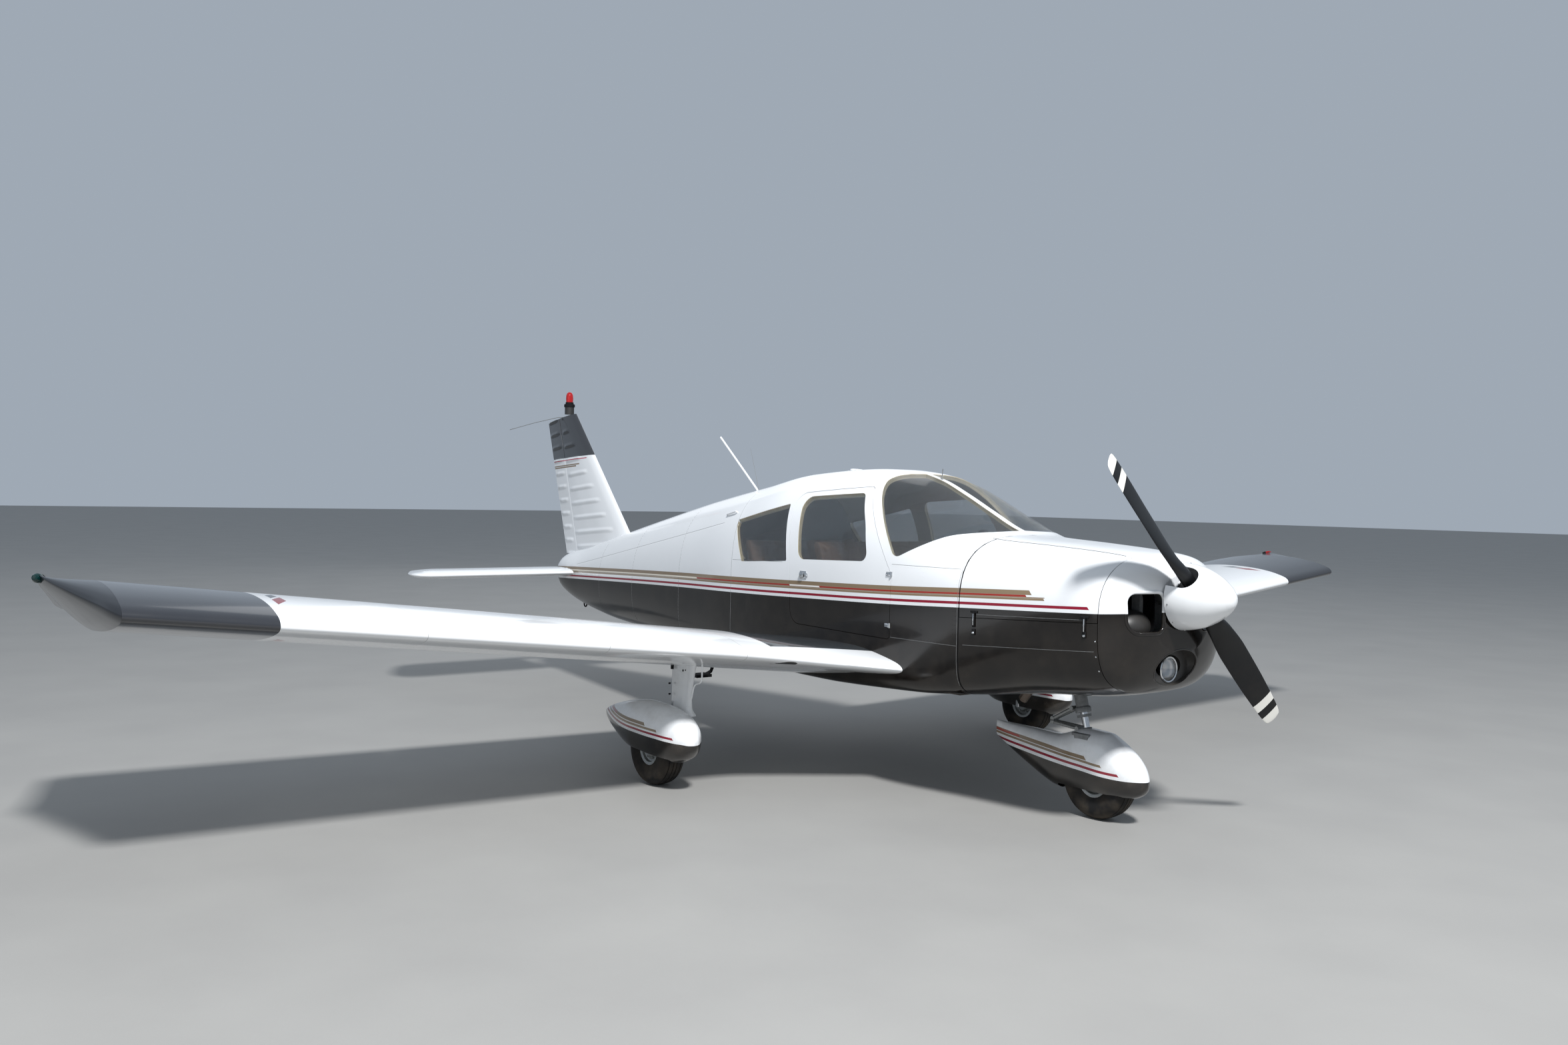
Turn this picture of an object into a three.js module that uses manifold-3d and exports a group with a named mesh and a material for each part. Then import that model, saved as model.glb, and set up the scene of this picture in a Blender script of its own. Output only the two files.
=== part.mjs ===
// Light low-wing aircraft with four seats, fixed tricycle gear, a two-blade propeller and an all-moving tailplane.
// Millimetres. +X is the nose, +Y the port wing, +Z up, with the tyres on z = 0.
import * as THREE from "three";
import { mergeVertices } from "three/addons/utils/BufferGeometryUtils.js";
import Module from "manifold-3d";

const wasm = await Module();
wasm.setup();

// Driving dimensions

// Fuselage stations count aft from just ahead of the spinner, and this one lies on the origin.
const MID_STATION = 3575;
const SEAT_GAP = 0.3;
const MOVING_GAP = 6;
const RING_POINTS = 32;
const INNER_POINTS = 20;

const CABIN_WALL = 25;
const COWL_WALL = 10;
const TAIL_WALL = 12;
const BOWL_SEAM = 440;
const FIREWALL_FRONT = 1280;
const FIREWALL_THICKNESS = 6;
const BULKHEAD_FRONT = 3400;
const BULKHEAD_THICKNESS = 4;
const TAIL_HOLLOW_END = 6150;
const BELLY_SEAM = 850;

const THRUST_HEIGHT = 1186;
const PROPELLER_STATION = 232;
const PROPELLER_RADIUS = 940;
const SPINNER_RADIUS = 165;
const SPINNER_TIP = 21;
const SPINNER_BASE = 300;
const BLADE_ANGLE = 2.3646;

const WING_EDGE = 2066;
const WING_CHORD = 1600;
const WING_EDGE_HEIGHT = 633.5;
const WING_RISE = 0.1094;
const WING_INCIDENCE = 5.4;
const WING_WASHOUT = 2;
const WING_END = 4363;
const TIP_END = 4570;
const CONTROL_HINGE = 0.8125;
const CONTROL_HINGE_RISE = 24;
const CONTROL_NOSE = 37;
const COVE = 45;
const CONTROL_PIN = 7;
const FLAP_SPAN = [640, 2610];
const AILERON_SPAN = [2622, 4300];

const TAILPLANE_EDGE = 6285;
const TAILPLANE_CHORD = 762;
const TAILPLANE_HEIGHT = 948;
const TAILPLANE_ROOT = 168;
const TAILPLANE_TIP = 1524;
const TAILPLANE_HINGE = 6500;
const TORQUE_TUBE = 30;
const TAB_HINGE = 6925;
const TAB_HALF_SPAN = 1150;
const TAB_NOSE = 9;
const TAB_PIN = 4;

const RUDDER_HINGE_LOW = [6515, 1129];
const RUDDER_HINGE_HIGH = [6873, 2288];
const RUDDER_NOSE = 24;
const RUDDER_TUBE = 14;

const TYRE_RADIUS = 205;
const WHEEL_SIDES = 26;
const MAIN_WHEEL = 2675;
const MAIN_TRACK_HALF = 1524;
const MAIN_LEG_TRACK = 1421;
const NOSE_WHEEL = 790;
const STRUT_TOP = [936, 640];
const STRUT_FOOT = [812, 205];
const WELL_RADIUS = 214;
const PANT_POINTS = 16;

// Fuselage sections: half breadth, lowest, widest and highest heights, and how square the upper and lower halves are
const FUSELAGE = [
  { station: 312, half: 215, low: 905, wide: 1080, top: 1290, upper: 2.2, lower: 2.2 },
  { station: 330, half: 290, low: 848, wide: 1072, top: 1322, upper: 2.3, lower: 2.4 },
  { station: 360, half: 370, low: 785, wide: 1065, top: 1350, upper: 2.5, lower: 2.7 },
  { station: 400, half: 435, low: 730, wide: 1060, top: 1374, upper: 2.6, lower: 3.0 },
  { station: 440, half: 475, low: 702, wide: 1060, top: 1388, upper: 2.7, lower: 3.2 },
  { station: 600, half: 505, low: 670, wide: 1060, top: 1405, upper: 2.8, lower: 3.6 },
  { station: 900, half: 535, low: 645, wide: 1050, top: 1425, upper: 2.9, lower: 4.2 },
  { station: 1280, half: 560, low: 600, wide: 1040, top: 1448, upper: 3.0, lower: 7.0 },
  { station: 1380, half: 567, low: 592, wide: 1038, top: 1475, upper: 3.0, lower: 9.0 },
  { station: 1600, half: 575, low: 574, wide: 1030, top: 1574, upper: 3.0, lower: 12.0 },
  { station: 1800, half: 578, low: 563, wide: 1025, top: 1668, upper: 3.1, lower: 12.0 },
  { station: 2000, half: 580, low: 554, wide: 1020, top: 1750, upper: 3.2, lower: 12.0 },
  { station: 2200, half: 581, low: 546, wide: 1015, top: 1796, upper: 3.3, lower: 12.0 },
  { station: 2400, half: 580, low: 541, wide: 1010, top: 1813, upper: 3.4, lower: 12.0 },
  { station: 2900, half: 575, low: 540, wide: 1000, top: 1788, upper: 3.4, lower: 10.0 },
  { station: 3400, half: 540, low: 543, wide: 990, top: 1712, upper: 3.1, lower: 7.0 },
  { station: 4100, half: 450, low: 553, wide: 960, top: 1607, upper: 2.6, lower: 4.4 },
  { station: 4900, half: 340, low: 572, wide: 940, top: 1456, upper: 2.3, lower: 3.2 },
  { station: 5600, half: 240, low: 598, wide: 930, top: 1312, upper: 2.1, lower: 2.7 },
  { station: 6250, half: 150, low: 668, wide: 925, top: 1172, upper: 2.0, lower: 2.4 },
  { station: 6700, half: 92, low: 775, wide: 940, top: 1082, upper: 2.0, lower: 2.2 },
  { station: 6790, half: 66, low: 838, wide: 945, top: 1024, upper: 2.0, lower: 2.0 },
  { station: 6825, half: 30, low: 890, wide: 945, top: 985, upper: 2.0, lower: 2.0 },
];

// Wing section: heights over the chord line at each part of the chord
const AIRFOIL = [
  { along: 0, above: 0, below: 0 },
  { along: 0.0125, above: 0.0195, below: -0.013 },
  { along: 0.05, above: 0.0367, below: -0.0227 },
  { along: 0.1, above: 0.0527, below: -0.0309 },
  { along: 0.2, above: 0.073, below: -0.0408 },
  { along: 0.3, above: 0.0849, below: -0.0459 },
  { along: 0.4, above: 0.09, below: -0.0472 },
  { along: 0.5, above: 0.0876, below: -0.0435 },
  { along: 0.65, above: 0.0702, below: -0.0288 },
  { along: 0.8, above: 0.0422, below: -0.0102 },
  { along: 0.9, above: 0.0209, below: -0.0001 },
  { along: 1, above: 0.0012, below: -0.0012 },
];

// Symmetric tail section, as half thickness over the chord for a section one unit thick
const TAIL_SECTION = [
  { along: 0, half: 0 },
  { along: 0.0125, half: 0.158 },
  { along: 0.05, half: 0.296 },
  { along: 0.12, half: 0.42 },
  { along: 0.3, half: 0.5 },
  { along: 0.5, half: 0.441 },
  { along: 0.7, half: 0.305 },
  { along: 0.85, half: 0.17 },
  { along: 1, half: 0.02 },
];

// Wing stations: the glove draws the leading edge forward at the root
const WING_STATIONS = [
  { across: 480, edge: 1656 },
  { across: 540, edge: 1672 },
  { across: 1290, edge: 2066 },
  { across: 4363, edge: 2066 },
];

// Wing tip stations: the edges draw in and both surfaces close on a raised line
const TIP_STATIONS = [
  { across: 4363.3, front: 2066, rear: 3666, frontRise: 0, rearRise: 0, above: 1, below: 1 },
  { across: 4430, front: 2292, rear: 3666, frontRise: 36, rearRise: 17, above: 0.86, below: 0.76 },
  { across: 4500, front: 2530, rear: 3652, frontRise: 74, rearRise: 34, above: 0.62, below: 0.46 },
  { across: 4550, front: 2698, rear: 3610, frontRise: 102, rearRise: 47, above: 0.32, below: 0.2 },
  { across: 4570, front: 2768, rear: 3560, frontRise: 115, rearRise: 52, above: 0.05, below: 0.04 },
];

// Wheel pant sections along the pant
const NOSE_PANT = [
  { station: 489, half: 8, low: 214, high: 234 },
  { station: 500, half: 30, low: 189, high: 262 },
  { station: 520, half: 54, low: 165, high: 291 },
  { station: 560, half: 84, low: 145, high: 333 },
  { station: 610, half: 101, low: 132, high: 375 },
  { station: 670, half: 112, low: 123, high: 414 },
  { station: 740, half: 116, low: 118, high: 449 },
  { station: 870, half: 115, low: 116, high: 455 },
  { station: 960, half: 107, low: 117, high: 428 },
  { station: 1010, half: 100, low: 119, high: 411 },
  { station: 1080, half: 91, low: 128, high: 397 },
  { station: 1160, half: 78, low: 162, high: 398 },
  { station: 1250, half: 62, low: 196, high: 400 },
  { station: 1400, half: 36, low: 262, high: 401 },
  { station: 1516, half: 9, low: 318, high: 402 },
];
const MAIN_PANT = [
  { station: 2292, half: 8, low: 276, high: 296 },
  { station: 2312, half: 46, low: 238, high: 334 },
  { station: 2370, half: 92, low: 186, high: 392 },
  { station: 2460, half: 114, low: 152, high: 432 },
  { station: 2600, half: 122, low: 140, high: 456 },
  { station: 2770, half: 121, low: 148, high: 460 },
  { station: 2900, half: 108, low: 178, high: 446 },
  { station: 3060, half: 74, low: 232, high: 410 },
  { station: 3200, half: 32, low: 288, high: 366 },
  { station: 3256, half: 8, low: 314, high: 344 },
];

// Outlines seen from the side, as station and height
const WINDSHIELD = [
  [1345, 1464], [1482, 1443], [1640, 1384], [1795, 1309], [1985, 1580], [2121, 1738], [2190, 1786],
  [2250, 1860], [1345, 1860],
];
const DOOR = [
  [1800, 857], [1910, 857], [2575, 868], [2661, 881], [2699, 920], [2709, 995], [2726, 1238], [2766, 1640],
  [2146, 1690], [1940, 1411], [1850, 1263], [1800, 1232],
];
const DOOR_WINDOW = [
  [2056, 1290], [2622, 1264], [2645, 1290], [2672, 1575], [2640, 1612], [2262, 1646], [2215, 1625],
  [2036, 1378], [2030, 1320],
];
const REAR_WINDOW = [[2759, 1239], [3273, 1209], [3410, 1470], [2812, 1590]];
const ROOF_REGION = [
  [1801, 1271], [1856, 1271], [1948, 1411], [2150, 1698], [2774, 1648], [3400, 1512], [3400, 1900],
  [1345, 1900], [1345, 1464.6], [1482, 1443.6], [1640, 1384.6], [1795, 1309.6],
];
const SCUTTLE_REGION = [
  [1286.3, 1271.3], [1800.7, 1271.3], [1795, 1308.8], [1640, 1384], [1482, 1443], [1345, 1464], [1345, 1520],
  [1286.3, 1520],
];
const POST_HALF_WIDTH = 22;
const DOOR_HINGE = [1797, -590];
const DOOR_HINGE_HEIGHTS = [1216, 932];

const white = paint(0xf2f3f4, 0.25, 0);
const umber = paint(0x2b2826, 0.25, 0);
const pewter = paint(0x4c4d50, 0.3, 0.5);
const glass = paint(0x20262b, 0.05, 0);
const steel = paint(0x8c8f92, 0.4, 0.9);
const chrome = paint(0xc9ccd0, 0.12, 1);
const iron = paint(0x55585b, 0.6, 0.6);
const black = paint(0x17181a, 0.5, 0);
const rubber = paint(0x1c1c1d, 0.85, 0);
const leather = paint(0x6f5a45, 0.65, 0);
const red = paint(0xb01620, 0.15, 0);

function paint(color, roughness, metalness) {
  return new THREE.MeshStandardMaterial({ color, roughness, metalness });
}

function forward(station) {
  return MID_STATION - station;
}

// Solids

function solid(points, faces) {
  let volume = 0;
  for (const [a, b, c] of faces) {
    const [p, q, r] = [points[a], points[b], points[c]];
    volume += p[0] * (q[1] * r[2] - q[2] * r[1]);
    volume -= p[1] * (q[0] * r[2] - q[2] * r[0]);
    volume += p[2] * (q[0] * r[1] - q[1] * r[0]);
  }
  const outward = volume > 0 ? faces : faces.map(([a, b, c]) => [a, c, b]);
  return new wasm.Manifold(new wasm.Mesh({
    numProp: 3,
    vertProperties: new Float32Array(points.flat()),
    triVerts: new Uint32Array(outward.flat()),
  }));
}

function loft(rings) {
  const count = rings[0].length;
  const points = rings.flat();
  const faces = [];
  for (let r = 0; r + 1 < rings.length; r += 1) {
    for (let i = 0; i < count; i += 1) {
      const a = r * count + i;
      const b = r * count + ((i + 1) % count);
      faces.push([a, b, b + count], [a, b + count, a + count]);
    }
  }
  for (const [start, turned] of [[0, true], [(rings.length - 1) * count, false]]) {
    const ring = points.slice(start, start + count);
    const middle = [0, 1, 2].map((axis) => ring.reduce((sum, p) => sum + p[axis], 0) / count);
    const hub = points.push(middle) - 1;
    for (let i = 0; i < count; i += 1) {
      const a = start + i;
      const b = start + ((i + 1) % count);
      faces.push(turned ? [a, hub, b] : [b, hub, a]);
    }
  }
  return solid(points, faces);
}

// A flat outline pushed along one axis; the outline gives the other two coordinates in order
function prism(outline, axis, from, to) {
  const place = {
    x: (u, v, d) => [d, u, v],
    y: (u, v, d) => [u, d, v],
    z: (u, v, d) => [u, v, d],
  }[axis];
  const area = (corners) => THREE.ShapeUtils.area(corners.map(([u, v]) => new THREE.Vector2(u, v)));
  const round = area(outline) > 0 ? outline : [...outline].reverse();
  const caps = THREE.ShapeUtils.triangulateShape(round.map(([u, v]) => new THREE.Vector2(u, v)), [])
    .map((cap) => (area(cap.map((i) => round[i])) > 0 ? cap : [...cap].reverse()));
  const count = round.length;
  const points = [from, to].flatMap((d) => round.map(([u, v]) => place(u, v, d)));
  const faces = caps.flatMap(([a, b, c]) => [[c, b, a], [a + count, b + count, c + count]]);
  for (let i = 0; i < count; i += 1) {
    const j = (i + 1) % count;
    faces.push([i, j, j + count], [i, j + count, i + count]);
  }
  return solid(points, faces);
}

function sideOutline(outline, from, to) {
  return prism(outline.map(([station, height]) => [forward(station), height]), "y", from, to);
}

function block(stations, across, heights) {
  const outline = [
    [forward(stations[0]), across[0]], [forward(stations[1]), across[0]],
    [forward(stations[1]), across[1]], [forward(stations[0]), across[1]],
  ];
  return prism(outline, "z", heights[0], heights[1]);
}

function fromGeometry(geometry) {
  const bare = geometry.clone();
  for (const name of ["uv", "normal"]) bare.deleteAttribute(name);
  const joined = mergeVertices(bare, 1e-3);
  const at = joined.attributes.position;
  const points = [];
  for (let i = 0; i < at.count; i += 1) points.push([at.getX(i), at.getY(i), at.getZ(i)]);
  const faces = [];
  for (let i = 0; i < joined.index.count; i += 3) {
    const [a, b, c] = [0, 1, 2].map((k) => joined.index.getX(i + k));
    if (a !== b && b !== c && c !== a) faces.push([a, b, c]);
  }
  return solid(points, faces);
}

// A profile of radius and distance turned about a line through `origin` along `direction`
function turned(profile, origin, direction, segments) {
  const geometry = new THREE.LatheGeometry(profile.map(([r, h]) => new THREE.Vector2(r, h)), segments);
  const up = new THREE.Vector3(0, 1, 0);
  const turn = new THREE.Quaternion().setFromUnitVectors(up, new THREE.Vector3(...direction).normalize());
  geometry.applyQuaternion(turn);
  geometry.translate(...origin);
  return fromGeometry(geometry);
}

function rod(from, to, radius, segments = 16) {
  const along = new THREE.Vector3(...to).sub(new THREE.Vector3(...from));
  const length = along.length();
  return turned([[0, 0], [radius, 0], [radius, length], [0, length]], from, along.toArray(), segments);
}

function tube(path, radius, steps) {
  const circle = new THREE.Shape().absarc(0, 0, radius, 0, Math.PI * 2);
  const curve = new THREE.CatmullRomCurve3(path.map((p) => new THREE.Vector3(...p)));
  return fromGeometry(new THREE.ExtrudeGeometry(circle, { extrudePath: curve, steps, curveSegments: 5 }));
}

function largest(body) {
  return body.decompose().sort((a, b) => b.volume() - a.volume())[0];
}

function mirrored(body) {
  return body.mirror([0, 1, 0]);
}

// A hinge on a line: the pin and its end lugs belong to the fixed piece, the barrel to the moving one
function hinge(middle, direction, toFixed, toMoving, size) {
  const way = new THREE.Vector3(...direction).normalize().toArray();
  const along = (distance, offset = [0, 0, 0]) => middle.map((v, k) => v + way[k] * distance + offset[k]);
  const half = size * 4;
  const lug = size * 1.3;
  const pin = rod(along(-half - lug * 2), along(half + lug * 2), size, 8);
  const lugs = [-half - lug - 1.2, half + lug + 1.2]
    .map((d) => rod(along(d), along(d, toFixed), lug, 6));
  const barrel = rod(along(-half), along(half), size * 1.8, 10).add(rod(along(0), along(0, toMoving), lug, 6));
  return {
    fixed: pin.add(lugs[0]).add(lugs[1]),
    moving: barrel.subtract(rod(along(-half - 1), along(half + 1), size * 1.1 + SEAT_GAP, 8)),
  };
}

const group = new THREE.Group();
group.name = "light_aircraft";

function place(name, body, material) {
  const mesh = body.getMesh();
  const geometry = new THREE.BufferGeometry();
  const points = new Float32Array(mesh.numVert * 3);
  for (let i = 0; i < mesh.numVert; i += 1) {
    for (let k = 0; k < 3; k += 1) points[i * 3 + k] = mesh.vertProperties[i * mesh.numProp + k];
  }
  geometry.setAttribute("position", new THREE.BufferAttribute(points, 3));
  geometry.setIndex(new THREE.BufferAttribute(new Uint32Array(mesh.triVerts), 1));
  const node = new THREE.Mesh(geometry, material);
  node.name = name;
  group.add(node);
}

// Fuselage

function superRing(row, inset, points) {
  const half = Math.max(row.half - inset, 4);
  const rise = Math.max(row.top - inset - row.wide, 4);
  const drop = Math.max(row.wide - row.low - inset, 4);
  return Array.from({ length: points }, (_, i) => {
    const angle = (2 * Math.PI * i) / points;
    const [c, s] = [Math.cos(angle), Math.sin(angle)];
    const power = s >= 0 ? row.upper : row.lower;
    const height = s >= 0 ? rise : drop;
    const y = half * Math.sign(c) * Math.abs(c) ** (2 / power);
    const z = row.wide + height * Math.sign(s) * Math.abs(s) ** (2 / power);
    return [forward(row.station), y, z];
  });
}

function hull(from, to, inset, points = RING_POINTS) {
  const skin = loft(FUSELAGE.map((row) => superRing(row, inset, points)));
  return skin.intersect(block([from, to], [-700, 700], [300, 2000]));
}

const cabinFront = FIREWALL_FRONT + FIREWALL_THICKNESS + SEAT_GAP;
const cabinRear = BULKHEAD_FRONT - SEAT_GAP;
const wholeHull = hull(312, 6825, -SEAT_GAP);
const cabinShell = hull(cabinFront, cabinRear, 0).subtract(hull(cabinFront - 5, cabinRear + 5, CABIN_WALL, INNER_POINTS));
const cabinRoom = hull(cabinFront, cabinRear, CABIN_WALL + SEAT_GAP, INNER_POINTS);

const WIDE = 900;
const bothSides = [-WIDE, WIDE];
const postSlab = block([1300, 2300], [-POST_HALF_WIDTH, POST_HALF_WIDTH], [1300, 1900]);
const windshieldHole = sideOutline(WINDSHIELD, ...bothSides).subtract(postSlab);

// Draws an outline in (or out, for a negative step) by moving each side along its normal
function drawnIn(outline, step) {
  const area = THREE.ShapeUtils.area(outline.map(([u, v]) => new THREE.Vector2(u, v)));
  const way = Math.sign(area) * step;
  const sides = outline.map(([u, v], i) => {
    const [nextU, nextV] = outline[(i + 1) % outline.length];
    const length = Math.hypot(nextU - u, nextV - v);
    const normal = [-(nextV - v) / length, (nextU - u) / length];
    return { point: [u + normal[0] * way, v + normal[1] * way], along: [nextU - u, nextV - v] };
  });
  return sides.map((side, i) => {
    const before = sides[(i + sides.length - 1) % sides.length];
    const cross = before.along[0] * side.along[1] - before.along[1] * side.along[0];
    const gap = [side.point[0] - before.point[0], side.point[1] - before.point[1]];
    const part = (gap[0] * side.along[1] - gap[1] * side.along[0]) / cross;
    return [before.point[0] + before.along[0] * part, before.point[1] + before.along[1] * part];
  });
}

const doorHole = sideOutline(drawnIn(DOOR, -MOVING_GAP), -WIDE, 0);
const rearHoleRight = sideOutline(REAR_WINDOW, -WIDE, 0);
const rearHoleLeft = sideOutline(REAR_WINDOW, 0, WIDE);
const frontHoleLeft = sideOutline(DOOR_WINDOW, 0, WIDE);
const pierced = cabinShell.subtract(windshieldHole).subtract(doorHole)
  .subtract(rearHoleRight).subtract(rearHoleLeft).subtract(frontHoleLeft);

const belowSeam = block([1200, 3500], bothSides, [400, BELLY_SEAM]);
const aboveSeam = block([1200, 3500], bothSides, [BELLY_SEAM + SEAT_GAP, 2000]);
const roofRegion = sideOutline(ROOF_REGION, ...bothSides);
const roofGrown = sideOutline(drawnIn(ROOF_REGION, -SEAT_GAP), ...bothSides);
const scuttleRegion = sideOutline(SCUTTLE_REGION, ...bothSides);
const scuttleGrown = sideOutline(drawnIn(SCUTTLE_REGION, -SEAT_GAP), ...bothSides);
const sides = pierced.intersect(aboveSeam).subtract(roofGrown).subtract(scuttleGrown);

place("belly_floor", largest(pierced.intersect(belowSeam)), umber);
place("scuttle", largest(pierced.intersect(scuttleRegion)), white);
place("cabin_roof", largest(pierced.intersect(roofRegion)), white);
place("cabin_side_left", largest(sides.intersect(block([1200, 3500], [0, WIDE], [400, 2000]))), white);
const rightSide = sides.intersect(block([1200, 3500], [-WIDE, 0], [400, 2000]));
// The door hangs from two outside hinges on one upright line just off the skin
const doorHinges = DOOR_HINGE_HEIGHTS.map((height) => hinge(
  [forward(DOOR_HINGE[0]), DOOR_HINGE[1], height], [0, 0, 1], [22, 14, 0], [-22, 14, 0], 5,
));
const frontSide = largest(rightSide.intersect(block([1200, 2200], [-WIDE, 0], [400, 2000])));
place("cabin_side_right_front", frontSide.add(doorHinges[0].fixed).add(doorHinges[1].fixed), white);
place("cabin_side_right_rear", largest(rightSide.intersect(block([2600, 3500], [-WIDE, 0], [400, 2000]))), white);

// Glass sits a little inside the skin
const GLASS_INSET = 3;
const GLASS_THICKNESS = 8;
const glassShell = hull(cabinFront, cabinRear, GLASS_INSET)
  .subtract(hull(cabinFront - 5, cabinRear + 5, GLASS_INSET + GLASS_THICKNESS));
const screenPost = block([1300, 2300], [-POST_HALF_WIDTH - 0.4, POST_HALF_WIDTH + 0.4], [1300, 1900]);
const screens = glassShell.intersect(sideOutline(drawnIn(WINDSHIELD, 0.6), ...bothSides)).subtract(screenPost);
const portHalf = block([1200, 3500], [0, WIDE], [400, 2000]);
const starboardHalf = block([1200, 3500], [-WIDE, 0], [400, 2000]);
place("windshield_left", largest(screens.intersect(portHalf)), glass);
place("windshield_right", largest(screens.intersect(starboardHalf)), glass);
const pane = (outline) => glassShell.intersect(sideOutline(drawnIn(outline, 0.4), ...bothSides));
place("window_left_front", largest(pane(DOOR_WINDOW).intersect(portHalf)), glass);
place("window_left_rear", largest(pane(REAR_WINDOW).intersect(portHalf)), glass);
place("window_right_rear", largest(pane(REAR_WINDOW).intersect(starboardHalf)), glass);

const doorPanel = cabinShell.intersect(sideOutline(DOOR, -WIDE, 0)).subtract(sideOutline(DOOR_WINDOW, -WIDE, 0));
place("cabin_door", largest(doorPanel).add(doorHinges[0].moving).add(doorHinges[1].moving), white);
place("door_window", largest(pane(DOOR_WINDOW).intersect(starboardHalf)), glass);

// Bulkheads fill the whole section, so the skins butt against them
const firewallPlate = hull(FIREWALL_FRONT, FIREWALL_FRONT + FIREWALL_THICKNESS, 1);
place("firewall", firewallPlate, steel);
place("rear_bulkhead", hull(BULKHEAD_FRONT, BULKHEAD_FRONT + BULKHEAD_THICKNESS, 1), black);

const PANEL_FACE = 1560;
const panelPlate = block([PANEL_FACE - 60, PANEL_FACE], [-600, 600], [960, 1405]).intersect(cabinRoom);
const glareshield = block([1330, PANEL_FACE + 45], [-600, 600], [1385, 1402]).intersect(cabinRoom);
const yokes = [-270, 270].flatMap((across) => [
  rod([forward(PANEL_FACE - 5), across, 1180], [forward(PANEL_FACE + 140), across, 1180], 11, 10),
  block([PANEL_FACE + 132, PANEL_FACE + 152], [across - 130, across + 130], [1166, 1194]),
  block([PANEL_FACE + 132, PANEL_FACE + 152], [across - 130, across - 104], [1170, 1270]),
  block([PANEL_FACE + 132, PANEL_FACE + 152], [across + 104, across + 130], [1170, 1270]),
]);
place("instrument_panel", [panelPlate, glareshield, ...yokes].reduce((a, b) => a.add(b)), black);

function seat(front, across, half, cushionTop, backTop) {
  const base = block([front + 40, front + 430], [across - half + 30, across + half - 30], [640, cushionTop - 90]);
  const cushion = block([front, front + 480], [across - half, across + half], [cushionTop - 110, cushionTop]);
  const back = sideOutline([
    [front + 400, cushionTop - 60], [front + 500, cushionTop - 60], [front + 590, backTop], [front + 510, backTop],
  ], across - half, across + half);
  return base.add(cushion).add(back);
}
// The floor falls gently aft, so each seat stands on feet cut by the floor itself
function standing(body, front, rear, across) {
  const feet = across.map((y) => block([front, rear], [y - 18, y + 18], [500, 660]));
  return feet.reduce((sum, foot) => sum.add(foot), body).intersect(cabinRoom);
}
place("seat_front_left", standing(seat(2060, 265, 220, 930, 1400), 2110, 2480, [110, 420]), leather);
place("seat_front_right", standing(seat(2060, -265, 220, 930, 1400), 2110, 2480, [-110, -420]), leather);
place("seat_rear", standing(seat(2790, 0, 480, 920, 1380), 2840, 3200, [-300, 300]), leather);

// Both tail surfaces turn on tubes that run into the solid end of the cone
function rudderTube(radius, foot) {
  return rod([forward(rudderHinge(foot)), 0, foot], [forward(rudderHinge(1200)), 0, 1200], radius, 20);
}
const tailStart = BULKHEAD_FRONT + BULKHEAD_THICKNESS + SEAT_GAP;
const tubeHole = rod(
  [forward(TAILPLANE_HINGE), -400, TAILPLANE_HEIGHT], [forward(TAILPLANE_HINGE), 400, TAILPLANE_HEIGHT],
  TORQUE_TUBE + SEAT_GAP, 24,
);
const tailCone = hull(tailStart, 6825, 0).subtract(hull(tailStart - 5, TAIL_HOLLOW_END, TAIL_WALL, INNER_POINTS));
place("tail_cone", largest(tailCone.subtract(tubeHole).subtract(rudderTube(RUDDER_TUBE + SEAT_GAP, 1020))), white);

// Cowling and engine

const cowlHull = hull(312, FIREWALL_FRONT - SEAT_GAP, 0);
const cowlHollow = hull(326, FIREWALL_FRONT + 5, COWL_WALL, INNER_POINTS);
const cowlShell = cowlHull.subtract(cowlHollow);
const INLET = [
  [140, 1050], [152, 1024], [178, 1012], [328, 1012], [354, 1024], [366, 1050],
  [366, 1174], [354, 1200], [328, 1212], [178, 1212], [152, 1200], [140, 1174],
];
const inlets = prism(INLET, "x", forward(BOWL_SEAM), forward(290))
  .add(prism(INLET.map(([y, z]) => [-y, z]).reverse(), "x", forward(BOWL_SEAM), forward(290)));
const shaftHole = rod([forward(450), 0, THRUST_HEIGHT], [forward(290), 0, THRUST_HEIGHT], 62, 16);
const LAMP_RECESS = { halfWidth: 160, halfHeight: 92, middle: 835, sides: 16 };
const lampHole = prism(
  Array.from({ length: LAMP_RECESS.sides }, (_, i) => {
    const angle = (2 * Math.PI * i) / LAMP_RECESS.sides;
    return [
      LAMP_RECESS.halfWidth * Math.cos(angle), LAMP_RECESS.middle + LAMP_RECESS.halfHeight * Math.sin(angle),
    ];
  }), "x", forward(BOWL_SEAM), forward(290),
);
const bowlRegion = block([300, BOWL_SEAM], bothSides, [500, 1600]);
const bowl = cowlShell.intersect(bowlRegion).subtract(inlets).subtract(shaftHole).subtract(lampHole);
place("nose_bowl", largest(bowl), white);

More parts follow.
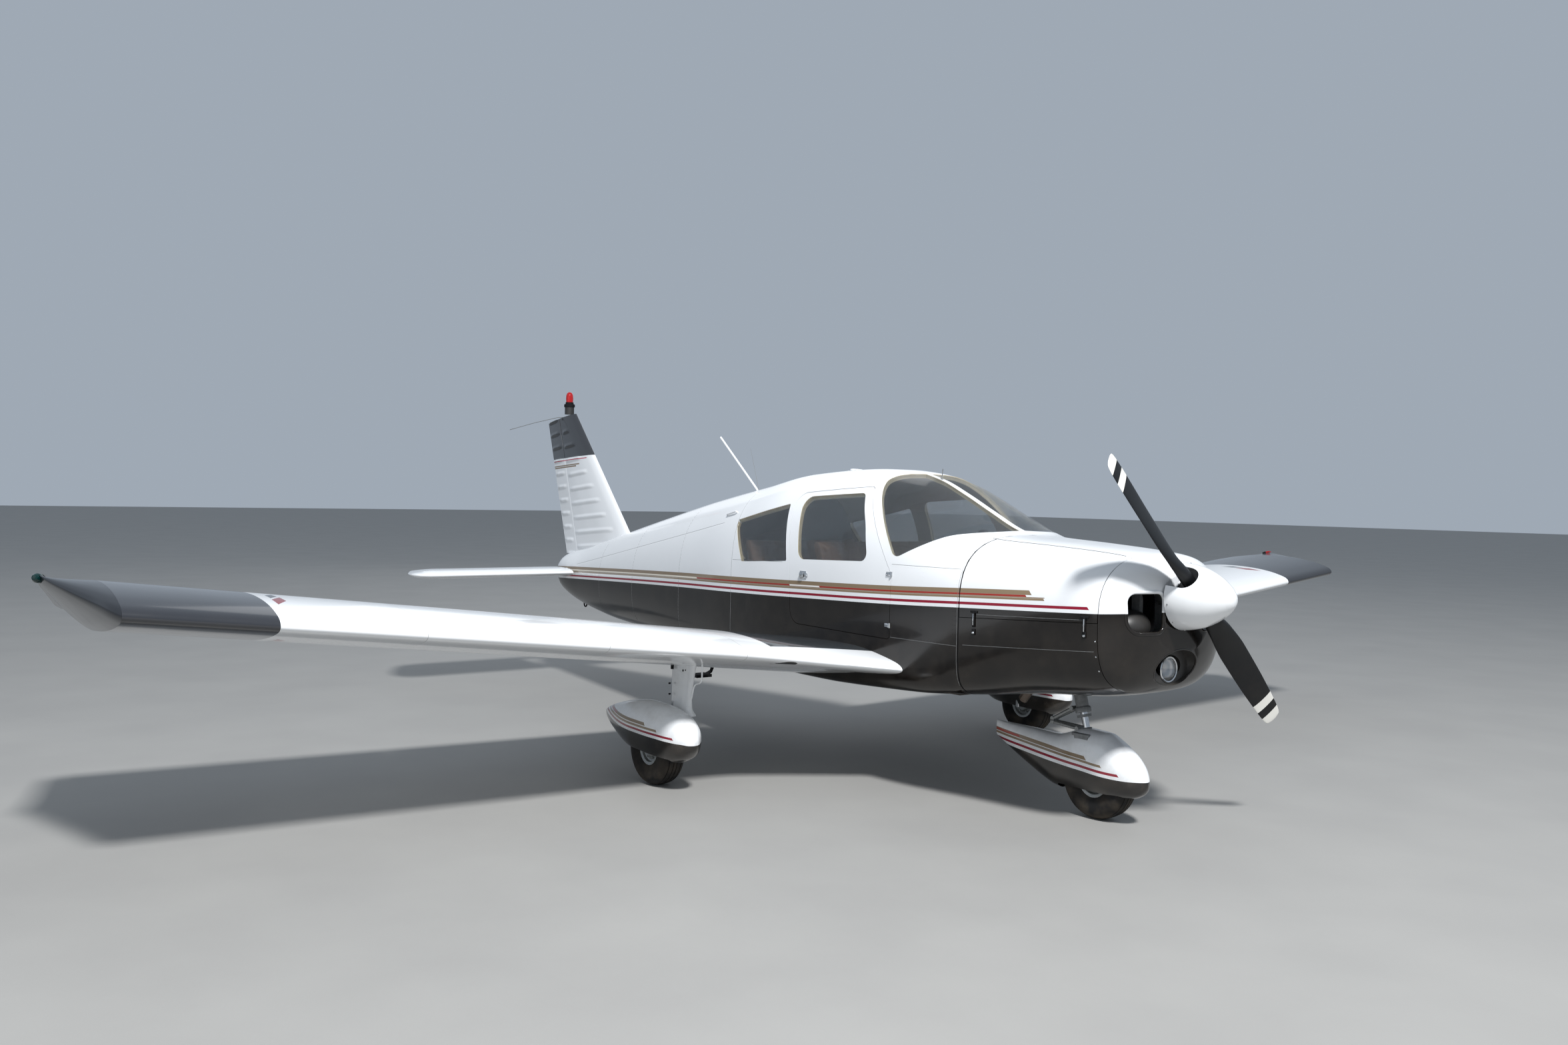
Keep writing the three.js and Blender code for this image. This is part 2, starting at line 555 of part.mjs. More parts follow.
// The side doors of the cowling hang from lines along its shoulders
const COWL_HINGE = [[475, 233, 1378], [1305, 290, 1433]];
const COWL_HINGE_LIFT = 10;
const hingeAcross = (station) => {
  const [front, rear] = COWL_HINGE;
  return front[1] + ((rear[1] - front[1]) * (station - front[0])) / (rear[0] - front[0]);
};
const cowlFront = BOWL_SEAM + SEAT_GAP;
const cowlBack = FIREWALL_FRONT - SEAT_GAP;
function strip(outerEdge) {
  return prism([
    [forward(cowlFront - 20), -outerEdge(cowlFront - 20)], [forward(cowlBack + 20), -outerEdge(cowlBack + 20)],
    [forward(cowlBack + 20), outerEdge(cowlBack + 20)], [forward(cowlFront - 20), outerEdge(cowlFront - 20)],
  ], "z", 1250, 1600);
}
const COWL_SILL = [1062, 1020];
const sillOutline = (lift) => sideOutline([
  [400, 500], [1300, 500], [1300, COWL_SILL[1] + lift], [400, COWL_SILL[0] + lift],
], ...bothSides);
const cowlBody = cowlShell.intersect(block([cowlFront, cowlBack], bothSides, [500, 1600]));
const exitHole = block([1120, 1300], [-190, 190], [560, 680]);
const strutHole = rod([forward(940), 0, 560], [forward(900), 0, 760], 62, 20);
place("cowl_lower", largest(cowlBody.intersect(sillOutline(0)).subtract(exitHole).subtract(strutHole)), umber);
const doorZone = block([cowlFront + MOVING_GAP, cowlBack - MOVING_GAP], [0, WIDE], [500, 1600])
  .subtract(sillOutline(MOVING_GAP)).subtract(strip((s) => hingeAcross(s) + MOVING_GAP / 2));
const cowlHinges = [620, 1120].map((station) => {
  const [front, rear] = COWL_HINGE;
  const part = (station - front[0]) / (rear[0] - front[0]);
  const [, across, height] = front.map((v, k) => v + (rear[k] - v) * part);
  const line = [front[0] - rear[0], rear[1] - front[1], rear[2] - front[2]];
  return hinge([forward(station), across, height + COWL_HINGE_LIFT], line, [0, -16, -12], [0, 15, -18], 4);
});
const cowlDoor = largest(cowlBody.intersect(doorZone));
const cowlTop = largest(cowlBody.intersect(strip((s) => hingeAcross(s) - MOVING_GAP / 2)));
const fixedHinges = cowlHinges[0].fixed.add(cowlHinges[1].fixed);
const movingHinges = cowlHinges[0].moving.add(cowlHinges[1].moving);
place("cowl_top", cowlTop.add(fixedHinges).add(mirrored(fixedHinges)), white);
place("cowl_door_left", cowlDoor.add(movingHinges), white);
place("cowl_door_right", mirrored(cowlDoor.add(movingHinges)), white);

const engineBlock = block([440, 1150], [-165, 165], [1000, 1300])
  .add(block([500, 930], [-385, 385], [1095, 1265]))
  .add(block([540, 1020], [-175, 175], [850, 1010]))
  .add(rod([forward(445), 0, THRUST_HEIGHT], [forward(306), 0, THRUST_HEIGHT], 52, 20))
  .add(block([1140, FIREWALL_FRONT - SEAT_GAP], [-150, -110], [1240, 1280]))
  .add(block([1140, FIREWALL_FRONT - SEAT_GAP], [110, 150], [1240, 1280]))
  .add(block([1010, FIREWALL_FRONT - SEAT_GAP], [-150, -110], [900, 940]))
  .add(block([1010, FIREWALL_FRONT - SEAT_GAP], [110, 150], [900, 940]));
place("engine", engineBlock, iron);

place("exhaust_pipe", tube([
  [forward(960), -90, 849.7], [forward(960), -90, 800], [forward(1080), -90, 715], [forward(1190), -90, 630],
  [forward(1250), -90, 560],
], 26, 12), steel);

// Propeller and spinner

const bladeDirection = [Math.cos(BLADE_ANGLE), Math.sin(BLADE_ANGLE)];
// Blade stations along the radius: breadth of the blade, its thickness and its angle to the disc
const BLADE = [
  { radius: 60, breadth: 74, thickness: 60, pitch: 46 },
  { radius: 150, breadth: 88, thickness: 42, pitch: 38 },
  { radius: 260, breadth: 118, thickness: 26, pitch: 30 },
  { radius: 420, breadth: 146, thickness: 18, pitch: 23 },
  { radius: 620, breadth: 142, thickness: 12, pitch: 17 },
  { radius: 800, breadth: 122, thickness: 9, pitch: 14 },
  { radius: 900, breadth: 96, thickness: 7, pitch: 12 },
  { radius: 932, breadth: 62, thickness: 6, pitch: 12 },
  { radius: 940, breadth: 26, thickness: 5, pitch: 12 },
];
const BLADE_POINTS = 12;
function blade(sense) {
  const rings = BLADE.map((row) => Array.from({ length: BLADE_POINTS }, (_, i) => {
    const angle = (2 * Math.PI * i) / BLADE_POINTS;
    const chord = (row.breadth / 2) * Math.cos(angle);
    const depth = (row.thickness / 2) * Math.sin(angle);
    const pitch = THREE.MathUtils.degToRad(row.pitch);
    const tangent = chord * Math.cos(pitch) - depth * Math.sin(pitch);
    const axial = chord * Math.sin(pitch) + depth * Math.cos(pitch);
    const [c, s] = bladeDirection.map((v) => v * sense);
    return [
      forward(PROPELLER_STATION) + axial, row.radius * c - tangent * s, THRUST_HEIGHT + row.radius * s + tangent * c,
    ];
  }));
  return loft(rings);
}
const hub = rod([forward(305.7), 0, THRUST_HEIGHT], [forward(165), 0, THRUST_HEIGHT], 84, 24);
place("propeller", blade(1).add(blade(-1)).add(hub), black);

const SPINNER = [
  [0, SPINNER_TIP], [30, 27], [78, 68], [118, 130], [146, 200], [165, SPINNER_BASE],
];
const spinnerAxis = [forward(0), 0, THRUST_HEIGHT];
const outside = [...SPINNER, [0, SPINNER_BASE]];
const inside = SPINNER.slice(2).map(([radius, station]) => [radius - 5, station + 6]);
const spinnerShell = turned(outside, spinnerAxis, [-1, 0, 0], 24)
  .subtract(turned([[0, 52], ...inside, [0, SPINNER_BASE + 6]], spinnerAxis, [-1, 0, 0], 24));
const backPlate = rod([forward(299), 0, THRUST_HEIGHT], [forward(293), 0, THRUST_HEIGHT], 160, 24)
  .subtract(rod([forward(310), 0, THRUST_HEIGHT], [forward(280), 0, THRUST_HEIGHT], 84.3, 24));
const BLADE_SLOT = 58;
const slots = [1, -1].map((sense) => {
  const [c, s] = bladeDirection.map((v) => v * sense);
  const middle = forward(PROPELLER_STATION);
  return rod([middle, 60 * c, THRUST_HEIGHT + 60 * s], [middle, 220 * c, THRUST_HEIGHT + 220 * s], BLADE_SLOT, 14);
});
place("spinner", largest(spinnerShell.add(backPlate).subtract(slots[0]).subtract(slots[1])), white);

// Wings

function wingHeight(across) {
  return WING_EDGE_HEIGHT + WING_RISE * across;
}

function wingTwist(across) {
  return THREE.MathUtils.degToRad(WING_INCIDENCE - (WING_WASHOUT * across) / WING_END);
}

// The section keeps its own thickness where the glove stretches its forward part
function wingRing(row) {
  const rear = WING_EDGE + WING_CHORD;
  const slope = Math.tan(wingTwist(row.across));
  const stretched = (along) => {
    const station = WING_EDGE + along * WING_CHORD;
    const pull = Math.max(0, 1 - along / 0.4) ** 1.5;
    return station + (row.edge - WING_EDGE) * pull;
  };
  const height = (station, offset) => (
    wingHeight(row.across) - slope * Math.max(0, station - WING_EDGE) + offset * WING_CHORD
  );
  const above = AIRFOIL.map((p) => [stretched(p.along), p.above]);
  const below = AIRFOIL.slice(1).reverse().map((p) => [stretched(p.along), p.below]);
  return [...above, ...below].map(([station, offset]) => (
    [forward(Math.min(station, rear)), row.across, height(station, offset)]
  ));
}

function hingePoint(across) {
  const station = WING_EDGE + CONTROL_HINGE * WING_CHORD;
  const drop = Math.tan(wingTwist(across)) * (station - WING_EDGE);
  return [forward(station), across, wingHeight(across) - drop + CONTROL_HINGE_RISE];
}

const wingBody = loft(WING_STATIONS.map(wingRing));
const hingeStation = WING_EDGE + CONTROL_HINGE * WING_CHORD;
function control([inner, outer]) {
  const nose = rod(hingePoint(inner), hingePoint(outer), CONTROL_NOSE, 20);
  const aft = block([hingeStation, hingeStation + 500], [inner, outer], [400, 1700]);
  const slab = block([hingeStation - 100, hingeStation + 500], [inner, outer], [400, 1700]);
  return largest(wingBody.intersect(aft.add(nose)).intersect(slab));
}
function cove(inner, outer) {
  const from = inner - MOVING_GAP;
  const to = outer + MOVING_GAP;
  const aft = block([hingeStation, hingeStation + 500], [from, to], [400, 1700]);
  return aft.add(rod(hingePoint(from), hingePoint(to), COVE, 20));
}
// Pins at the root end of the flap and the tip end of the aileron turn in the fixed wing
function controlPin(from, to, radius) {
  return rod(hingePoint(from), hingePoint(to), radius, 16);
}
const pinHoles = controlPin(FLAP_SPAN[0] - 34, FLAP_SPAN[0], CONTROL_PIN + SEAT_GAP)
  .add(controlPin(AILERON_SPAN[1], AILERON_SPAN[1] + 34, CONTROL_PIN + SEAT_GAP));
const wing = wingBody.subtract(cove(FLAP_SPAN[0], AILERON_SPAN[1])).subtract(pinHoles);
place("wing_left", largest(wing.subtract(wholeHull)), white);
place("wing_right", largest(mirrored(wing).subtract(wholeHull)), white);
const flap = control(FLAP_SPAN).add(controlPin(FLAP_SPAN[0] - 32, FLAP_SPAN[0] + 10, CONTROL_PIN));
const aileron = control(AILERON_SPAN)
  .add(controlPin(AILERON_SPAN[1] - 10, AILERON_SPAN[1] + 32, CONTROL_PIN));
place("flap_left", flap, white);
place("flap_right", mirrored(flap), white);
place("aileron_left", aileron, white);
place("aileron_right", mirrored(aileron), white);

function tipRing(row) {
  const edgeHeight = wingHeight(WING_END) + row.frontRise;
  const tailHeight = wingHeight(WING_END) - Math.tan(wingTwist(WING_END)) * WING_CHORD + row.rearRise;
  const at = (p, offset) => {
    const station = row.front + p.along * (row.rear - row.front);
    const base = edgeHeight + (tailHeight - edgeHeight) * p.along;
    return [forward(station), row.across, base + offset * WING_CHORD];
  };
  const above = AIRFOIL.map((p) => at(p, p.above * row.above + (p.along > 0 ? 0.0006 : 0)));
  const below = AIRFOIL.slice(1).reverse().map((p) => at(p, p.below * row.below - 0.0006));
  return [...above, ...below];
}
const tip = loft(TIP_STATIONS.map(tipRing));
place("wingtip_left", tip, pewter);
place("wingtip_right", mirrored(tip), pewter);

// Fin and rudder

const FIN = [
  { height: 1060, front: 5375, rear: 6717, thickness: 104 },
  { height: 2360, front: 6612, rear: 7157, thickness: 58 },
];
function finRing(row) {
  const half = (p) => (row.thickness * p.half) + 0.5 * (p.along > 0);
  const at = (p, side) => [forward(row.front + p.along * (row.rear - row.front)), side * half(p), row.height];
  const port = TAIL_SECTION.map((p) => at(p, 1));
  const starboard = TAIL_SECTION.slice(1).reverse().map((p) => at(p, -1));
  return [...port, ...starboard];
}
const finTop = sideOutline([[6400, 2344], [7300, 2222], [7300, 2500], [6400, 2500]], -200, 200);
const finWhole = loft(FIN.map(finRing)).subtract(finTop);
function rudderHinge(height) {
  const [low, high] = [RUDDER_HINGE_LOW, RUDDER_HINGE_HIGH];
  return low[0] + ((high[0] - low[0]) * (height - low[1])) / (high[1] - low[1]);
}
const hingeRod = (radius) => rod(
  [forward(rudderHinge(950)), 0, 950], [forward(rudderHinge(2450)), 0, 2450], radius, 20,
);
const behindHinge = sideOutline([
  [rudderHinge(950), 950], [7600, 950], [7600, 2450], [rudderHinge(2450), 2450],
], -200, 200);
const rudderFoot = sideOutline([[6300, 1178], [6900, 1062], [6900, 900], [6300, 900]], -200, 200);
const fin = largest(finWhole.subtract(behindHinge).subtract(hingeRod(RUDDER_NOSE + MOVING_GAP)).subtract(wholeHull));
place("fin", fin, white);
const rudder = largest(finWhole.intersect(behindHinge.add(hingeRod(RUDDER_NOSE))).subtract(rudderFoot))
  .add(rudderTube(RUDDER_TUBE, 1030));
place("rudder", rudder, white);

const BEACON_STATION = 6712;
const BEACON = [[0, 0], [43, 0], [43, 52], [36, 62], [30, 74], [27, 78], [27, 120], [22, 146], [12, 160], [0, 164]];
const beaconFoot = 2298;
const beacon = turned(BEACON.map(([r, h]) => [r, h * 1.18]), [forward(BEACON_STATION), 0, beaconFoot], [0, 0, 1], 14);
const finGrown = loft(FIN.map((row) => finRing({ ...row, thickness: row.thickness + 0.6 }))).subtract(
  sideOutline([[6400, 2344.3], [7300, 2222.3], [7300, 2500], [6400, 2500]], -200, 200),
);
place("beacon", largest(beacon.subtract(finGrown)), red);

// Stabilator and its tab

function tailRing(across, front, chord, thickness) {
  const half = (p) => thickness * p.half + 0.4 * (p.along > 0);
  const at = (p, side) => [forward(front + p.along * chord), across, TAILPLANE_HEIGHT + side * half(p)];
  const above = TAIL_SECTION.map((p) => at(p, 1));
  const below = TAIL_SECTION.slice(1).reverse().map((p) => at(p, -1));
  return [...above, ...below];
}
const halfPlane = loft([
  tailRing(TAILPLANE_ROOT, TAILPLANE_EDGE, TAILPLANE_CHORD, 72),
  tailRing(1440, TAILPLANE_EDGE, TAILPLANE_CHORD, 72),
  tailRing(1500, TAILPLANE_EDGE + 60, TAILPLANE_CHORD - 70, 50),
  tailRing(TAILPLANE_TIP, TAILPLANE_EDGE + 160, TAILPLANE_CHORD - 260, 14),
]);
const planeSpan = loft([
  tailRing(-TAB_HALF_SPAN, TAILPLANE_EDGE, TAILPLANE_CHORD, 72),
  tailRing(TAB_HALF_SPAN, TAILPLANE_EDGE, TAILPLANE_CHORD, 72),
]);
const tabAft = (grown) => block([TAB_HINGE, TAB_HINGE + 300], [-TAB_HALF_SPAN - grown, TAB_HALF_SPAN + grown], [800, 1100]);
const tabRod = (radius, grown) => rod(
  [forward(TAB_HINGE), -TAB_HALF_SPAN - grown, TAILPLANE_HEIGHT],
  [forward(TAB_HINGE), TAB_HALF_SPAN + grown, TAILPLANE_HEIGHT], radius, 16,
);
const torqueTube = rod(
  [forward(TAILPLANE_HINGE), -TAILPLANE_ROOT - 40, TAILPLANE_HEIGHT],
  [forward(TAILPLANE_HINGE), TAILPLANE_ROOT + 40, TAILPLANE_HEIGHT], TORQUE_TUBE, 24,
);
const stabilator = halfPlane.add(mirrored(halfPlane)).add(torqueTube)
  .subtract(tabAft(MOVING_GAP)).subtract(tabRod(TAB_NOSE + MOVING_GAP, MOVING_GAP))
  .subtract(tabRod(TAB_PIN + SEAT_GAP, 26));
place("stabilator", largest(stabilator), white);
const tabPins = tabRod(TAB_PIN, 24);
place("anti_servo_tab", planeSpan.intersect(tabAft(0).add(tabRod(TAB_NOSE, 0))).add(tabPins), white);

// Wheels, legs and pants

function pantRing(row, across) {
  const middle = (row.low + row.high) / 2;
  const rise = (row.high - row.low) / 2;
  return Array.from({ length: PANT_POINTS }, (_, i) => {
    const angle = (2 * Math.PI * i) / PANT_POINTS;
    const [c, s] = [Math.cos(angle), Math.sin(angle)];
    const y = row.half * Math.sign(c) * Math.abs(c) ** 0.8;
    const z = rise * Math.sign(s) * Math.abs(s) ** 0.8;
    return [forward(row.station), across + y, middle + z];
  });
}
function well(wheel, across, half) {
  return rod(
    [forward(wheel), across - half, TYRE_RADIUS], [forward(wheel), across + half, TYRE_RADIUS], WELL_RADIUS, 24,
  );
}
const TYRE = [
  [88, -50], [124, -70], [162, -75], [193, -58], [TYRE_RADIUS, -22], [TYRE_RADIUS, 22],
  [193, 58], [162, 75], [124, 70], [88, 50], [88, -50],
];
function tyre(wheel, across) {
  return turned(TYRE, [forward(wheel), across, TYRE_RADIUS], [0, 1, 0], WHEEL_SIDES);
}
function rim(wheel, across, axle) {
  const disc = turned(
    [[0, -46], [64, -46], [74, -58], [87.6, -58], [87.6, 58], [74, 58], [64, 46], [0, 46]],
    [forward(wheel), across, TYRE_RADIUS], [0, 1, 0], WHEEL_SIDES,
  );
  const bore = rod([forward(wheel), across - 90, TYRE_RADIUS], [forward(wheel), across + 90, TYRE_RADIUS], axle, 20);
  return disc.subtract(bore);
}

const AXLE = 15;
const BORE = 15.3;
const legRing = (height, front, rear, half) => [
  [front, 0], [front + 30, half * 0.8], [(front + rear) / 2, half], [rear - 12, half * 0.3],
  [rear - 12, -half * 0.3], [(front + rear) / 2, -half], [front + 30, -half * 0.8],
].map(([station, y]) => [forward(station), MAIN_LEG_TRACK + y, height]);
const legFairing = (grow) => loft([
  legRing(420, 2500 - grow, 2692 + grow, 19 + grow), legRing(820, 2424 - grow, 2700 + grow, 27 + grow),
]);
const legStrut = (grow) => rod(
  [forward(MAIN_WHEEL), MAIN_LEG_TRACK, 190 - grow], [forward(MAIN_WHEEL), MAIN_LEG_TRACK, 470], 14 + grow, 20,
).add(rod(
  [forward(MAIN_WHEEL), MAIN_LEG_TRACK, TYRE_RADIUS], [forward(MAIN_WHEEL), MAIN_TRACK_HALF + 60, TYRE_RADIUS],
  AXLE + grow, 20,
));
const wingGrown = loft(WING_STATIONS.map((row) => wingRing(row).map(([x, y, z], i) => (
  [x, y, z + (i < AIRFOIL.length ? SEAT_GAP : -SEAT_GAP)]
))));
const leg = largest(legFairing(0).subtract(wingGrown)
  .subtract(block([2300, 2900], [1200, 1600], [700, 900]))).add(legStrut(0));
const mainWell = well(MAIN_WHEEL, MAIN_TRACK_HALF, 83);
// Each pant is open below, where the tyre hangs out
const mainMouth = sideOutline([[2420, 186], [2990, 207], [2990, 100], [2420, 100]], 1300, 1750);
const mainPant = loft(MAIN_PANT.map((row) => pantRing(row, MAIN_TRACK_HALF)))
  .subtract(mainWell).subtract(legFairing(SEAT_GAP)).subtract(legStrut(SEAT_GAP)).subtract(mainMouth);
for (const [side, turn] of [["left", (b) => b], ["right", mirrored]]) {
  place(`main_leg_${side}`, turn(leg), white);
  place(`wheel_pant_${side}`, turn(largest(mainPant)), white);
  place(`main_tyre_${side}`, turn(tyre(MAIN_WHEEL, MAIN_TRACK_HALF)), rubber);
  place(`main_rim_${side}`, turn(rim(MAIN_WHEEL, MAIN_TRACK_HALF, BORE)), chrome);
}

function onStrut(height) {
  const part = (height - STRUT_FOOT[1]) / (STRUT_TOP[1] - STRUT_FOOT[1]);
  return [forward(STRUT_FOOT[0] + (STRUT_TOP[0] - STRUT_FOOT[0]) * part), 0, height];
}
const housing = rod(onStrut(530), onStrut(835), 34, 16)
  .add(rod(onStrut(530), onStrut(556), 42, 16))
  .add(block([980, FIREWALL_FRONT - SEAT_GAP], [-22, 22], [750, 800]))
  .subtract(rod(onStrut(500), onStrut(820), 18.6, 16));
place("nose_strut_housing", largest(housing), iron);

const FORK_HALF = [79, 91];
const forkArm = (grow) => {
  const arm = sideOutline([
    [762 - grow, 176 - grow], [832 + grow, 176 - grow], [900 + grow, 436 + grow], [800 - grow, 436 + grow],
  ], FORK_HALF[0] - grow, FORK_HALF[1] + grow);
  return arm.add(mirrored(arm));
};
const crown = (grow) => block([800 - grow, 910 + grow], [-91 - grow, 91 + grow], [421 - grow, 436 + grow]);
const piston = rod(onStrut(428), onStrut(790), 18, 16);
const noseAxle = rod([forward(NOSE_WHEEL), -90, TYRE_RADIUS], [forward(NOSE_WHEEL), 90, TYRE_RADIUS], AXLE, 20);
place("nose_fork", largest(piston.add(crown(0)).add(forkArm(0)).add(noseAxle)), chrome);
const nosePant = loft(NOSE_PANT.map((row) => pantRing(row, 0)))
  .subtract(well(NOSE_WHEEL, 0, 95)).subtract(forkArm(SEAT_GAP)).subtract(crown(SEAT_GAP))
  .subtract(rod(onStrut(400), onStrut(500), 21, 16)).subtract(block([548, 1015], [-150, 150], [50, 150]));
place("nose_pant", largest(nosePant), white);
place("nose_tyre", tyre(NOSE_WHEEL, 0), rubber);
place("nose_rim", rim(NOSE_WHEEL, 0, BORE), chrome);

// Fittings outside the skin

const skinGrown = (body) => largest(body.subtract(wholeHull));
place("antenna_whip", skinGrown(rod([forward(3830), 0, 1640], [forward(4345), 0, 2056], 8, 10)
  .add(rod([forward(3800), 0, 1600], [forward(3850), 0, 1662], 20, 12))), white);
place("boarding_step", skinGrown(tube([
  [forward(3800), -380, 600], [forward(3800), -400, 500], [forward(3800), -412, 430], [forward(3800), -470, 405],
], 12, 8).add(block([3750, 3850], [-560, -440], [395, 415]))), white);
const RING_HEIGHT = 672;
const ring = fromGeometry(new THREE.TorusGeometry(24, 6, 8, 16).rotateX(Math.PI / 2)
  .translate(forward(6375), 0, RING_HEIGHT));
place("tail_ring", skinGrown(ring.add(block([6355, 6395], [-6, 6], [RING_HEIGHT + 20, RING_HEIGHT + 50]))), black);

export default group;
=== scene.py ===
import bpy
import numpy as np
from mathutils import Matrix, geometry


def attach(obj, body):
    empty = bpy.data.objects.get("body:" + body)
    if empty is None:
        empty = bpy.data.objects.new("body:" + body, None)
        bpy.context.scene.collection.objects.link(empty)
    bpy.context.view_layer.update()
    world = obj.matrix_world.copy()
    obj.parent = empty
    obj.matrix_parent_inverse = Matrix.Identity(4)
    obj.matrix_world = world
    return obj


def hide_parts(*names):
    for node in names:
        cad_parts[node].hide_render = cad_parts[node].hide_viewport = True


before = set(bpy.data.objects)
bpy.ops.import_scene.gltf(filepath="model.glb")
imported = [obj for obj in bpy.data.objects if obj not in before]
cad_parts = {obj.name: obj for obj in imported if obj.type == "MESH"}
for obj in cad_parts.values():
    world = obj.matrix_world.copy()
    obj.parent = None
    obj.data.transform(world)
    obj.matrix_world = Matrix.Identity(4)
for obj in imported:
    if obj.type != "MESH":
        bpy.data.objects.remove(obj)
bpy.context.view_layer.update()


# Camera and light. The photograph was taken standing, a few metres off the right wing tip, with a wide lens
# held almost level. A broad soft lamp stands where the sun was, ahead and to the right, over a pale floor.
CAMERA_PLACE = np.array([7.1115, -5.3387, 1.6403])
CAMERA_YAW = 2.4961
CAMERA_PITCH = -0.0211
CAMERA_ROLL = 0.0194
CAMERA_LENS = 29.666
SUN_FROM = np.array([0.826, -0.353, 1.0])


def unit(v):
    """A vector, or each row of an array of them, over its own length."""
    v = np.asarray(v, float)
    return v / np.linalg.norm(v, axis=-1, keepdims=True)


def facing(place, ahead, roll=0.0):
    """Matrix of a camera or lamp that looks along `ahead`, with its top turned by `roll` from upright."""
    ahead = unit(ahead)
    right = unit(np.cross(ahead, [0, 0, 1]))
    above = np.cross(right, ahead)
    turned_right = np.cos(roll) * right + np.sin(roll) * above
    turned_above = -np.sin(roll) * right + np.cos(roll) * above
    matrix = np.eye(4)
    matrix[:3, :4] = np.column_stack([turned_right, turned_above, -ahead, place])
    return Matrix(matrix.tolist())


camera = bpy.data.objects.new("camera", bpy.data.cameras.new("camera"))
camera.data.sensor_width = 36.0
camera.data.lens = CAMERA_LENS
camera.data.clip_end = 300.0
flat = np.cos(CAMERA_PITCH)
gaze = [flat * np.cos(CAMERA_YAW), flat * np.sin(CAMERA_YAW), np.sin(CAMERA_PITCH)]
camera.matrix_world = facing(CAMERA_PLACE, gaze, CAMERA_ROLL)
bpy.context.collection.objects.link(camera)
bpy.context.scene.camera = camera

# Lamps: the way the light comes from, its distance, the side of its square and its power
LAMPS = {
    "key": (SUN_FROM, 20.0, 2.0, 4900.0),
    "fill": ([0.3, -1.0, 0.35], 18.0, 12.0, 250.0),
    "back": ([-1.0, 0.6, 0.7], 18.0, 12.0, 220.0),
}
for name, (way, distance, side, power) in LAMPS.items():
    lamp = bpy.data.objects.new(name, bpy.data.lights.new(name, "AREA"))
    lamp.data.size = side
    lamp.data.energy = power
    lamp.matrix_world = facing(unit(way) * distance, -unit(way))
    bpy.context.collection.objects.link(lamp)

SKY_COLOUR, SKY_STRENGTH = (0.56, 0.64, 0.74, 1), 0.62
sky = bpy.data.worlds.new("sky")
sky.use_nodes = True
sky_shader = sky.node_tree.nodes["Background"]
sky_shader.inputs["Color"].default_value = SKY_COLOUR
sky_shader.inputs["Strength"].default_value = SKY_STRENGTH
bpy.context.scene.world = sky
bpy.context.scene.view_settings.view_transform = "Standard"


# Floor. One wide sheet of pale sealed concrete, a little mottled.
def node(tree, kind, inputs=None, **settings):
    """Adds a shader node; inputs are values or sockets to join to it."""
    made = tree.nodes.new(kind)
    for key, value in settings.items():
        setattr(made, key, value)
    for key, value in (inputs or {}).items():
        if isinstance(value, bpy.types.NodeSocket):
            tree.links.new(value, made.inputs[key])
        else:
            made.inputs[key].default_value = value
    return made


def maths(tree, operation, *values, clamp=False):
    """One step of arithmetic in a node tree, as its output socket."""
    made = node(tree, "ShaderNodeMath", dict(enumerate(values)), operation=operation, use_clamp=clamp)
    return made.outputs[0]


def mixed(tree, part, first, second):
    """A colour that goes from first to second as part goes from 0 to 1."""
    made = node(tree, "ShaderNodeMix", {0: part, 6: first, 7: second}, data_type="RGBA")
    return made.outputs[2]


def tone(code):
    """A colour given as six hex digits of screen colour, as linear light."""
    part = np.array([int(code[i:i + 2], 16) for i in (0, 2, 4)]) / 255.0
    return (*np.where(part < 0.04045, part / 12.92, ((part + 0.055) / 1.055) ** 2.4).tolist(), 1.0)


def finish(name, **values):
    """A new material with one Principled shader, whose sockets take the given plain values."""
    material = bpy.data.materials.new(name)
    material.use_nodes = True
    shader = material.node_tree.nodes["Principled BSDF"]
    for key, value in values.items():
        shader.inputs[key.replace("_", " ")].default_value = value
    return material, material.node_tree, shader


def own_place(tree):
    """The point on the piece, in the metres that all pieces share."""
    return node(tree, "ShaderNodeTexCoord").outputs["Object"]


def noise(tree, place, scale, detail=2.0, **more):
    """A cloudy value from 0 to 1 over the place, as a socket."""
    made = node(tree, "ShaderNodeTexNoise", {"Vector": place, "Scale": scale, "Detail": detail, **more})
    return made.outputs["Fac"]


def toned(tree, shader, part, dark, light):
    """Joins to a shader the colour that lies between two tones."""
    tree.links.new(mixed(tree, part, tone(dark), tone(light)), shader.inputs["Base Color"])


def bumped(tree, shader, height, strength, distance):
    """Joins to a shader the bump of a height."""
    made = node(tree, "ShaderNodeBump", {"Height": height, "Strength": strength, "Distance": distance})
    tree.links.new(made.outputs["Normal"], shader.inputs["Normal"])


def speckled(name, dark, light, scale, detail=2.0, bump=None, rough=None, **values):
    """A finish whose colour wanders between two tones with a noise. The same noise may raise a bump, given as
    strength and distance, and set the roughness, given as span and least value."""
    material, tree, shader = finish(name, **values)
    cloud = noise(tree, own_place(tree), scale, detail)
    toned(tree, shader, cloud, dark, light)
    if bump:
        bumped(tree, shader, cloud, *bump)
    if rough:
        tree.links.new(maths(tree, "MULTIPLY_ADD", cloud, *rough), shader.inputs["Roughness"])
    return material


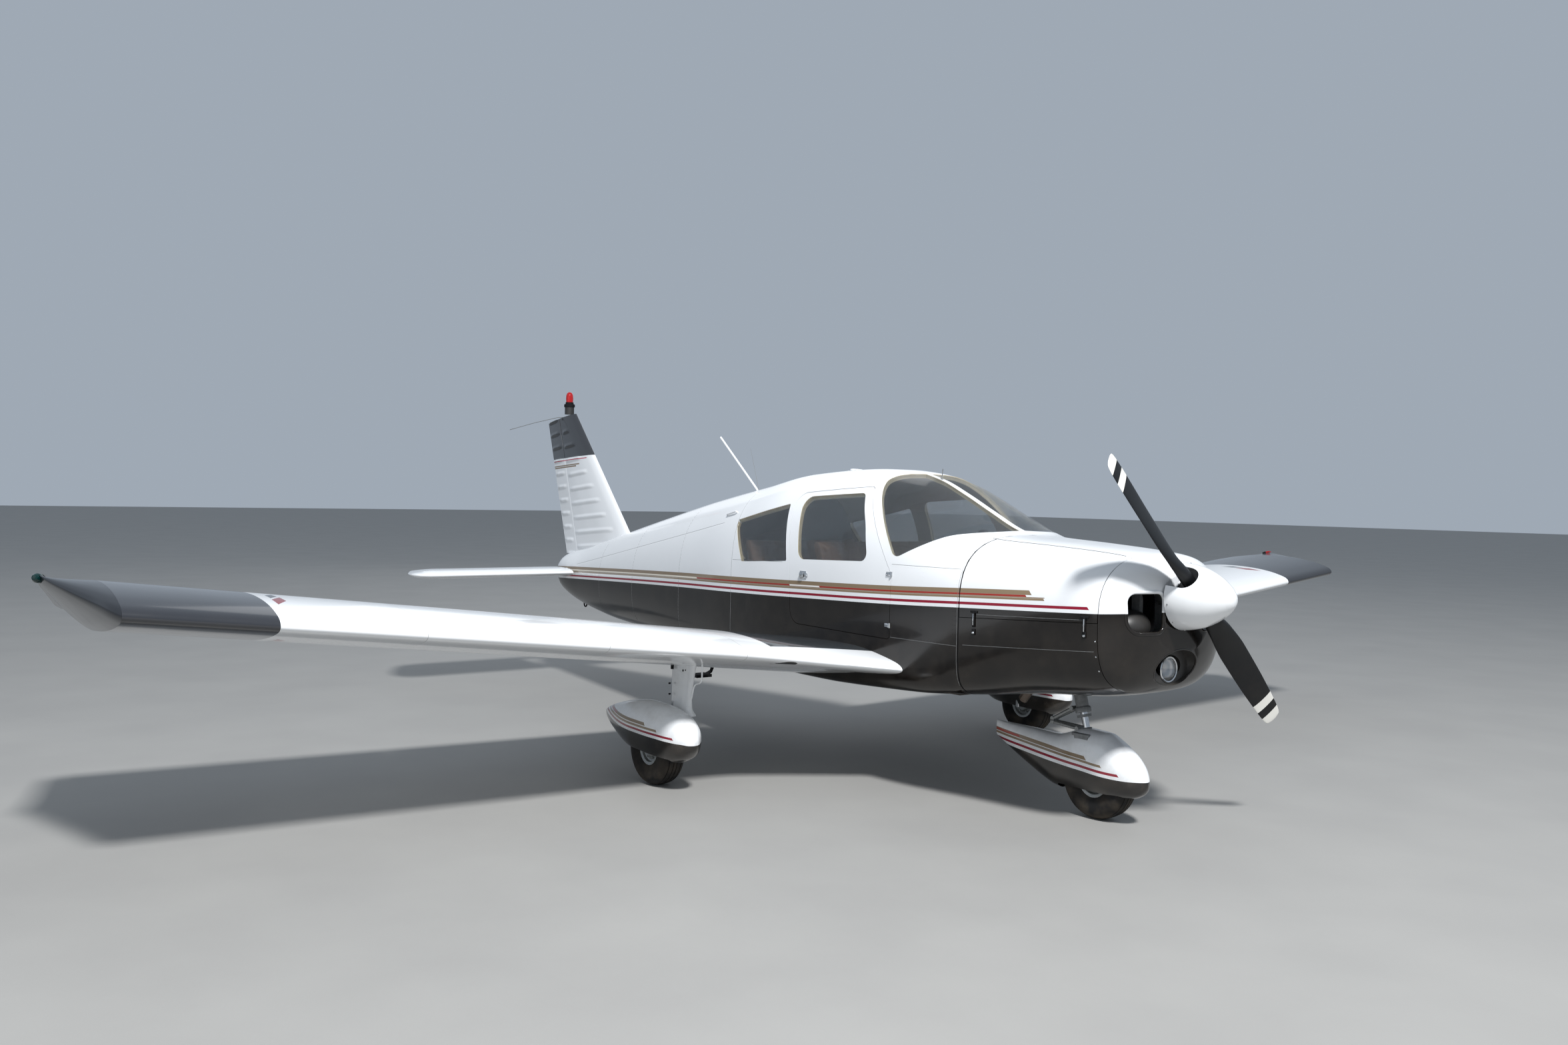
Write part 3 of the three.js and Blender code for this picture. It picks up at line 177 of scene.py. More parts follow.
floor_finish, tree, shader = finish("pale_floor", Roughness=0.62)
toned(tree, shader, noise(tree, own_place(tree), 1.3, 8.0), "8f8e8c", "9d9c99")
bumped(tree, shader, noise(tree, own_place(tree), 90.0, 4.0), 0.12, 0.004)
FLOOR_REACH = 90.0
floor_mesh = bpy.data.meshes.new("floor")
corners = [(x * FLOOR_REACH, y * FLOOR_REACH, 0.0) for x, y in ((-1, -1), (1, -1), (1, 1), (-1, 1))]
floor_mesh.from_pydata(corners, [], [(0, 1, 2, 3)])
floor = bpy.data.objects.new("floor", floor_mesh)
floor_mesh.materials.append(floor_finish)
bpy.context.collection.objects.link(floor)


# Hull form. Sheet aluminium over frames: each frame is a rounded box section, and the skin runs fair through
# them. Stations are metres aft from just ahead of the spinner; heights are over the ground.
MID = 3.575  # the station of x = 0
# Columns: station, half breadth, lowest, widest and highest heights, squareness of the upper and lower halves
FRAMES = np.array([
    (0.312, 0.215, 0.905, 1.080, 1.290, 2.2, 2.2),
    (0.330, 0.290, 0.848, 1.072, 1.322, 2.3, 2.4),
    (0.360, 0.370, 0.785, 1.065, 1.350, 2.5, 2.7),
    (0.400, 0.435, 0.730, 1.060, 1.374, 2.6, 3.0),
    (0.440, 0.475, 0.702, 1.060, 1.388, 2.7, 3.2),
    (0.600, 0.505, 0.670, 1.060, 1.405, 2.8, 3.6),
    (0.900, 0.535, 0.645, 1.050, 1.425, 2.9, 4.2),
    (1.280, 0.560, 0.600, 1.040, 1.448, 3.0, 7.0),
    (1.380, 0.567, 0.592, 1.038, 1.475, 3.0, 9.0),
    (1.600, 0.575, 0.574, 1.030, 1.574, 3.0, 12.0),
    (1.800, 0.578, 0.563, 1.025, 1.668, 3.1, 12.0),
    (2.000, 0.580, 0.554, 1.020, 1.750, 3.2, 12.0),
    (2.200, 0.581, 0.546, 1.015, 1.796, 3.3, 12.0),
    (2.400, 0.580, 0.541, 1.010, 1.813, 3.4, 12.0),
    (2.900, 0.575, 0.540, 1.000, 1.788, 3.4, 10.0),
    (3.400, 0.540, 0.543, 0.990, 1.712, 3.1, 7.0),
    (4.100, 0.450, 0.553, 0.960, 1.607, 2.6, 4.4),
    (4.900, 0.340, 0.572, 0.940, 1.456, 2.3, 3.2),
    (5.600, 0.240, 0.598, 0.930, 1.312, 2.1, 2.7),
    (6.250, 0.150, 0.668, 0.925, 1.172, 2.0, 2.4),
    (6.700, 0.092, 0.775, 0.940, 1.082, 2.0, 2.2),
    (6.790, 0.066, 0.838, 0.945, 1.024, 2.0, 2.0),
    (6.825, 0.030, 0.890, 0.945, 0.985, 2.0, 2.0),
])


def faired(table, at):
    """Columns 1 onward of a table at values of its first column, on cubic arcs that never overshoot."""
    x, y = table[:, 0], table[:, 1:]
    step = np.diff(x)[:, None]
    rate = np.diff(y, axis=0) / step
    before, after = rate[:-1], rate[1:]
    total = before + after
    inner = np.where(before * after > 0, 2 * before * after / (total + 1e-12 * (total == 0)), 0.0)
    slope = np.vstack([rate[:1], inner, rate[-1:]])
    at = np.clip(np.asarray(at, float), x[0], x[-1])
    row = np.clip(np.searchsorted(x, at, side="right") - 1, 0, len(x) - 2)
    gap = step[row, 0]
    t = ((at - x[row]) / gap)[..., None]
    gap = gap[..., None]
    near, far = y[row], y[row + 1]
    rise = (2 * t**3 - 3 * t**2 + 1) * near + (3 * t**2 - 2 * t**3) * far
    return rise + (t**3 - 2 * t**2 + t) * gap * slope[row] + (t**3 - t**2) * gap * slope[row + 1]


def columns(table, at):
    """The faired columns of a table, each as one upright column over the places."""
    return np.moveaxis(faired(table, at), -1, 0)[:, :, None]


def frame_at(station, inset=0.0):
    """Half breadth, rise, drop, widest height and both squarenesses of the hull, drawn in by `inset`."""
    half, low, wide, top, upper, lower = np.moveaxis(faired(FRAMES, station), -1, 0)
    return half - inset, top - inset - wide, wide - low - inset, wide, upper, lower


def hull(station, angle, inset=0.0):
    """Point of the hull at an angle turned from the port beam over the top: radius = (|cos a / half|^n +
    |sin a / rise|^n)^(-1/n), with the rise and n of the upper or the lower half."""
    half, rise, drop, wide, upper, lower = frame_at(station, inset)
    over = np.sin(angle) >= 0
    power = np.where(over, upper, lower)
    tall = np.where(over, rise, drop)
    radius = (np.abs(np.cos(angle) / half) ** power + np.abs(np.sin(angle) / tall) ** power) ** (-1 / power)
    along = MID - station
    return np.stack([along + 0 * radius, radius * np.cos(angle), wide + radius * np.sin(angle)], -1)


def angle_at_height(station, height, side=1):
    """Angle of the hull point at a station and a height, on the port side (1) or the starboard side (-1)."""
    half, rise, drop, wide, upper, lower = frame_at(np.asarray(station, float))
    over = height >= wide
    power = np.where(over, upper, lower)
    part = np.clip(np.abs(height - wide) / np.where(over, rise, drop), 0, 1)
    angle = np.arctan2(height - wide, half * (1 - part**power) ** (1 / power))
    return angle if side > 0 else np.pi - angle


def angle_at_breadth(station, across):
    """Angle of the point on the upper half of the hull at a station and a distance off the middle line."""
    half, rise, drop, wide, upper, lower = frame_at(np.asarray(station, float))
    height = rise * (1 - np.clip(np.abs(across) / half, 0, 1) ** upper) ** (1 / upper)
    return np.arctan2(height, across)


# Sheets laid on the hull. A panel, pane or door is cut to an outline drawn on the plane of station and
# girth, then laid on the skin and given its thickness inward, with its edges closed.
GIRTH = 0.5  # girth for each radian of the hull's angle
OUTLINE_STEP = 0.012
HALVINGS = 40
CLEAR_OF_EDGE = 0.45  # of the spacing, left between an outline and the grid inside it
WELD_DIGITS = 5
CREASE = 35.0


def rounded(rows):
    """A closed outline of rows (first, second, radius), with each corner turned on an arc of that radius that
    touches both of its sides."""
    corners = np.array(rows, float)
    outline = []
    for before, (x, y, radius), after in zip(np.roll(corners, 1, 0), corners, np.roll(corners, -1, 0)):
        point = np.array([x, y])
        back, on = unit(before[:2] - point), unit(after[:2] - point)
        half = np.arccos(np.clip(back @ on, -1, 1)) / 2
        reach = radius / np.tan(half)
        middle = point + unit(back + on) * radius / np.sin(half)
        ends = [point + back * reach - middle, point + on * reach - middle]
        turns = np.linspace(0, 1, 9 if radius > 0 else 1)
        sweep = np.arctan2(ends[0][0] * ends[1][1] - ends[0][1] * ends[1][0], ends[0] @ ends[1])
        for turn in turns * sweep:
            c, s = np.cos(turn), np.sin(turn)
            a, b = ends[0]
            outline.append(middle + np.array([c * a - s * b, s * a + c * b]))
    return np.array(outline)


def stepped(line, step, closed=True):
    """The points of a line with each side divided evenly into steps no longer than `step`."""
    line = np.asarray(line, float)
    ends = np.roll(line, -1, 0) if closed else line[1:]
    starts = line if closed else line[:-1]
    parts = [
        a + (b - a) * np.arange(n)[:, None] / n
        for a, b,
        n in zip(starts, ends, np.ceil(np.linalg.norm(ends - starts, axis=1) / step).astype(int).clip(1))
    ]
    return np.concatenate(parts if closed else [*parts, line[-1:]])


def on_side(rows, side):
    """An outline given by station and height, as station and girth on one side of the hull."""
    line = stepped(rounded(rows), OUTLINE_STEP)
    return np.column_stack([line[:, 0], GIRTH * angle_at_height(line[:, 0], line[:, 1], side)])


def inside(points, outlines):
    """Whether each point lies within an odd number of the outlines, counting the sides that a ray crosses."""
    within = np.zeros(len(points), bool)
    for line in outlines:
        for (x0, y0), (x1, y1) in zip(line, np.roll(line, -1, 0)):
            crosses = (y0 > points[:, 1]) != (y1 > points[:, 1])
            if crosses.any():
                reach = x0 + (points[crosses, 1] - y0) * (x1 - x0) / (y1 - y0)
                within[crosses] ^= points[crosses, 0] < reach
    return within


def drawn_out(outline, step):
    """An outline of many points moved outward by `step` along its own normals."""
    ahead, behind = np.roll(outline, -1, 0), np.roll(outline, 1, 0)
    area = np.sum(outline[:, 0] * ahead[:, 1] - ahead[:, 0] * outline[:, 1])
    run = unit(ahead - behind) * np.sign(area)
    return outline + step * np.column_stack([run[:, 1], -run[:, 0]])


def plan(outlines, spacing):
    """Triangles that fill the first outline less the others, with an even grid of points inside."""
    low, high = outlines[0].min(0), outlines[0].max(0)
    places = [np.arange(a, b, s) for a, b, s in zip(low, high, spacing)]
    grid = np.stack(np.meshgrid(*places), -1).reshape(-1, 2)
    grid = grid[inside(grid, outlines)]
    edge = np.concatenate(outlines)
    near = np.full(len(grid), np.inf)
    for point in edge[::2]:
        near = np.minimum(near, np.max(np.abs(grid - point) / spacing, axis=1))
    points = np.concatenate([edge, grid[near > CLEAR_OF_EDGE]])
    starts = np.cumsum([0] + [len(line) for line in outlines])
    sides = [
        (int(a + i), int(a + (i + 1) % (b - a))) for a,
        b in zip(starts[:-1], starts[1:]) for i in range(b - a)
    ]
    laid, _, faces, *_ = geometry.delaunay_2d_cdt(points.tolist(), sides, [], 0, 1e-7)
    laid = np.array([tuple(p) for p in laid])
    faces = np.array(faces)
    return laid, faces[inside(laid[faces].mean(1), outlines)]


def merged(points, faces):
    """Points and faces with coincident points made one: quads that this pinches turn into triangles, and
    faces that it empties are dropped."""
    _, first, turn = np.unique(np.round(points, WELD_DIGITS), axis=0, return_index=True, return_inverse=True)
    kept = []
    for corners in (turn.ravel()[rows] for rows in faces):
        same = corners == np.roll(corners, 1, 1)
        kept.append(corners[~same.any(1)])
        if corners.shape[1] == 4:
            pinched = same.sum(1) == 1
            kept.append(corners[pinched][~same[pinched]].reshape(-1, 3))
    return first, kept


def laid(outlines, spacing, inset, thickness, seams=(0,)):
    """A sheet on the hull, closed: its outer face (material 0), its inner face (1) and the wall along its
    edges, painted as the outside along the outlines numbered in `seams` and with material 2 elsewhere."""
    flat, faces = plan(outlines, spacing)
    outer = hull(flat[:, 0], flat[:, 1] / GIRTH, inset)
    kept, (faces,) = merged(outer, [faces])
    flat, outer = flat[kept], outer[kept]
    inner = hull(flat[:, 0], flat[:, 1] / GIRTH, inset + thickness)
    count = len(outer)
    sides = np.concatenate([faces[:, [0, 1]], faces[:, [1, 2]], faces[:, [2, 0]]])
    _, turn, uses = np.unique(np.sort(sides, 1), axis=0, return_inverse=True, return_counts=True)
    rim = sides[uses[turn.ravel()] == 1]
    wall = np.column_stack([rim[:, 1], rim[:, 0], rim[:, 0] + count, rim[:, 1] + count])
    reach = [np.linalg.norm(flat[rim].mean(1)[:, None] - line, axis=2).min(1) for line in outlines]
    edging = np.where(np.isin(np.argmin(reach, axis=0), seams), 0, 2)
    which = np.concatenate([np.repeat([0, 1], len(faces)), edging])
    return (np.concatenate([outer, inner]), [faces, faces[:, ::-1] + count, wall]), which


def piece(name, shape, body, materials, replaces=(), which=None, crease=CREASE):
    """Makes the object of a shape, smooth but for edges sharper than `crease`, and gives it to its body."""
    points, blocks = shape
    mesh = bpy.data.meshes.new(name)
    mesh.vertices.add(len(points))
    mesh.vertices.foreach_set("co", np.asarray(points, np.float32).ravel())
    corners = np.concatenate([b.ravel() for b in blocks])
    sizes = np.concatenate([np.full(len(b), b.shape[1]) for b in blocks])
    mesh.loops.add(len(corners))
    mesh.loops.foreach_set("vertex_index", corners.astype(np.int32))
    mesh.polygons.add(len(sizes))
    mesh.polygons.foreach_set("loop_start", (np.cumsum(sizes) - sizes).astype(np.int32))
    if which is not None:
        mesh.polygons.foreach_set("material_index", which.astype(np.int32))
    mesh.polygons.foreach_set("use_smooth", np.ones(len(sizes), bool))
    mesh.update(calc_edges=True)
    mesh.validate()
    mesh.set_sharp_from_angle(angle=np.radians(crease))
    made = bpy.data.objects.new(name, mesh)
    bpy.context.collection.objects.link(made)
    for material in materials if isinstance(materials, (list, tuple)) else [materials]:
        mesh.materials.append(material)
    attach(made, body)
    if replaces:
        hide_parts(*replaces)
    return made


# Paint. Glossy two-coat enamel all over: white above, very dark brown below, and between them a tan band
# with an orange core, a crimson line and white gaps, all masked along one gently falling line.
HULL_LENGTH = 7.0
# Height of the line where the dark paint begins, at stations along the hull
PAINT_LINE = [(0.0, 1.125), (0.385, 1.109), (1.258, 1.074), (1.82, 1.050), (2.72, 1.022), (3.34, 1.004),
              (4.25, 0.977), (6.3, 0.897), (7.0, 0.868)]
LINE_LOW, LINE_SPAN = 0.8, 0.4
# Stripes over the paint line: lower and upper height over it, front end at the lower edge, rear end, colour
STRIPES = [
    (0.0170, 0.0320, 0.484, 7.0, "880d29"),
    (0.0520, 0.0640, 0.735, 7.0, "85735c"),
    (0.0640, 0.0690, 0.735, 7.0, "85735c"),
    (0.0685, 0.0785, 0.845, 3.9, "962a20"),
    (0.0690, 0.0780, 3.9, 7.0, "e4dccb"),
    (0.0690, 0.0780, 2.42, 2.715, "e9e7e2"),
    (0.0780, 0.1020, 0.815, 7.0, "85735c"),
]
STRIPE_SLANT = 0.85
WHITE_PAINT, DARK_PAINT = tone("e6e8ea"), tone("171412")
EDGE_BLUR = 0.0006


def new_group(name, inputs, outputs):
    """A shader node group with named sockets, each given as (name, kind)."""
    group = bpy.data.node_groups.new(name, "ShaderNodeTree")
    for way, sockets in (("INPUT", inputs), ("OUTPUT", outputs)):
        for label, kind in sockets:
            group.interface.new_socket(label, in_out=way, socket_type="NodeSocket" + kind)
    return group, group.nodes.new("NodeGroupInput").outputs, group.nodes.new("NodeGroupOutput").inputs


def split(tree, vector):
    """The three parts of a vector socket."""
    return node(tree, "ShaderNodeSeparateXYZ", {"Vector": vector}).outputs


def placed(tree, vector):
    """Station, breadth and height of a point, as sockets."""
    x, y, z = split(tree, vector)
    return maths(tree, "SUBTRACT", MID, x), y, z


def rising(tree, value, start, width):
    """Goes from 0 to 1 as value passes start, over a width."""
    gap = maths(tree, "SUBTRACT", value, start)
    return maths(tree, "DIVIDE", gap, width, clamp=True)


def between(tree, value, low, high, width=EDGE_BLUR):
    """1 where value lies from low to high, and 0 elsewhere."""
    return maths(tree, "MULTIPLY", rising(tree, value, low, width), rising(tree, high, value, width))


def curve_of(tree, value, rows, low, span, length):
    """A smooth curve through rows of (place, height), as a socket."""
    made = node(tree, "ShaderNodeFloatCurve", {"Value": maths(tree, "DIVIDE", value, length)})
    line = made.mapping.curves[0]
    for place, height in rows[1:-1]:
        line.points.new(place / length, (height - low) / span)
    for point, (place, height) in zip((line.points[0], line.points[-1]), (rows[0], rows[-1])):
        point.location = (place / length, (height - low) / span)
    made.mapping.update()
    return maths(tree, "MULTIPLY_ADD", made.outputs["Value"], span, low)


livery, given, out = new_group(
    "livery", [("Place", "Vector")], [("Colour", "Color"), ("Dark", "Float")],
)
station, _, z = placed(livery, given["Place"])
line_height = curve_of(livery, station, PAINT_LINE, LINE_LOW, LINE_SPAN, HULL_LENGTH)
over_line = maths(livery, "SUBTRACT", z, line_height)
dark = rising(livery, 0.0, over_line, EDGE_BLUR)
colour = mixed(livery, dark, WHITE_PAINT, DARK_PAINT)
for low, high, front, rear, code in STRIPES:
    slanted = maths(livery, "MULTIPLY_ADD", over_line, -STRIPE_SLANT, station)
    band = maths(
        livery, "MULTIPLY", between(livery, over_line, low, high),
        between(livery, slanted, front - STRIPE_SLANT * low, rear - STRIPE_SLANT * low),
    )
    colour = mixed(livery, band, colour, tone(code))
livery.links.new(colour, out["Colour"])
livery.links.new(dark, out["Dark"])

# Ageing: a faint waviness of thin sheet, grain of sprayed enamel, and grime that gathers low down
ageing, given, out = new_group(
    "ageing", [("Place", "Vector"), ("Waves", "Float"), ("Grime", "Float")],
    [("Grime", "Float"), ("Roughness", "Float"), ("Height", "Float")],
)
waves = noise(ageing, given["Place"], 3.1, 1.0)
grain = noise(ageing, given["Place"], 420.0)
cloud = noise(ageing, given["Place"], 7.0, 9.0, Roughness=0.7)
low_down = rising(ageing, 1.25, split(ageing, given["Place"])[2], 0.9)
spread = maths(ageing, "MULTIPLY", rising(ageing, cloud, 0.42, 0.4), low_down)
ageing.links.new(maths(ageing, "MULTIPLY", spread, given["Grime"]), out["Grime"])
ageing.links.new(maths(ageing, "MULTIPLY", cloud, 0.12), out["Roughness"])
wavy = maths(ageing, "MULTIPLY", waves, given["Waves"])
ageing.links.new(maths(ageing, "MULTIPLY_ADD", grain, 0.000012, wavy), out["Height"])


def use(tree, group, **inputs):
    """Places a node group in a tree, with its inputs given by name."""
    return node(tree, "ShaderNodeGroup", inputs, node_tree=group).outputs


def enamel(name, colour_from, waves=0.0012, grime=0.25, roughness=0.16, **values):
    """Glossy sprayed paint; colour_from gives its clean colour from the tree and the place on the piece."""
    material, tree, shader = finish(name, **{"Coat_Weight": 0.5, "Coat_Roughness": 0.06, **values})
    place = own_place(tree)
    clean = colour_from(tree, place)
    aged = use(tree, ageing, Place=place, Waves=waves, Grime=grime)
    tree.links.new(mixed(tree, aged["Grime"], clean, tone("6d6357")), shader.inputs["Base Color"])
    uneven = maths(tree, "ADD", aged["Roughness"], roughness - 0.06)
    tree.links.new(maths(tree, "MULTIPLY_ADD", aged["Grime"], 0.4, uneven), shader.inputs["Roughness"])
    bumped(tree, shader, aged["Height"], 1.0, 1.0)
    return material


hull_paint = enamel("hull_paint", lambda tree, place: use(tree, livery, Place=place)["Colour"],
                    Coat_Weight=0.25, Specular_IOR_Level=0.35)
plain_white = enamel("white_enamel", lambda tree, place: mixed(
    tree, noise(tree, place, 2.0), WHITE_PAINT, tone("e4e6e7"),
), grime=0.2)


# Cabin shell. Riveted sheet aluminium from the firewall to the rear bulkhead, in one skin with the roof, cut
# for the windscreens, the door and the side windows. Its inner face carries a tan trim cloth.
CABIN_WALL = 0.025
FIREWALL, BULKHEAD = 1.2863, 3.3997
POST_HALF = 0.022
# Outlines seen from the side: station, height and the radius of each corner
DOOR = [(1.80, 0.857, 0.02), (2.704, 0.8695, 0.088), (2.712, 1.02, 0.6), (2.727, 1.238, 0.6),
        (2.776, 1.652, 0.09), (2.135, 1.700, 0.03), (1.94, 1.411, 0.4), (1.8, 1.212, 0.02)]
DOOR_PANE = [(2.002, 1.276, 0.045), (2.640, 1.256, 0.06), (2.688, 1.634, 0.075), (2.162, 1.664, 0.045),
             (2.060, 1.480, 0.35)]
REAR_PANE = [(2.759, 1.239, 0.012), (3.273, 1.209, 0.012), (3.418, 1.472, 0.012), (2.812, 1.590, 0.012)]
SEAM_GAP = 0.0015


def screen_outline(side):
    """Half of the windscreen: up its rear edge from the lower corner, along the middle post and back down."""
    corners = [(1.33, 1.47, 0.0), (1.482, 1.443, 0.3), (1.79, 1.302, 0.055), (1.985, 1.58, 0.5),
               (2.112, 1.742, 0.07), (2.128, 1.79, 0.0), (2.13, 1.9, 0.0)]
    low = stepped(rounded(corners), OUTLINE_STEP, closed=False)
    wide = frame_at(low[:, 0])[3]
    angle = angle_at_height(low[:, 0], low[:, 1])
    ray = hull(low[:, 0], angle)[:, 1:] - np.column_stack([0 * wide, wide])
    across = np.cos(angle) * np.linalg.norm(ray, axis=1)
    kept = across > POST_HALF
    edge = np.column_stack([low[kept, 0], angle[kept]])
    post = np.linspace(edge[-1, 0], edge[0, 0], 70)
    middle = np.column_stack([post, angle_at_breadth(post, POST_HALF)])
    line = np.concatenate([edge, middle])
    if side < 0:
        line[:, 1] = np.pi - line[:, 1]
    return line * [1, GIRTH]


def whole_turn(start, end, step=0.02):
    """The outline of the full girth of the hull between two stations, opened along the keel."""
    low, high = -np.pi / 2 * GIRTH, 1.5 * np.pi * GIRTH
    return stepped([(start, low), (end, low), (end, high), (start, high)], step)


lining = speckled("cabin_lining", "6b5f50", "a3957f", 260.0, 3.0, bump=(0.5, 0.001), Roughness=0.9,
                  Sheen_Weight=0.3)
sealant = speckled("window_sealant", "a3967c", "cfc5ad", 60.0, 5.0, Roughness=0.55)
CABIN_COATS = [hull_paint, lining, sealant]

door_cut = drawn_out(on_side(DOOR, -1), 2 * SEAM_GAP)
openings = [
    screen_outline(1), screen_outline(-1), on_side(REAR_PANE, -1), on_side(REAR_PANE, 1),
    on_side(DOOR_PANE, 1),
]
outlines = [whole_turn(FIREWALL, BULKHEAD), door_cut, *openings]
shape, which = laid(outlines, (0.022, 0.022), 0.0, CABIN_WALL, (0, 1))
piece("cabin_skin", shape, "airframe", CABIN_COATS, which=which, replaces=[
    "belly_floor", "scuttle", "cabin_roof", "cabin_side_left", "cabin_side_right_front",
    "cabin_side_right_rear",
])
shape, which = laid([on_side(DOOR, -1), on_side(DOOR_PANE, -1)], (0.02, 0.02), 0.0, CABIN_WALL)
piece("cabin_door_skin", shape, "cabin_door", CABIN_COATS, which=which,
      replaces=["cabin_door"])

# Panes: smoked acrylic, 8 mm thick here, set a little under the skin
GLASS_INSET, GLASS_THICK = 0.003, 0.008
smoked, tree, shader = finish(
    "smoked_acrylic", Transmission_Weight=0.93, IOR=1.49, Base_Color=tone("7d898f"), Coat_Weight=0.0,
    Alpha=0.34,
)
haze = noise(tree, own_place(tree), 14.0, 6.0)
tree.links.new(maths(tree, "MULTIPLY", haze, 0.03), shader.inputs["Roughness"])
PANES = {
    "windshield_left": (screen_outline(1), "airframe"),
    "windshield_right": (screen_outline(-1), "airframe"),
    "window_left_front": (on_side(DOOR_PANE, 1), "airframe"),
    "window_left_rear": (on_side(REAR_PANE, 1), "airframe"),
    "window_right_rear": (on_side(REAR_PANE, -1), "airframe"),
    "door_window": (on_side(DOOR_PANE, -1), "cabin_door"),
}
for name, (outline, body) in PANES.items():
    shape, _ = laid([drawn_out(outline, -0.0004)], (0.025, 0.025), GLASS_INSET, GLASS_THICK)
    piece(name + "_pane", shape, body, smoked, replaces=[name])


# Tail cone. Stringerless sheet aluminium that tapers from the cabin's rear bulkhead to a small rounded end,
# joined along the shoulder by a lapped seam.
TAIL_END = FRAMES[-1, 0]
shape, which = laid([whole_turn(BULKHEAD + SEAM_GAP, TAIL_END, 0.03)], (0.045, 0.028), 0.0, 0.002)
piece("tail_cone_skin", shape, "airframe", CABIN_COATS, which=which,
      replaces=["tail_cone"])


def loft(grid, closed=True, caps=True):
    """The surface through a grid of points: each row is a ring, closed on itself unless said, and the first
    and last rings are filled from their middles. The sign of its volume turns the faces outward."""
    rows, count = grid.shape[:2]
    index = np.arange(rows * count).reshape(rows, count)
    on = np.roll(index, -1, 1) if closed else index[:, 1:]
    here = index if closed else index[:, :-1]
    quads = np.stack([here[:-1], on[:-1], on[1:], here[1:]], -1).reshape(-1, 4)
    points = grid.reshape(-1, 3)
    blocks = [quads]
    if caps:
        points = np.concatenate([points, grid[[0, -1]].mean(1)])
        first = np.column_stack([on[0], here[0], np.full(len(here[0]), rows * count)])
        last = np.column_stack([here[-1], on[-1], np.full(len(here[0]), rows * count + 1)])
        blocks.append(np.concatenate([first, last]))
    kept, blocks = merged(points, blocks)
    points = points[kept]
    faces = [b for b in blocks if len(b)]
    volume = sum(
        np.einsum("ij,ij->", points[b[:, 0]], np.cross(points[b[:, i]], points[b[:, i + 1]]))
        for b in faces for i in range(1, b.shape[1] - 1)
    )
    return points, [b if volume > 0 else b[:, ::-1] for b in faces]


def joined(*shapes):
    """Several shapes as one, with their points and faces in turn."""
    points, faces, start = [], [], 0
    for own, blocks in shapes:
        points.append(own)
        faces += [b + start for b in blocks]
        start += len(own)
    return np.concatenate(points), faces


def turned_over(shape):
    """A shape with its faces turned to the other side."""
    return shape[0], [b[:, ::-1] for b in shape[1]]


def mirrored(shape):
    """A shape on the other side of the middle plane, with its faces still outward."""
    points, blocks = turned_over(shape)
    return points * [1, -1, 1], blocks


def both(shape):
    """A shape and its mirror image as one."""
    return joined(shape, mirrored(shape))


SIDES = (("left", lambda shape: shape), ("right", mirrored))


def ringed(middles, radius, across, other, sides):
    """A ring of points about each of the middles, in the plane of two ways that are square to each other."""
    turn = (np.arange(sides) * 2 * np.pi / sides)[:, None]
    ways = np.cos(turn) * across[..., None, :] + np.sin(turn) * other[..., None, :]
    return middles[:, None] + np.reshape(radius, (-1, 1, 1)) * ways


def lathe(profile, origin, axis, sides=48):
    """A profile of (radius, distance) rows turned about a line from `origin` along `axis`."""
    axis = unit(axis)
    across = unit(np.cross(axis, [0.0, 0.31, 1.0] if abs(axis[2]) < 0.9 else [1.0, 0.0, 0.0]))
    profile = np.asarray(profile, float)
    middles = origin + profile[:, 1:] * axis
    return loft(ringed(middles, profile[:, 0], across, np.cross(axis, across), sides), caps=False)


def rod(radius, low, high, origin, axis, sides=48):
    """A round bar of one radius, between two distances along an axis from `origin`."""
    return lathe([(0.0, low), (radius, low), (radius, high), (0.0, high)], origin, axis, sides)


def tube(path, radius, sides=12):
    """A round tube along a path: at each point the ring stands square to the run of the path there."""
    path = np.asarray(path, float)
    run = unit(np.gradient(path, axis=0))
    narrow = np.ptp(path[:, 1]) < 0.6 * np.ptp(path)
    guide = [0.0, 1.0, 0.0] if narrow else [0.0, 0.0, 1.0]
    across = unit(np.cross(run, guide))
    return loft(ringed(path, radius, across, np.cross(run, across), sides))


def arc(corners, steps=6, reach=0.5):
    """A path through corners with each one rounded by a quadratic curve over `reach` of its shorter side."""
    corners = np.asarray(corners, float)
    path = [corners[:1]]
    t = np.linspace(0, 1, steps)[:, None]
    for before, at, after in zip(corners[:-2], corners[1:-1], corners[2:]):
        step = reach * min(np.linalg.norm(at - before), np.linalg.norm(after - at))
        start, end = at - unit(at - before) * step, at + unit(after - at) * step
        path.append((1 - t) ** 2 * start + 2 * t * (1 - t) * at + t**2 * end)
    return np.concatenate([*path, corners[-1:]])


def brick(low, high, bevel=0.002, segments=2):
    """A block between two corners with its edges rounded: each face is a grid pulled in to the rounding."""
    low, high = np.minimum(low, high).astype(float), np.maximum(low, high).astype(float)
    bevel = min(bevel, 0.49 * np.min(high - low))
    turn = np.linspace(-np.pi / 2, np.pi / 2, 2 * segments + 2)
    ring_turn = np.concatenate([q * np.pi / 2 + np.linspace(0, np.pi / 2, segments + 1) for q in range(4)])
    corner = np.repeat([[1, 1], [0, 1], [0, 0], [1, 0]], segments + 1, axis=0)
    base = np.where(corner == 1, high[:2] - bevel, low[:2] + bevel)
    round_out = np.column_stack([np.cos(ring_turn), np.sin(ring_turn)])
    ring = base + bevel * np.cos(turn)[:, None, None] * round_out
    height = np.where(turn < 0, low[2] + bevel, high[2] - bevel) + bevel * np.sin(turn)
    grid = np.concatenate([ring, np.broadcast_to(height[:, None, None], (*ring.shape[:2], 1))], -1)
    return loft(grid)


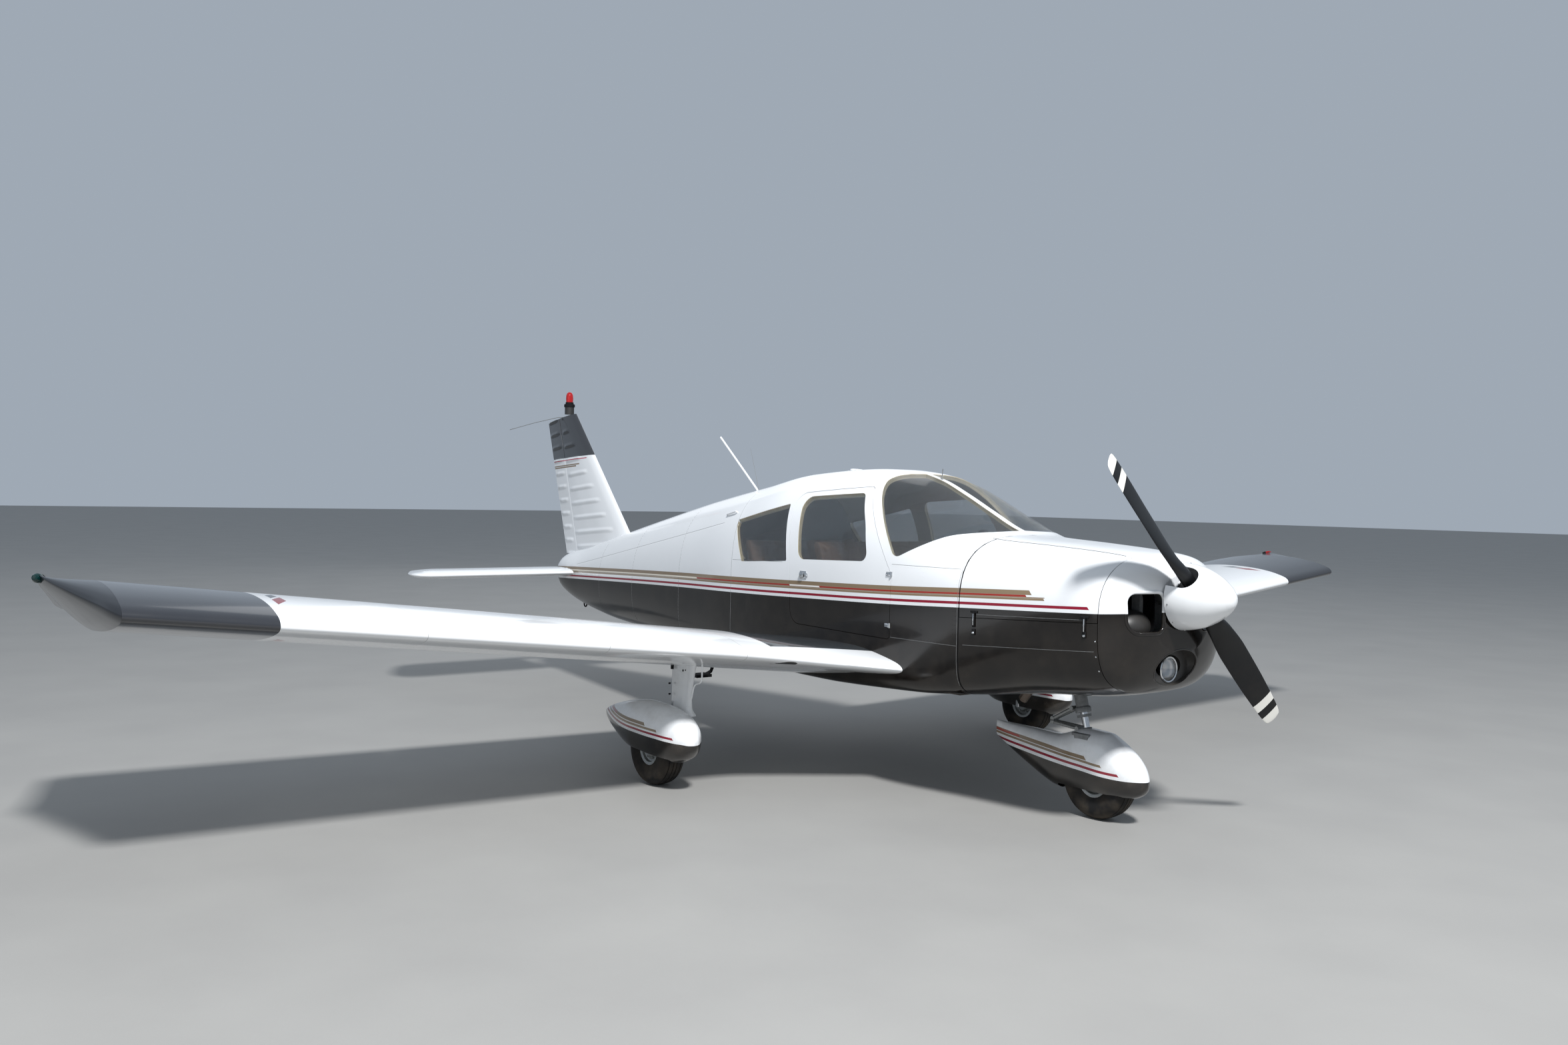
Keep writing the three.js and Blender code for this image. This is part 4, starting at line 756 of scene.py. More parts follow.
def block(near, far, bevel):
    """A rounded block between two corners given as station, breadth and height."""
    return brick((MID - near[0], *near[1:]), (MID - far[0], *far[1:]), bevel)


# Nose bowl. A moulded shell screwed to the front of the cowling, with two square air inlets beside the
# spinner, an oval recess for the landing lamp below it, and rolled lips.
BOWL_SEAM = 0.440
BOWL_WALL = 0.006
THRUST = 1.186
HUB_HOLE = 0.075
# Openings seen from ahead: the port inlet's corners with their radii; the lamp oval's middle and half sizes
INLET = [(0.140, 1.012, 0.045), (0.366, 1.012, 0.075), (0.366, 1.212, 0.055), (0.140, 1.212, 0.050)]
LAMP_OVAL = (0.0, 0.835, 0.160, 0.092)


def bowl(reach, angle, inset=0.0):
    """Point of the bowl: reach 0 to 1 goes out over its flat front from the hub hole, and 1 to 2 back along
    its curved side to the seam."""
    station = FRAMES[0, 0] + (BOWL_SEAM - SEAM_GAP - FRAMES[0, 0]) * np.clip(reach - 1, 0, 1) ** 1.4
    side = hull(station + 0 * angle, angle, inset)
    centre = np.array([0.0, 0.0, THRUST])
    middle = side * [1, 0, 0] + centre
    share = HUB_HOLE / np.linalg.norm((side - middle)[..., 1:], axis=-1)
    part = np.where(reach < 1, share + (1 - share) * reach, 1.0)[..., None]
    point = middle + (side - middle) * part
    point[..., 0] -= inset
    return point


turn = np.linspace(0, 2 * np.pi, 193)[:-1]
reach = np.concatenate([np.linspace(0, 1, 14), np.linspace(1, 2, 30)[1:]])
outer = bowl(*np.meshgrid(reach, turn, indexing="ij"))
inner = bowl(*np.meshgrid(reach, turn, indexing="ij"), BOWL_WALL)
shell = loft(np.concatenate([outer, inner[::-1], outer[:1]]), caps=False)
bowl_skin = piece("nose_bowl_skin", shell, "airframe", [hull_paint],
                  replaces=["nose_bowl"])


def prism(outline, low, high):
    """A cutter: a front-view outline of breadth and height, pushed along the hull between two places."""
    ring = np.column_stack([0 * outline[:, 0], outline])
    return loft(np.stack([ring + [low, 0, 0], ring + [high, 0, 0]]))


def cut_away(made, shapes):
    """Cuts solid shapes out of a piece for good."""
    for shape in shapes:
        cutter = piece("cutter", shape, "airframe", [])
        change = made.modifiers.new("cut", "BOOLEAN")
        change.operation, change.solver, change.object = "DIFFERENCE", "EXACT", cutter
        bpy.context.view_layer.objects.active = made
        bpy.ops.object.modifier_apply(modifier=change.name)
        bpy.data.objects.remove(cutter)
    made.data.set_sharp_from_angle(angle=np.radians(CREASE))


inlet_line = stepped(rounded(INLET), 0.01)
lamp_turn = np.linspace(0, 2 * np.pi, 73)[:-1]
lamp_y, lamp_z, lamp_wide, lamp_tall = LAMP_OVAL
lamp_line = np.column_stack([lamp_y + lamp_wide * np.cos(lamp_turn), lamp_z + lamp_tall * np.sin(lamp_turn)])
front = MID - 0.25
back = MID - 0.52
cut_away(bowl_skin, [
    prism(inlet_line, back, front), prism(inlet_line * [-1, 1], back, front), prism(lamp_line, back, front),
])


def on_bowl(line):
    """Front-view points of breadth and height set back on to the bowl, by halving the reach."""
    low, high = np.zeros(len(line)), np.full(len(line), 2.0)
    for _ in range(HALVINGS):
        reach = (low + high) / 2
        station = FRAMES[0, 0] + (BOWL_SEAM - SEAM_GAP - FRAMES[0, 0]) * np.clip(reach - 1, 0, 1) ** 1.4
        ray = line - [0.0, THRUST]
        size = np.linalg.norm(ray, axis=1)
        spot = hull_along(station, ray / size[:, None], THRUST)
        share = HUB_HOLE / spot
        radius = np.where(reach < 1, (share + (1 - share) * reach) * spot, spot)
        short = radius < size
        low, high = np.where(short, reach, low), np.where(short, high, reach)
    return np.column_stack([MID - station, line])


def hull_along(station, way, height):
    """Distance from the middle line at a height to the hull, along a way in the plane of the frame."""
    low, high = np.zeros(len(way)), np.full(len(way), 1.2)
    half, rise, drop, wide, upper, lower = frame_at(station)
    for _ in range(30):
        size = (low + high) / 2
        y, z = way[:, 0] * size, height + way[:, 1] * size - wide
        over = z >= 0
        power, tall = np.where(over, upper, lower), np.where(over, rise, drop)
        within = np.abs(y / half) ** power + np.abs(z / tall) ** power < 1
        low, high = np.where(within, size, low), np.where(within, high, size)
    return (low + high) / 2


def hoop(line, radius, guide, sides=12):
    """A round bar that follows a closed line; `guide` is a way that the line never runs along."""
    run = unit(np.roll(line, -1, 0) - np.roll(line, 1, 0))
    across = unit(np.cross(run, guide))
    rings = ringed(line, radius, across, np.cross(run, across), sides)
    return loft(np.concatenate([rings, rings[:1]]), caps=False)


LIP = 0.010
AHEAD = np.array([1.0, 0.0, 0.0])
SIGNS = (("left", 1), ("right", -1))
for side, sign in SIGNS:
    line = on_bowl(inlet_line * [sign, 1]) - [0.004, 0, 0]
    piece(f"inlet_lip_{side}", hoop(line, LIP, AHEAD), "airframe", hull_paint)
piece("lamp_recess_lip", hoop(on_bowl(lamp_line) - [0.003, 0, 0], 0.005, AHEAD), "airframe", hull_paint)

matte_black = speckled("matte_black", "08080a", "1a1b1d", 35.0, 6.0, bump=(0.25, 0.001), Roughness=0.8,
                       Specular_IOR_Level=0.2)

# Ducts behind the inlets, with the rounded baffle that stands in the lower half of each
DUCT_START, DUCT_DEPTH = 0.372, 0.115
DUCT_RINGS = ((0.0, 1.03), (0.05, 1.03), (DUCT_DEPTH, 0.94), (DUCT_DEPTH, 0.4), (DUCT_DEPTH, 0.0))
BAFFLE_STATION, BAFFLE_OFF, BAFFLE_HEIGHT = 0.470, 0.208, 1.032
BAFFLE_LONG, BAFFLE_WIDE, BAFFLE_TALL = 0.098, 0.122, 0.086
ducts, baffles = [], []
for side in (1, -1):
    line = inlet_line * [side, 1]
    middle = line.mean(0)
    rings = [
        np.column_stack([np.full(len(line), MID - DUCT_START - depth), middle + (line - middle) * scale])
        for depth, scale in DUCT_RINGS
    ]
    ducts.append(turned_over(loft(np.stack(rings), caps=False)))
    turn, tilt = np.meshgrid(np.linspace(0, 2 * np.pi, 41)[:-1], np.linspace(0, np.pi / 2, 14))
    across, up = np.cos(tilt) * np.cos(turn), np.cos(tilt) * np.sin(turn)
    baffles.append(loft(np.stack([
        MID - BAFFLE_STATION + BAFFLE_LONG * np.sin(tilt), side * BAFFLE_OFF + BAFFLE_WIDE * across,
        BAFFLE_HEIGHT + BAFFLE_TALL * up,
    ], -1)))
# Painted shade: the ducts are near black with almost no gloss and are closed by a wall at their back,
# standing for the shade deep inside the inlets
duct_shade_black = speckled("duct_shade_black", "030303", "0c0c0d", 20.0, 5.0, Roughness=0.95, Specular_IOR_Level=0.05)
piece("inlet_ducts", joined(*ducts), "airframe", duct_shade_black)
charcoal = enamel("charcoal_paint", lambda tree, place: tone("2c2b2a"), roughness=0.45, grime=0.3,
                  Coat_Weight=0.1)
piece("inlet_baffles", joined(*baffles), "airframe", charcoal)

# Landing lamp: a sealed round lamp in a pocket at the back of the oval recess
LAMP_HEIGHT = 0.820
lamp_face = MID - 0.388
recess = []
for depth, scale in ((0.0, 1.005), (0.03, 0.99), (0.052, 0.93), (0.056, 0.62), (0.090, 0.60), (0.090, 0.0)):
    centre = lamp_line.mean(0)
    ring = centre + (lamp_line - centre) * scale
    start = on_bowl(lamp_line)[:, 0] if depth < 0.02 else np.full(len(lamp_line), lamp_face + 0.056 - depth)
    recess.append(np.column_stack([start - 0.004 * (depth < 0.02), ring]))
piece("lamp_recess", turned_over(loft(np.stack(recess), caps=False)), "airframe", charcoal)

bright = speckled("polished_metal", "b9bbbd", "dfe1e3", 55.0, 7.0, rough=(0.25, 0.06), Metallic=1.0)

lamp_at = np.array([lamp_face, 0.0, LAMP_HEIGHT])
reflector = [(0.0, -0.028), (0.021, -0.026), (0.040, -0.018), (0.053, -0.004), (0.057, 0.004)]
# Painted reflection: the half-metal reflector's colour runs in wave bands from pale blue to white, for the
# light mirrored in its facets, which have no shape of their own
silvered, tree, shader = finish("silvered_glass", Metallic=0.5, Roughness=0.12)
reflection_bands = node(tree, "ShaderNodeTexWave", {"Vector": own_place(tree), "Scale": 26.0, "Distortion": 2.0})
toned(tree, shader, reflection_bands.outputs["Fac"], "c9d3dc", "ffffff")
piece("landing_lamp_reflector", lathe(reflector, lamp_at, (1, 0, 0)), "airframe", silvered)
ring = [(0.055, 0.001), (0.057, 0.008), (0.063, 0.010), (0.067, 0.006), (0.068, -0.004), (0.063, -0.006),
        (0.055, 0.001)]
piece("landing_lamp_ring", lathe(ring, lamp_at, (1, 0, 0)), "airframe", bright)
clear, tree, shader = finish("clear_glass", Transmission_Weight=1.0, IOR=1.5, Roughness=0.02)
rays = node(tree, "ShaderNodeTexWave", {"Vector": own_place(tree), "Scale": 60.0}, bands_direction="Z")
bumped(tree, shader, rays.outputs["Fac"], 0.25, 0.0005)
lens = [(0.0, 0.010), (0.021, 0.0095), (0.042, 0.007), (0.0555, 0.003), (0.0555, 0.0), (0.0, 0.004)]
piece("landing_lamp_lens", lathe(lens, lamp_at, (1, 0, 0)), "airframe", clear)


# Cowling. A fixed top strip and a fixed lower bowl of sheet, with two side doors that hang from piano hinges
# on the shoulders and close on the sill with over-centre latches.
COWL_FRONT, COWL_BACK = BOWL_SEAM + SEAM_GAP, 1.2797 - SEAM_GAP
HINGE_FRONT, HINGE_REAR = np.array([0.475, 0.233, 1.378]), np.array([1.305, 0.290, 1.433])
SILL_FRONT, SILL_REAR = 1.062, 1.020
COWL_SKIN = 0.003


def hinge_line(station):
    """Distance of the cowl hinges off the middle line at a station."""
    part = (station - HINGE_FRONT[0]) / (HINGE_REAR[0] - HINGE_FRONT[0])
    return HINGE_FRONT[1] + (HINGE_REAR[1] - HINGE_FRONT[1]) * part


def sill_line(station):
    """Height of the lower edge of the cowl doors at a station."""
    return SILL_FRONT + (SILL_REAR - SILL_FRONT) * (station - 0.4) / 0.9


run = np.arange(COWL_FRONT, COWL_BACK, 0.014)
run = np.append(run, COWL_BACK)
shoulder = angle_at_breadth(run, hinge_line(run) - SEAM_GAP)
strip = np.concatenate([np.column_stack([run, shoulder]), np.column_stack([run, np.pi - shoulder])[::-1]])
ends = stepped(strip * [1, GIRTH], 0.014)
shape, which = laid([ends], (0.02, 0.02), 0.0, COWL_SKIN)
piece("cowl_top_skin", shape, "airframe", [hull_paint, matte_black], which=which,
      replaces=["cowl_top"])
inside_run = np.linspace(COWL_FRONT + SEAM_GAP, COWL_BACK - SEAM_GAP, len(run))
for side, sign in SIGNS:
    upper = np.column_stack([inside_run, angle_at_breadth(inside_run, hinge_line(inside_run) + SEAM_GAP)])
    lower = np.column_stack([inside_run, angle_at_height(inside_run, sill_line(inside_run) + 2 * SEAM_GAP)])
    door = stepped(np.concatenate([lower, upper[::-1]]) * [1, GIRTH], 0.014)
    if sign < 0:
        door[:, 1] = GIRTH * np.pi - door[:, 1]
    shape, which = laid([door], (0.02, 0.02), 0.0, COWL_SKIN)
    piece(f"cowl_door_{side}_skin", shape, f"cowl_door_{side}", [hull_paint, matte_black],
          which=which, replaces=[f"cowl_door_{side}"])
lower = np.column_stack([run, angle_at_height(run, sill_line(run))])
flipped = np.column_stack([run, np.pi - lower[:, 1]])
tub = np.concatenate([lower, flipped[::-1] - [0, 2 * np.pi]])
EXIT_FRONT, EXIT_HALF = 1.12, 0.19
tub_line = stepped(tub * [1, GIRTH], 0.014)
well_turn = np.linspace(0, 2 * np.pi, 37)[:-1]
strut_hole = np.column_stack([0.921 + 0.05 * np.cos(well_turn),
                              GIRTH * (-np.pi / 2 + 0.12 * np.sin(well_turn))])
shape, which = laid([tub_line, strut_hole], (0.02, 0.02), 0.0, COWL_SKIN)
lower_cowl = piece("cowl_lower_skin", shape, "airframe", [hull_paint, matte_black], which=which,
                   replaces=["cowl_lower"])
cut_away(lower_cowl, [block((1.4, -EXIT_HALF, 0.5), (EXIT_FRONT, EXIT_HALF, 0.7), 0.03)])


# Propeller and spinner. A forged two-blade propeller in matt black, its tips banded in white, turned by the
# engine's shaft; a spun white spinner with blade openings is screwed to a plate behind it.
PROPELLER_STATION, BLADE_ANGLE = 0.232, 2.3646
# Blade stations: radius, breadth, thickness, pitch in degrees
BLADE = np.array([
    (0.060, 0.078, 0.088, 50), (0.150, 0.086, 0.084, 42), (0.260, 0.112, 0.056, 34),
    (0.420, 0.138, 0.026, 28), (0.620, 0.134, 0.012, 25), (0.800, 0.120, 0.009, 21),
    (0.880, 0.109, 0.0075, 19.5), (0.915, 0.098, 0.0065, 19), (0.932, 0.082, 0.0055, 19),
    (0.939, 0.045, 0.004, 19),
])
BLADE_SHIFT = 0.014
BLADE_BANDS = (0.782, 0.834, 0.883)  # radii of a band's two edges and of where the white tip begins
# The blade's section: part of the breadth behind the middle, and height in halves of the thickness
blade_turn = np.arange(40) * 2 * np.pi / 40
flatter_below = np.where(np.sin(blade_turn) > 0, 1.0, 0.55)
BLADE_FORM = np.column_stack([np.cos(blade_turn), np.sin(blade_turn) * flatter_below])
spinner_axis = np.array([MID, 0.0, THRUST])


def blade(sense):
    """A blade: its sections stand along a radius, each turned by its pitch."""
    at = np.concatenate([np.linspace(0.06, 0.9, 60), np.linspace(0.905, 0.939, 12)])
    breadth, thick, pitch = columns(BLADE, at)
    pitch = np.radians(pitch)
    chord, depth = breadth / 2 * BLADE_FORM[:, 0], thick / 2 * BLADE_FORM[:, 1]
    across = chord * np.cos(pitch) - depth * np.sin(pitch)
    axial = chord * np.sin(pitch) + depth * np.cos(pitch)
    c, s = sense * np.cos(BLADE_ANGLE), sense * np.sin(BLADE_ANGLE)
    at = at[:, None]
    across = across + BLADE_SHIFT * np.clip((at - 0.06) / 0.2, 0, 1)
    return loft(np.stack([
        MID - PROPELLER_STATION + axial, at * c - across * s, THRUST + at * s + across * c,
    ], -1))


def radius_off(tree, place, axis_place):
    """Distance from the fore-and-aft line through a point, as a socket."""
    x, y, z = split(tree, place)
    up = maths(tree, "SUBTRACT", z, axis_place[2])
    return maths(tree, "SQRT",
                 maths(tree, "ADD", maths(tree, "POWER", y, 2.0), maths(tree, "POWER", up, 2.0)))


def blade_colour(tree, place):
    """Black, with a white band near the tip and a white tip."""
    radius = radius_off(tree, place, spinner_axis)
    low, high, tip = BLADE_BANDS
    bands = maths(tree, "ADD", between(tree, radius, low, high), rising(tree, radius, tip, 0.001))
    return mixed(tree, bands, tone("0f1012"), tone("dedcd5"))


blade_paint = enamel("blade_paint", blade_colour, waves=0.0, grime=0.12, roughness=0.42, Coat_Weight=0.0,
                     Specular_IOR_Level=0.3)
HUB_FORM = [(0.0, 0.165), (0.07, 0.165), (0.082, 0.172), (0.082, 0.302), (0.0, 0.302)]
hub = lathe(HUB_FORM, spinner_axis, (-1, 0, 0))
piece("propeller_blades", joined(blade(1), blade(-1), hub), "propeller_disc", blade_paint,
      replaces=["propeller"])

# Spinner: station and radius
SPINNER = np.array([(0.021, 0.0), (0.0225, 0.012), (0.027, 0.028), (0.045, 0.053), (0.068, 0.075),
                    (0.130, 0.117), (0.200, 0.147), (0.262, 0.161), (0.300, 0.1655)])
station = np.concatenate([np.linspace(0.021, 0.05, 14), np.linspace(0.056, 0.3, 30)])
radius = faired(SPINNER, station)[:, 0]
outer = np.column_stack([radius, station])
inner = np.column_stack([np.maximum(radius - 0.004, 0.0), station + 0.004])
back = [(0.1615, 0.296), (0.0845, 0.296), (0.0845, 0.292), (0.157, 0.292)]
spinner = piece("spinner_shell",
                lathe(np.concatenate([outer, back, inner[:-1][::-1]]), spinner_axis, (-1, 0, 0), 96),
                "propeller_disc", plain_white, replaces=["spinner"])
slot_turn = np.linspace(-np.pi / 2, np.pi / 2, 30)
slot_line = np.column_stack([0.066 * np.cos(slot_turn) - PROPELLER_STATION, 0.066 * np.sin(slot_turn)])
slot_line = np.concatenate([slot_line, [(-0.32, 0.066), (-0.32, -0.066)]])
openings = []
for sense in (1, -1):
    way = sense * np.array([0.0, np.cos(BLADE_ANGLE), np.sin(BLADE_ANGLE)])
    ring = spinner_axis + slot_line[:, :1] * AHEAD + slot_line[:, 1:] * np.cross(way, AHEAD)
    openings.append(loft(np.stack([ring + 0.09 * way, ring + 0.24 * way])))
cut_away(spinner, openings)


# Wings. Untapered outboard panels with a drawn-forward root, set nose up with two degrees of washout; the
# flap and the aileron hang in a cove along the rear, each turning about a line low in its rounded nose.
WING_EDGE, WING_CHORD, WING_FOOT, WING_RISE = 2.066, 1.600, 0.6335, 0.1094
WING_END, INCIDENCE, WASHOUT = 4.363, 5.4, 2.0
HINGE_PART, HINGE_LIFT, NOSE, COVE = 0.8125, 0.024, 0.037, 0.045
# Section: part of the chord, heights above and below in chords
AIRFOIL = np.array([
    (0, 0, 0), (0.0125, 0.0195, -0.0130), (0.05, 0.0367, -0.0227), (0.1, 0.0527, -0.0309),
    (0.2, 0.0730, -0.0408), (0.3, 0.0849, -0.0459), (0.4, 0.0900, -0.0472), (0.5, 0.0876, -0.0435),
    (0.65, 0.0702, -0.0288), (0.8, 0.0422, -0.0102), (0.9, 0.0209, -0.0001), (1, 0.0012, -0.0012),
])
AIRFOIL_ROOTED = np.column_stack([np.sqrt(AIRFOIL[:, 0]), AIRFOIL[:, 1:]])
# Leading edge: distance off the middle line, station
GLOVE = np.array([(0.48, 1.656), (0.56, 1.680), (0.75, 1.780), (1.05, 1.942), (1.29, 2.050), (1.40, 2.066)])
FLAP_SPAN, AILERON_SPAN = (0.640, 2.610), (2.622, 4.300)
CONTROL_GAP, BEAD_HEIGHT, RING_STEP = 0.006, 0.0045, 0.009
FORWARD, ROUND, AFT = 30, 14, 12


def wing_lean(across):
    """Fall of the chord line for each metre aft."""
    return np.tan(np.radians(INCIDENCE - WASHOUT * across / WING_END))


def wing_side(across, part, side):
    """Station and height of the wing at parts of its chord, on its upper (0) or lower (1) surface. The root's
    leading edge is drawn forward over the first 0.4 of the chord by a part (1 - part / 0.4)^1.5."""
    edge = np.where(across < 1.4, faired(GLOVE, across)[..., 0], WING_EDGE)
    pull = np.clip(1 - part / 0.4, 0, None) ** 1.5
    station = WING_EDGE + part * WING_CHORD + (edge - WING_EDGE) * pull
    fall = wing_lean(across) * np.clip(station - WING_EDGE, 0, None)
    off = faired(AIRFOIL_ROOTED, np.sqrt(part))[..., side]
    return np.stack([station, WING_FOOT + WING_RISE * across - fall + off * WING_CHORD], -1)


def hinged(surface, rows, hinge, hinge_part, nose, cove):
    """The two parts of a section hinged at a point, for many rows at once: the fixed part ahead with a round
    cove about the hinge, the same part uncut, and the moving part behind with a round nose."""
    low, high = np.full((rows, 2), 0.5 * hinge_part), np.full((rows, 2), hinge_part)
    for _ in range(HALVINGS):
        middle = (low + high) / 2
        points = np.stack([surface(middle[:, i:i + 1], i)[:, 0] for i in (0, 1)], 1)
        outside_cove = np.linalg.norm(points - hinge[:, None], axis=-1) > cove
        low, high = np.where(outside_cove, middle, low), np.where(outside_cove, high, middle)
    ease = 1 - np.cos(np.linspace(0, np.pi / 2, FORWARD))
    fore = [surface(low[:, i:i + 1] * ease, i) for i in (0, 1)]
    ends = [np.arctan2(*(f[:, -1] - hinge).T[::-1]) for f in fore]
    # Chordwise distance grows aft, so the cove runs from the upper end over the forward side, at pi, down
    start, stop = ends[0], ends[1] + 2 * np.pi * (ends[1] < 0)
    sweep = start[:, None] + (stop - start)[:, None] * np.linspace(0, 1, ROUND)
    hollow = hinge[:, None] + cove * np.stack([np.cos(sweep), np.sin(sweep)], -1)
    share = np.linspace(0, 1, ROUND // 2 + 1)[1:]
    rear = [surface(low[:, i:i + 1] + (1 - low[:, i:i + 1]) * share, i) for i in (0, 1)]
    whole_aft = [fore[0][:, -1:], rear[0][:, :-1], rear[1][:, ::-1][:, 1:], fore[1][:, -1:]]
    whole_aft = np.concatenate(whole_aft, 1)
    whole_aft = whole_aft[:, np.linspace(0, whole_aft.shape[1] - 1, ROUND).round().astype(int)]
    fixed, uncut = (
        np.concatenate([fore[0][:, :-1], aft, fore[1][:, ::-1][:, 1:-1]], 1) for aft in (hollow, whole_aft)
    )
    behind = hinge_part + (1 - hinge_part) * np.linspace(1, 0, AFT)
    flank = [surface(np.broadcast_to(behind, (rows, AFT)), i) for i in (0, 1)]
    sweep = np.linspace(np.pi / 2, 1.5 * np.pi, ROUND)
    bulb = hinge[:, None] + nose * np.stack([np.cos(sweep), np.sin(sweep)], -1)[None]
    limit = [surface(hinge_part + 0 * bulb[:, :1, 0], i)[..., 1] for i in (0, 1)]
    bulb[..., 1] = np.clip(bulb[..., 1], limit[1], limit[0])
    moving = np.concatenate([flank[0], bulb, flank[1][:, ::-1]], 1)
    return fixed, uncut, moving


def wing_rings(across):
    """Fixed, uncut and moving rings of the wing at distances off the middle line."""
    across = np.asarray(across, float)
    hinge_station = WING_EDGE + HINGE_PART * WING_CHORD
    fall = wing_lean(across) * (hinge_station - WING_EDGE)
    hinge = np.stack([
        np.full(len(across), hinge_station), WING_FOOT + WING_RISE * across - fall + HINGE_LIFT,
    ], -1)
    return hinged(lambda part, side: wing_side(across[:, None], part, side), len(across), hinge, HINGE_PART,
                  NOSE, COVE)


def out_and_back(there, back):
    """Rows that run along `there` and return along `back`, without its two ends."""
    return np.concatenate([there, back[:, ::-1][:, 1:-1]], 1)


def out_along(across, rings):
    """Rings of station and height as points, each at its own distance off the middle line."""
    y = np.broadcast_to(np.asarray(across)[:, None], rings.shape[:2])
    return np.stack([MID - rings[..., 0], y, rings[..., 1]], -1)


def beaded(across, rings, spacing, height):
    """Rings of a control surface with ridges pressed along the chord, one every `spacing` of the span."""
    wave = np.cos(2 * np.pi * (np.asarray(across) - across[0]) / spacing)
    ridge = np.clip((wave - 0.72) / 0.28, 0, 1) * height
    along = rings[..., 0]
    part = (along - along.min(1, keepdims=True)) / np.ptp(along, axis=1)[:, None]
    window = np.clip((part - 0.30) / 0.08, 0, 1) * np.clip((0.93 - part) / 0.08, 0, 1)
    half = np.where(np.arange(rings.shape[1]) < rings.shape[1] / 2, 1.0, -1.0)
    swollen = rings.copy()
    swollen[..., 1] += ridge[:, None] * window * half
    return swollen


# Walkway: its side edges off the middle line, the station where its front edge meets that line, the slope of
# that edge, and its rear end
WALKWAY = (0.50, 1.175, 1.7935, 0.254, 3.36)
GREY_TIP = 3.758
# Short strokes of the trim beside the tip: nearest and farthest off the middle line, station and colour
STROKES = [(3.650, 3.712, 2.37, 2.48, "8c1c20"), (3.655, 3.705, 2.50, 2.60, "2b2d30")]
# Cabin air inlet, shown only as painted shade: its middle off the middle line and its height, then its half
# breadth and full height
AIR_INLET = (1.115, 0.733, 0.042, 0.020)
WING_SEAMS = (1.350, 2.180, 3.114)
UPPER_SIDE = 0.72  # height above which the walkway and the strokes show


def wing_colour(tree, place):
    """White, dark grey walkway by the door, and pewter outboard of a seam, with hair lines at the laps, two
    short strokes by the pewter, and a near-black half oval on the drawn-forward root: painted shade that
    stands for the inside of the cabin's air inlet, which has no hollow."""
    station, y, z = placed(tree, place)
    off = maths(tree, "ABSOLUTE", y)
    inner, outer, fore, slant, rear = WALKWAY
    swept = maths(tree, "MULTIPLY_ADD", off, -slant, station)
    span = between(tree, maths(tree, "MULTIPLY", y, -1.0), inner, outer, 0.002)
    ends = maths(tree, "MULTIPLY", rising(tree, swept, fore, 0.002), rising(tree, rear, station, 0.002))
    walk = maths(tree, "MULTIPLY", span, ends)
    crown = rising(tree, z, UPPER_SIDE, 0.002)
    colour = mixed(tree, maths(tree, "MULTIPLY", walk, crown), WHITE_PAINT, tone("34383b"))
    line = 0.0
    for seam in WING_SEAMS:
        line = maths(tree, "ADD", line, between(tree, off, seam - 0.001, seam + 0.001, 0.0004))
    colour = mixed(tree, maths(tree, "MULTIPLY", line, 0.75), colour, tone("2b2b2b"))
    for near, far, start, end, code in STROKES:
        slanted = maths(tree, "MULTIPLY_ADD", off, 1.6, station)
        stroke = maths(tree, "MULTIPLY", between(tree, off, near, far, 0.002),
                       between(tree, slanted, start + 1.6 * near, end + 1.6 * near, 0.002))
        colour = mixed(tree, maths(tree, "MULTIPLY", stroke, crown), colour, tone(code))
    # Painted shade: the inlet's mouth is a near-black half oval in the paint, for the dark inside of an
    # opening that has no hollow
    middle, height, wide, tall = AIR_INLET
    across = maths(tree, "DIVIDE", maths(tree, "SUBTRACT", off, middle), wide)
    up = maths(tree, "DIVIDE", maths(tree, "SUBTRACT", z, height - tall / 2), tall)
    ring = maths(tree, "ADD", maths(tree, "POWER", across, 2.0), maths(tree, "POWER", up, 2.0))
    inlet_shade = maths(tree, "MULTIPLY", rising(tree, 1.0, ring, 0.02), rising(tree, up, 0.0, 0.02))
    inlet_shade = maths(tree, "MULTIPLY", inlet_shade, rising(tree, 2.12, station, 0.002))
    colour = mixed(tree, inlet_shade, colour, tone("0b0b0c"))
    return mixed(tree, rising(tree, off, GREY_TIP, 0.001), colour, tone("2c2e33"))


wing_paint = enamel("wing_paint", wing_colour, waves=0.0016, grime=0.12)
cove_span = (FLAP_SPAN[0] - CONTROL_GAP, AILERON_SPAN[1] + CONTROL_GAP)
root = np.linspace(0.52, cove_span[0], 5)
middle = np.concatenate([np.linspace(cove_span[0], 1.42, 24), np.linspace(1.46, cove_span[1], 60)])
end = np.linspace(cove_span[1], WING_END, 3)
fixed = {name: wing_rings(span) for name, span in (("root", root), ("middle", middle), ("end", end))}
wing = loft(np.concatenate([
    out_along(root, fixed["root"][1]), out_along(middle, fixed["middle"][0]), out_along(end, fixed["end"][1]),
]))
controls = {}
for name, (inner, outer), spacing in (("flap", FLAP_SPAN, 0.1515), ("aileron", AILERON_SPAN, 0.1525)):
    span = np.linspace(inner, outer, int((outer - inner) / RING_STEP))
    controls[name] = loft(out_along(span, beaded(span, wing_rings(span)[2], spacing, BEAD_HEIGHT)))
for side, way in SIDES:
    piece(f"wing_{side}_skin", way(wing), "airframe", wing_paint,
          replaces=[f"wing_{side}"])
    for name, shape in controls.items():
        piece(f"{name}_{side}_skin", way(shape), f"{name}_{side}", wing_paint,
              replaces=[f"{name}_{side}"], crease=60.0)

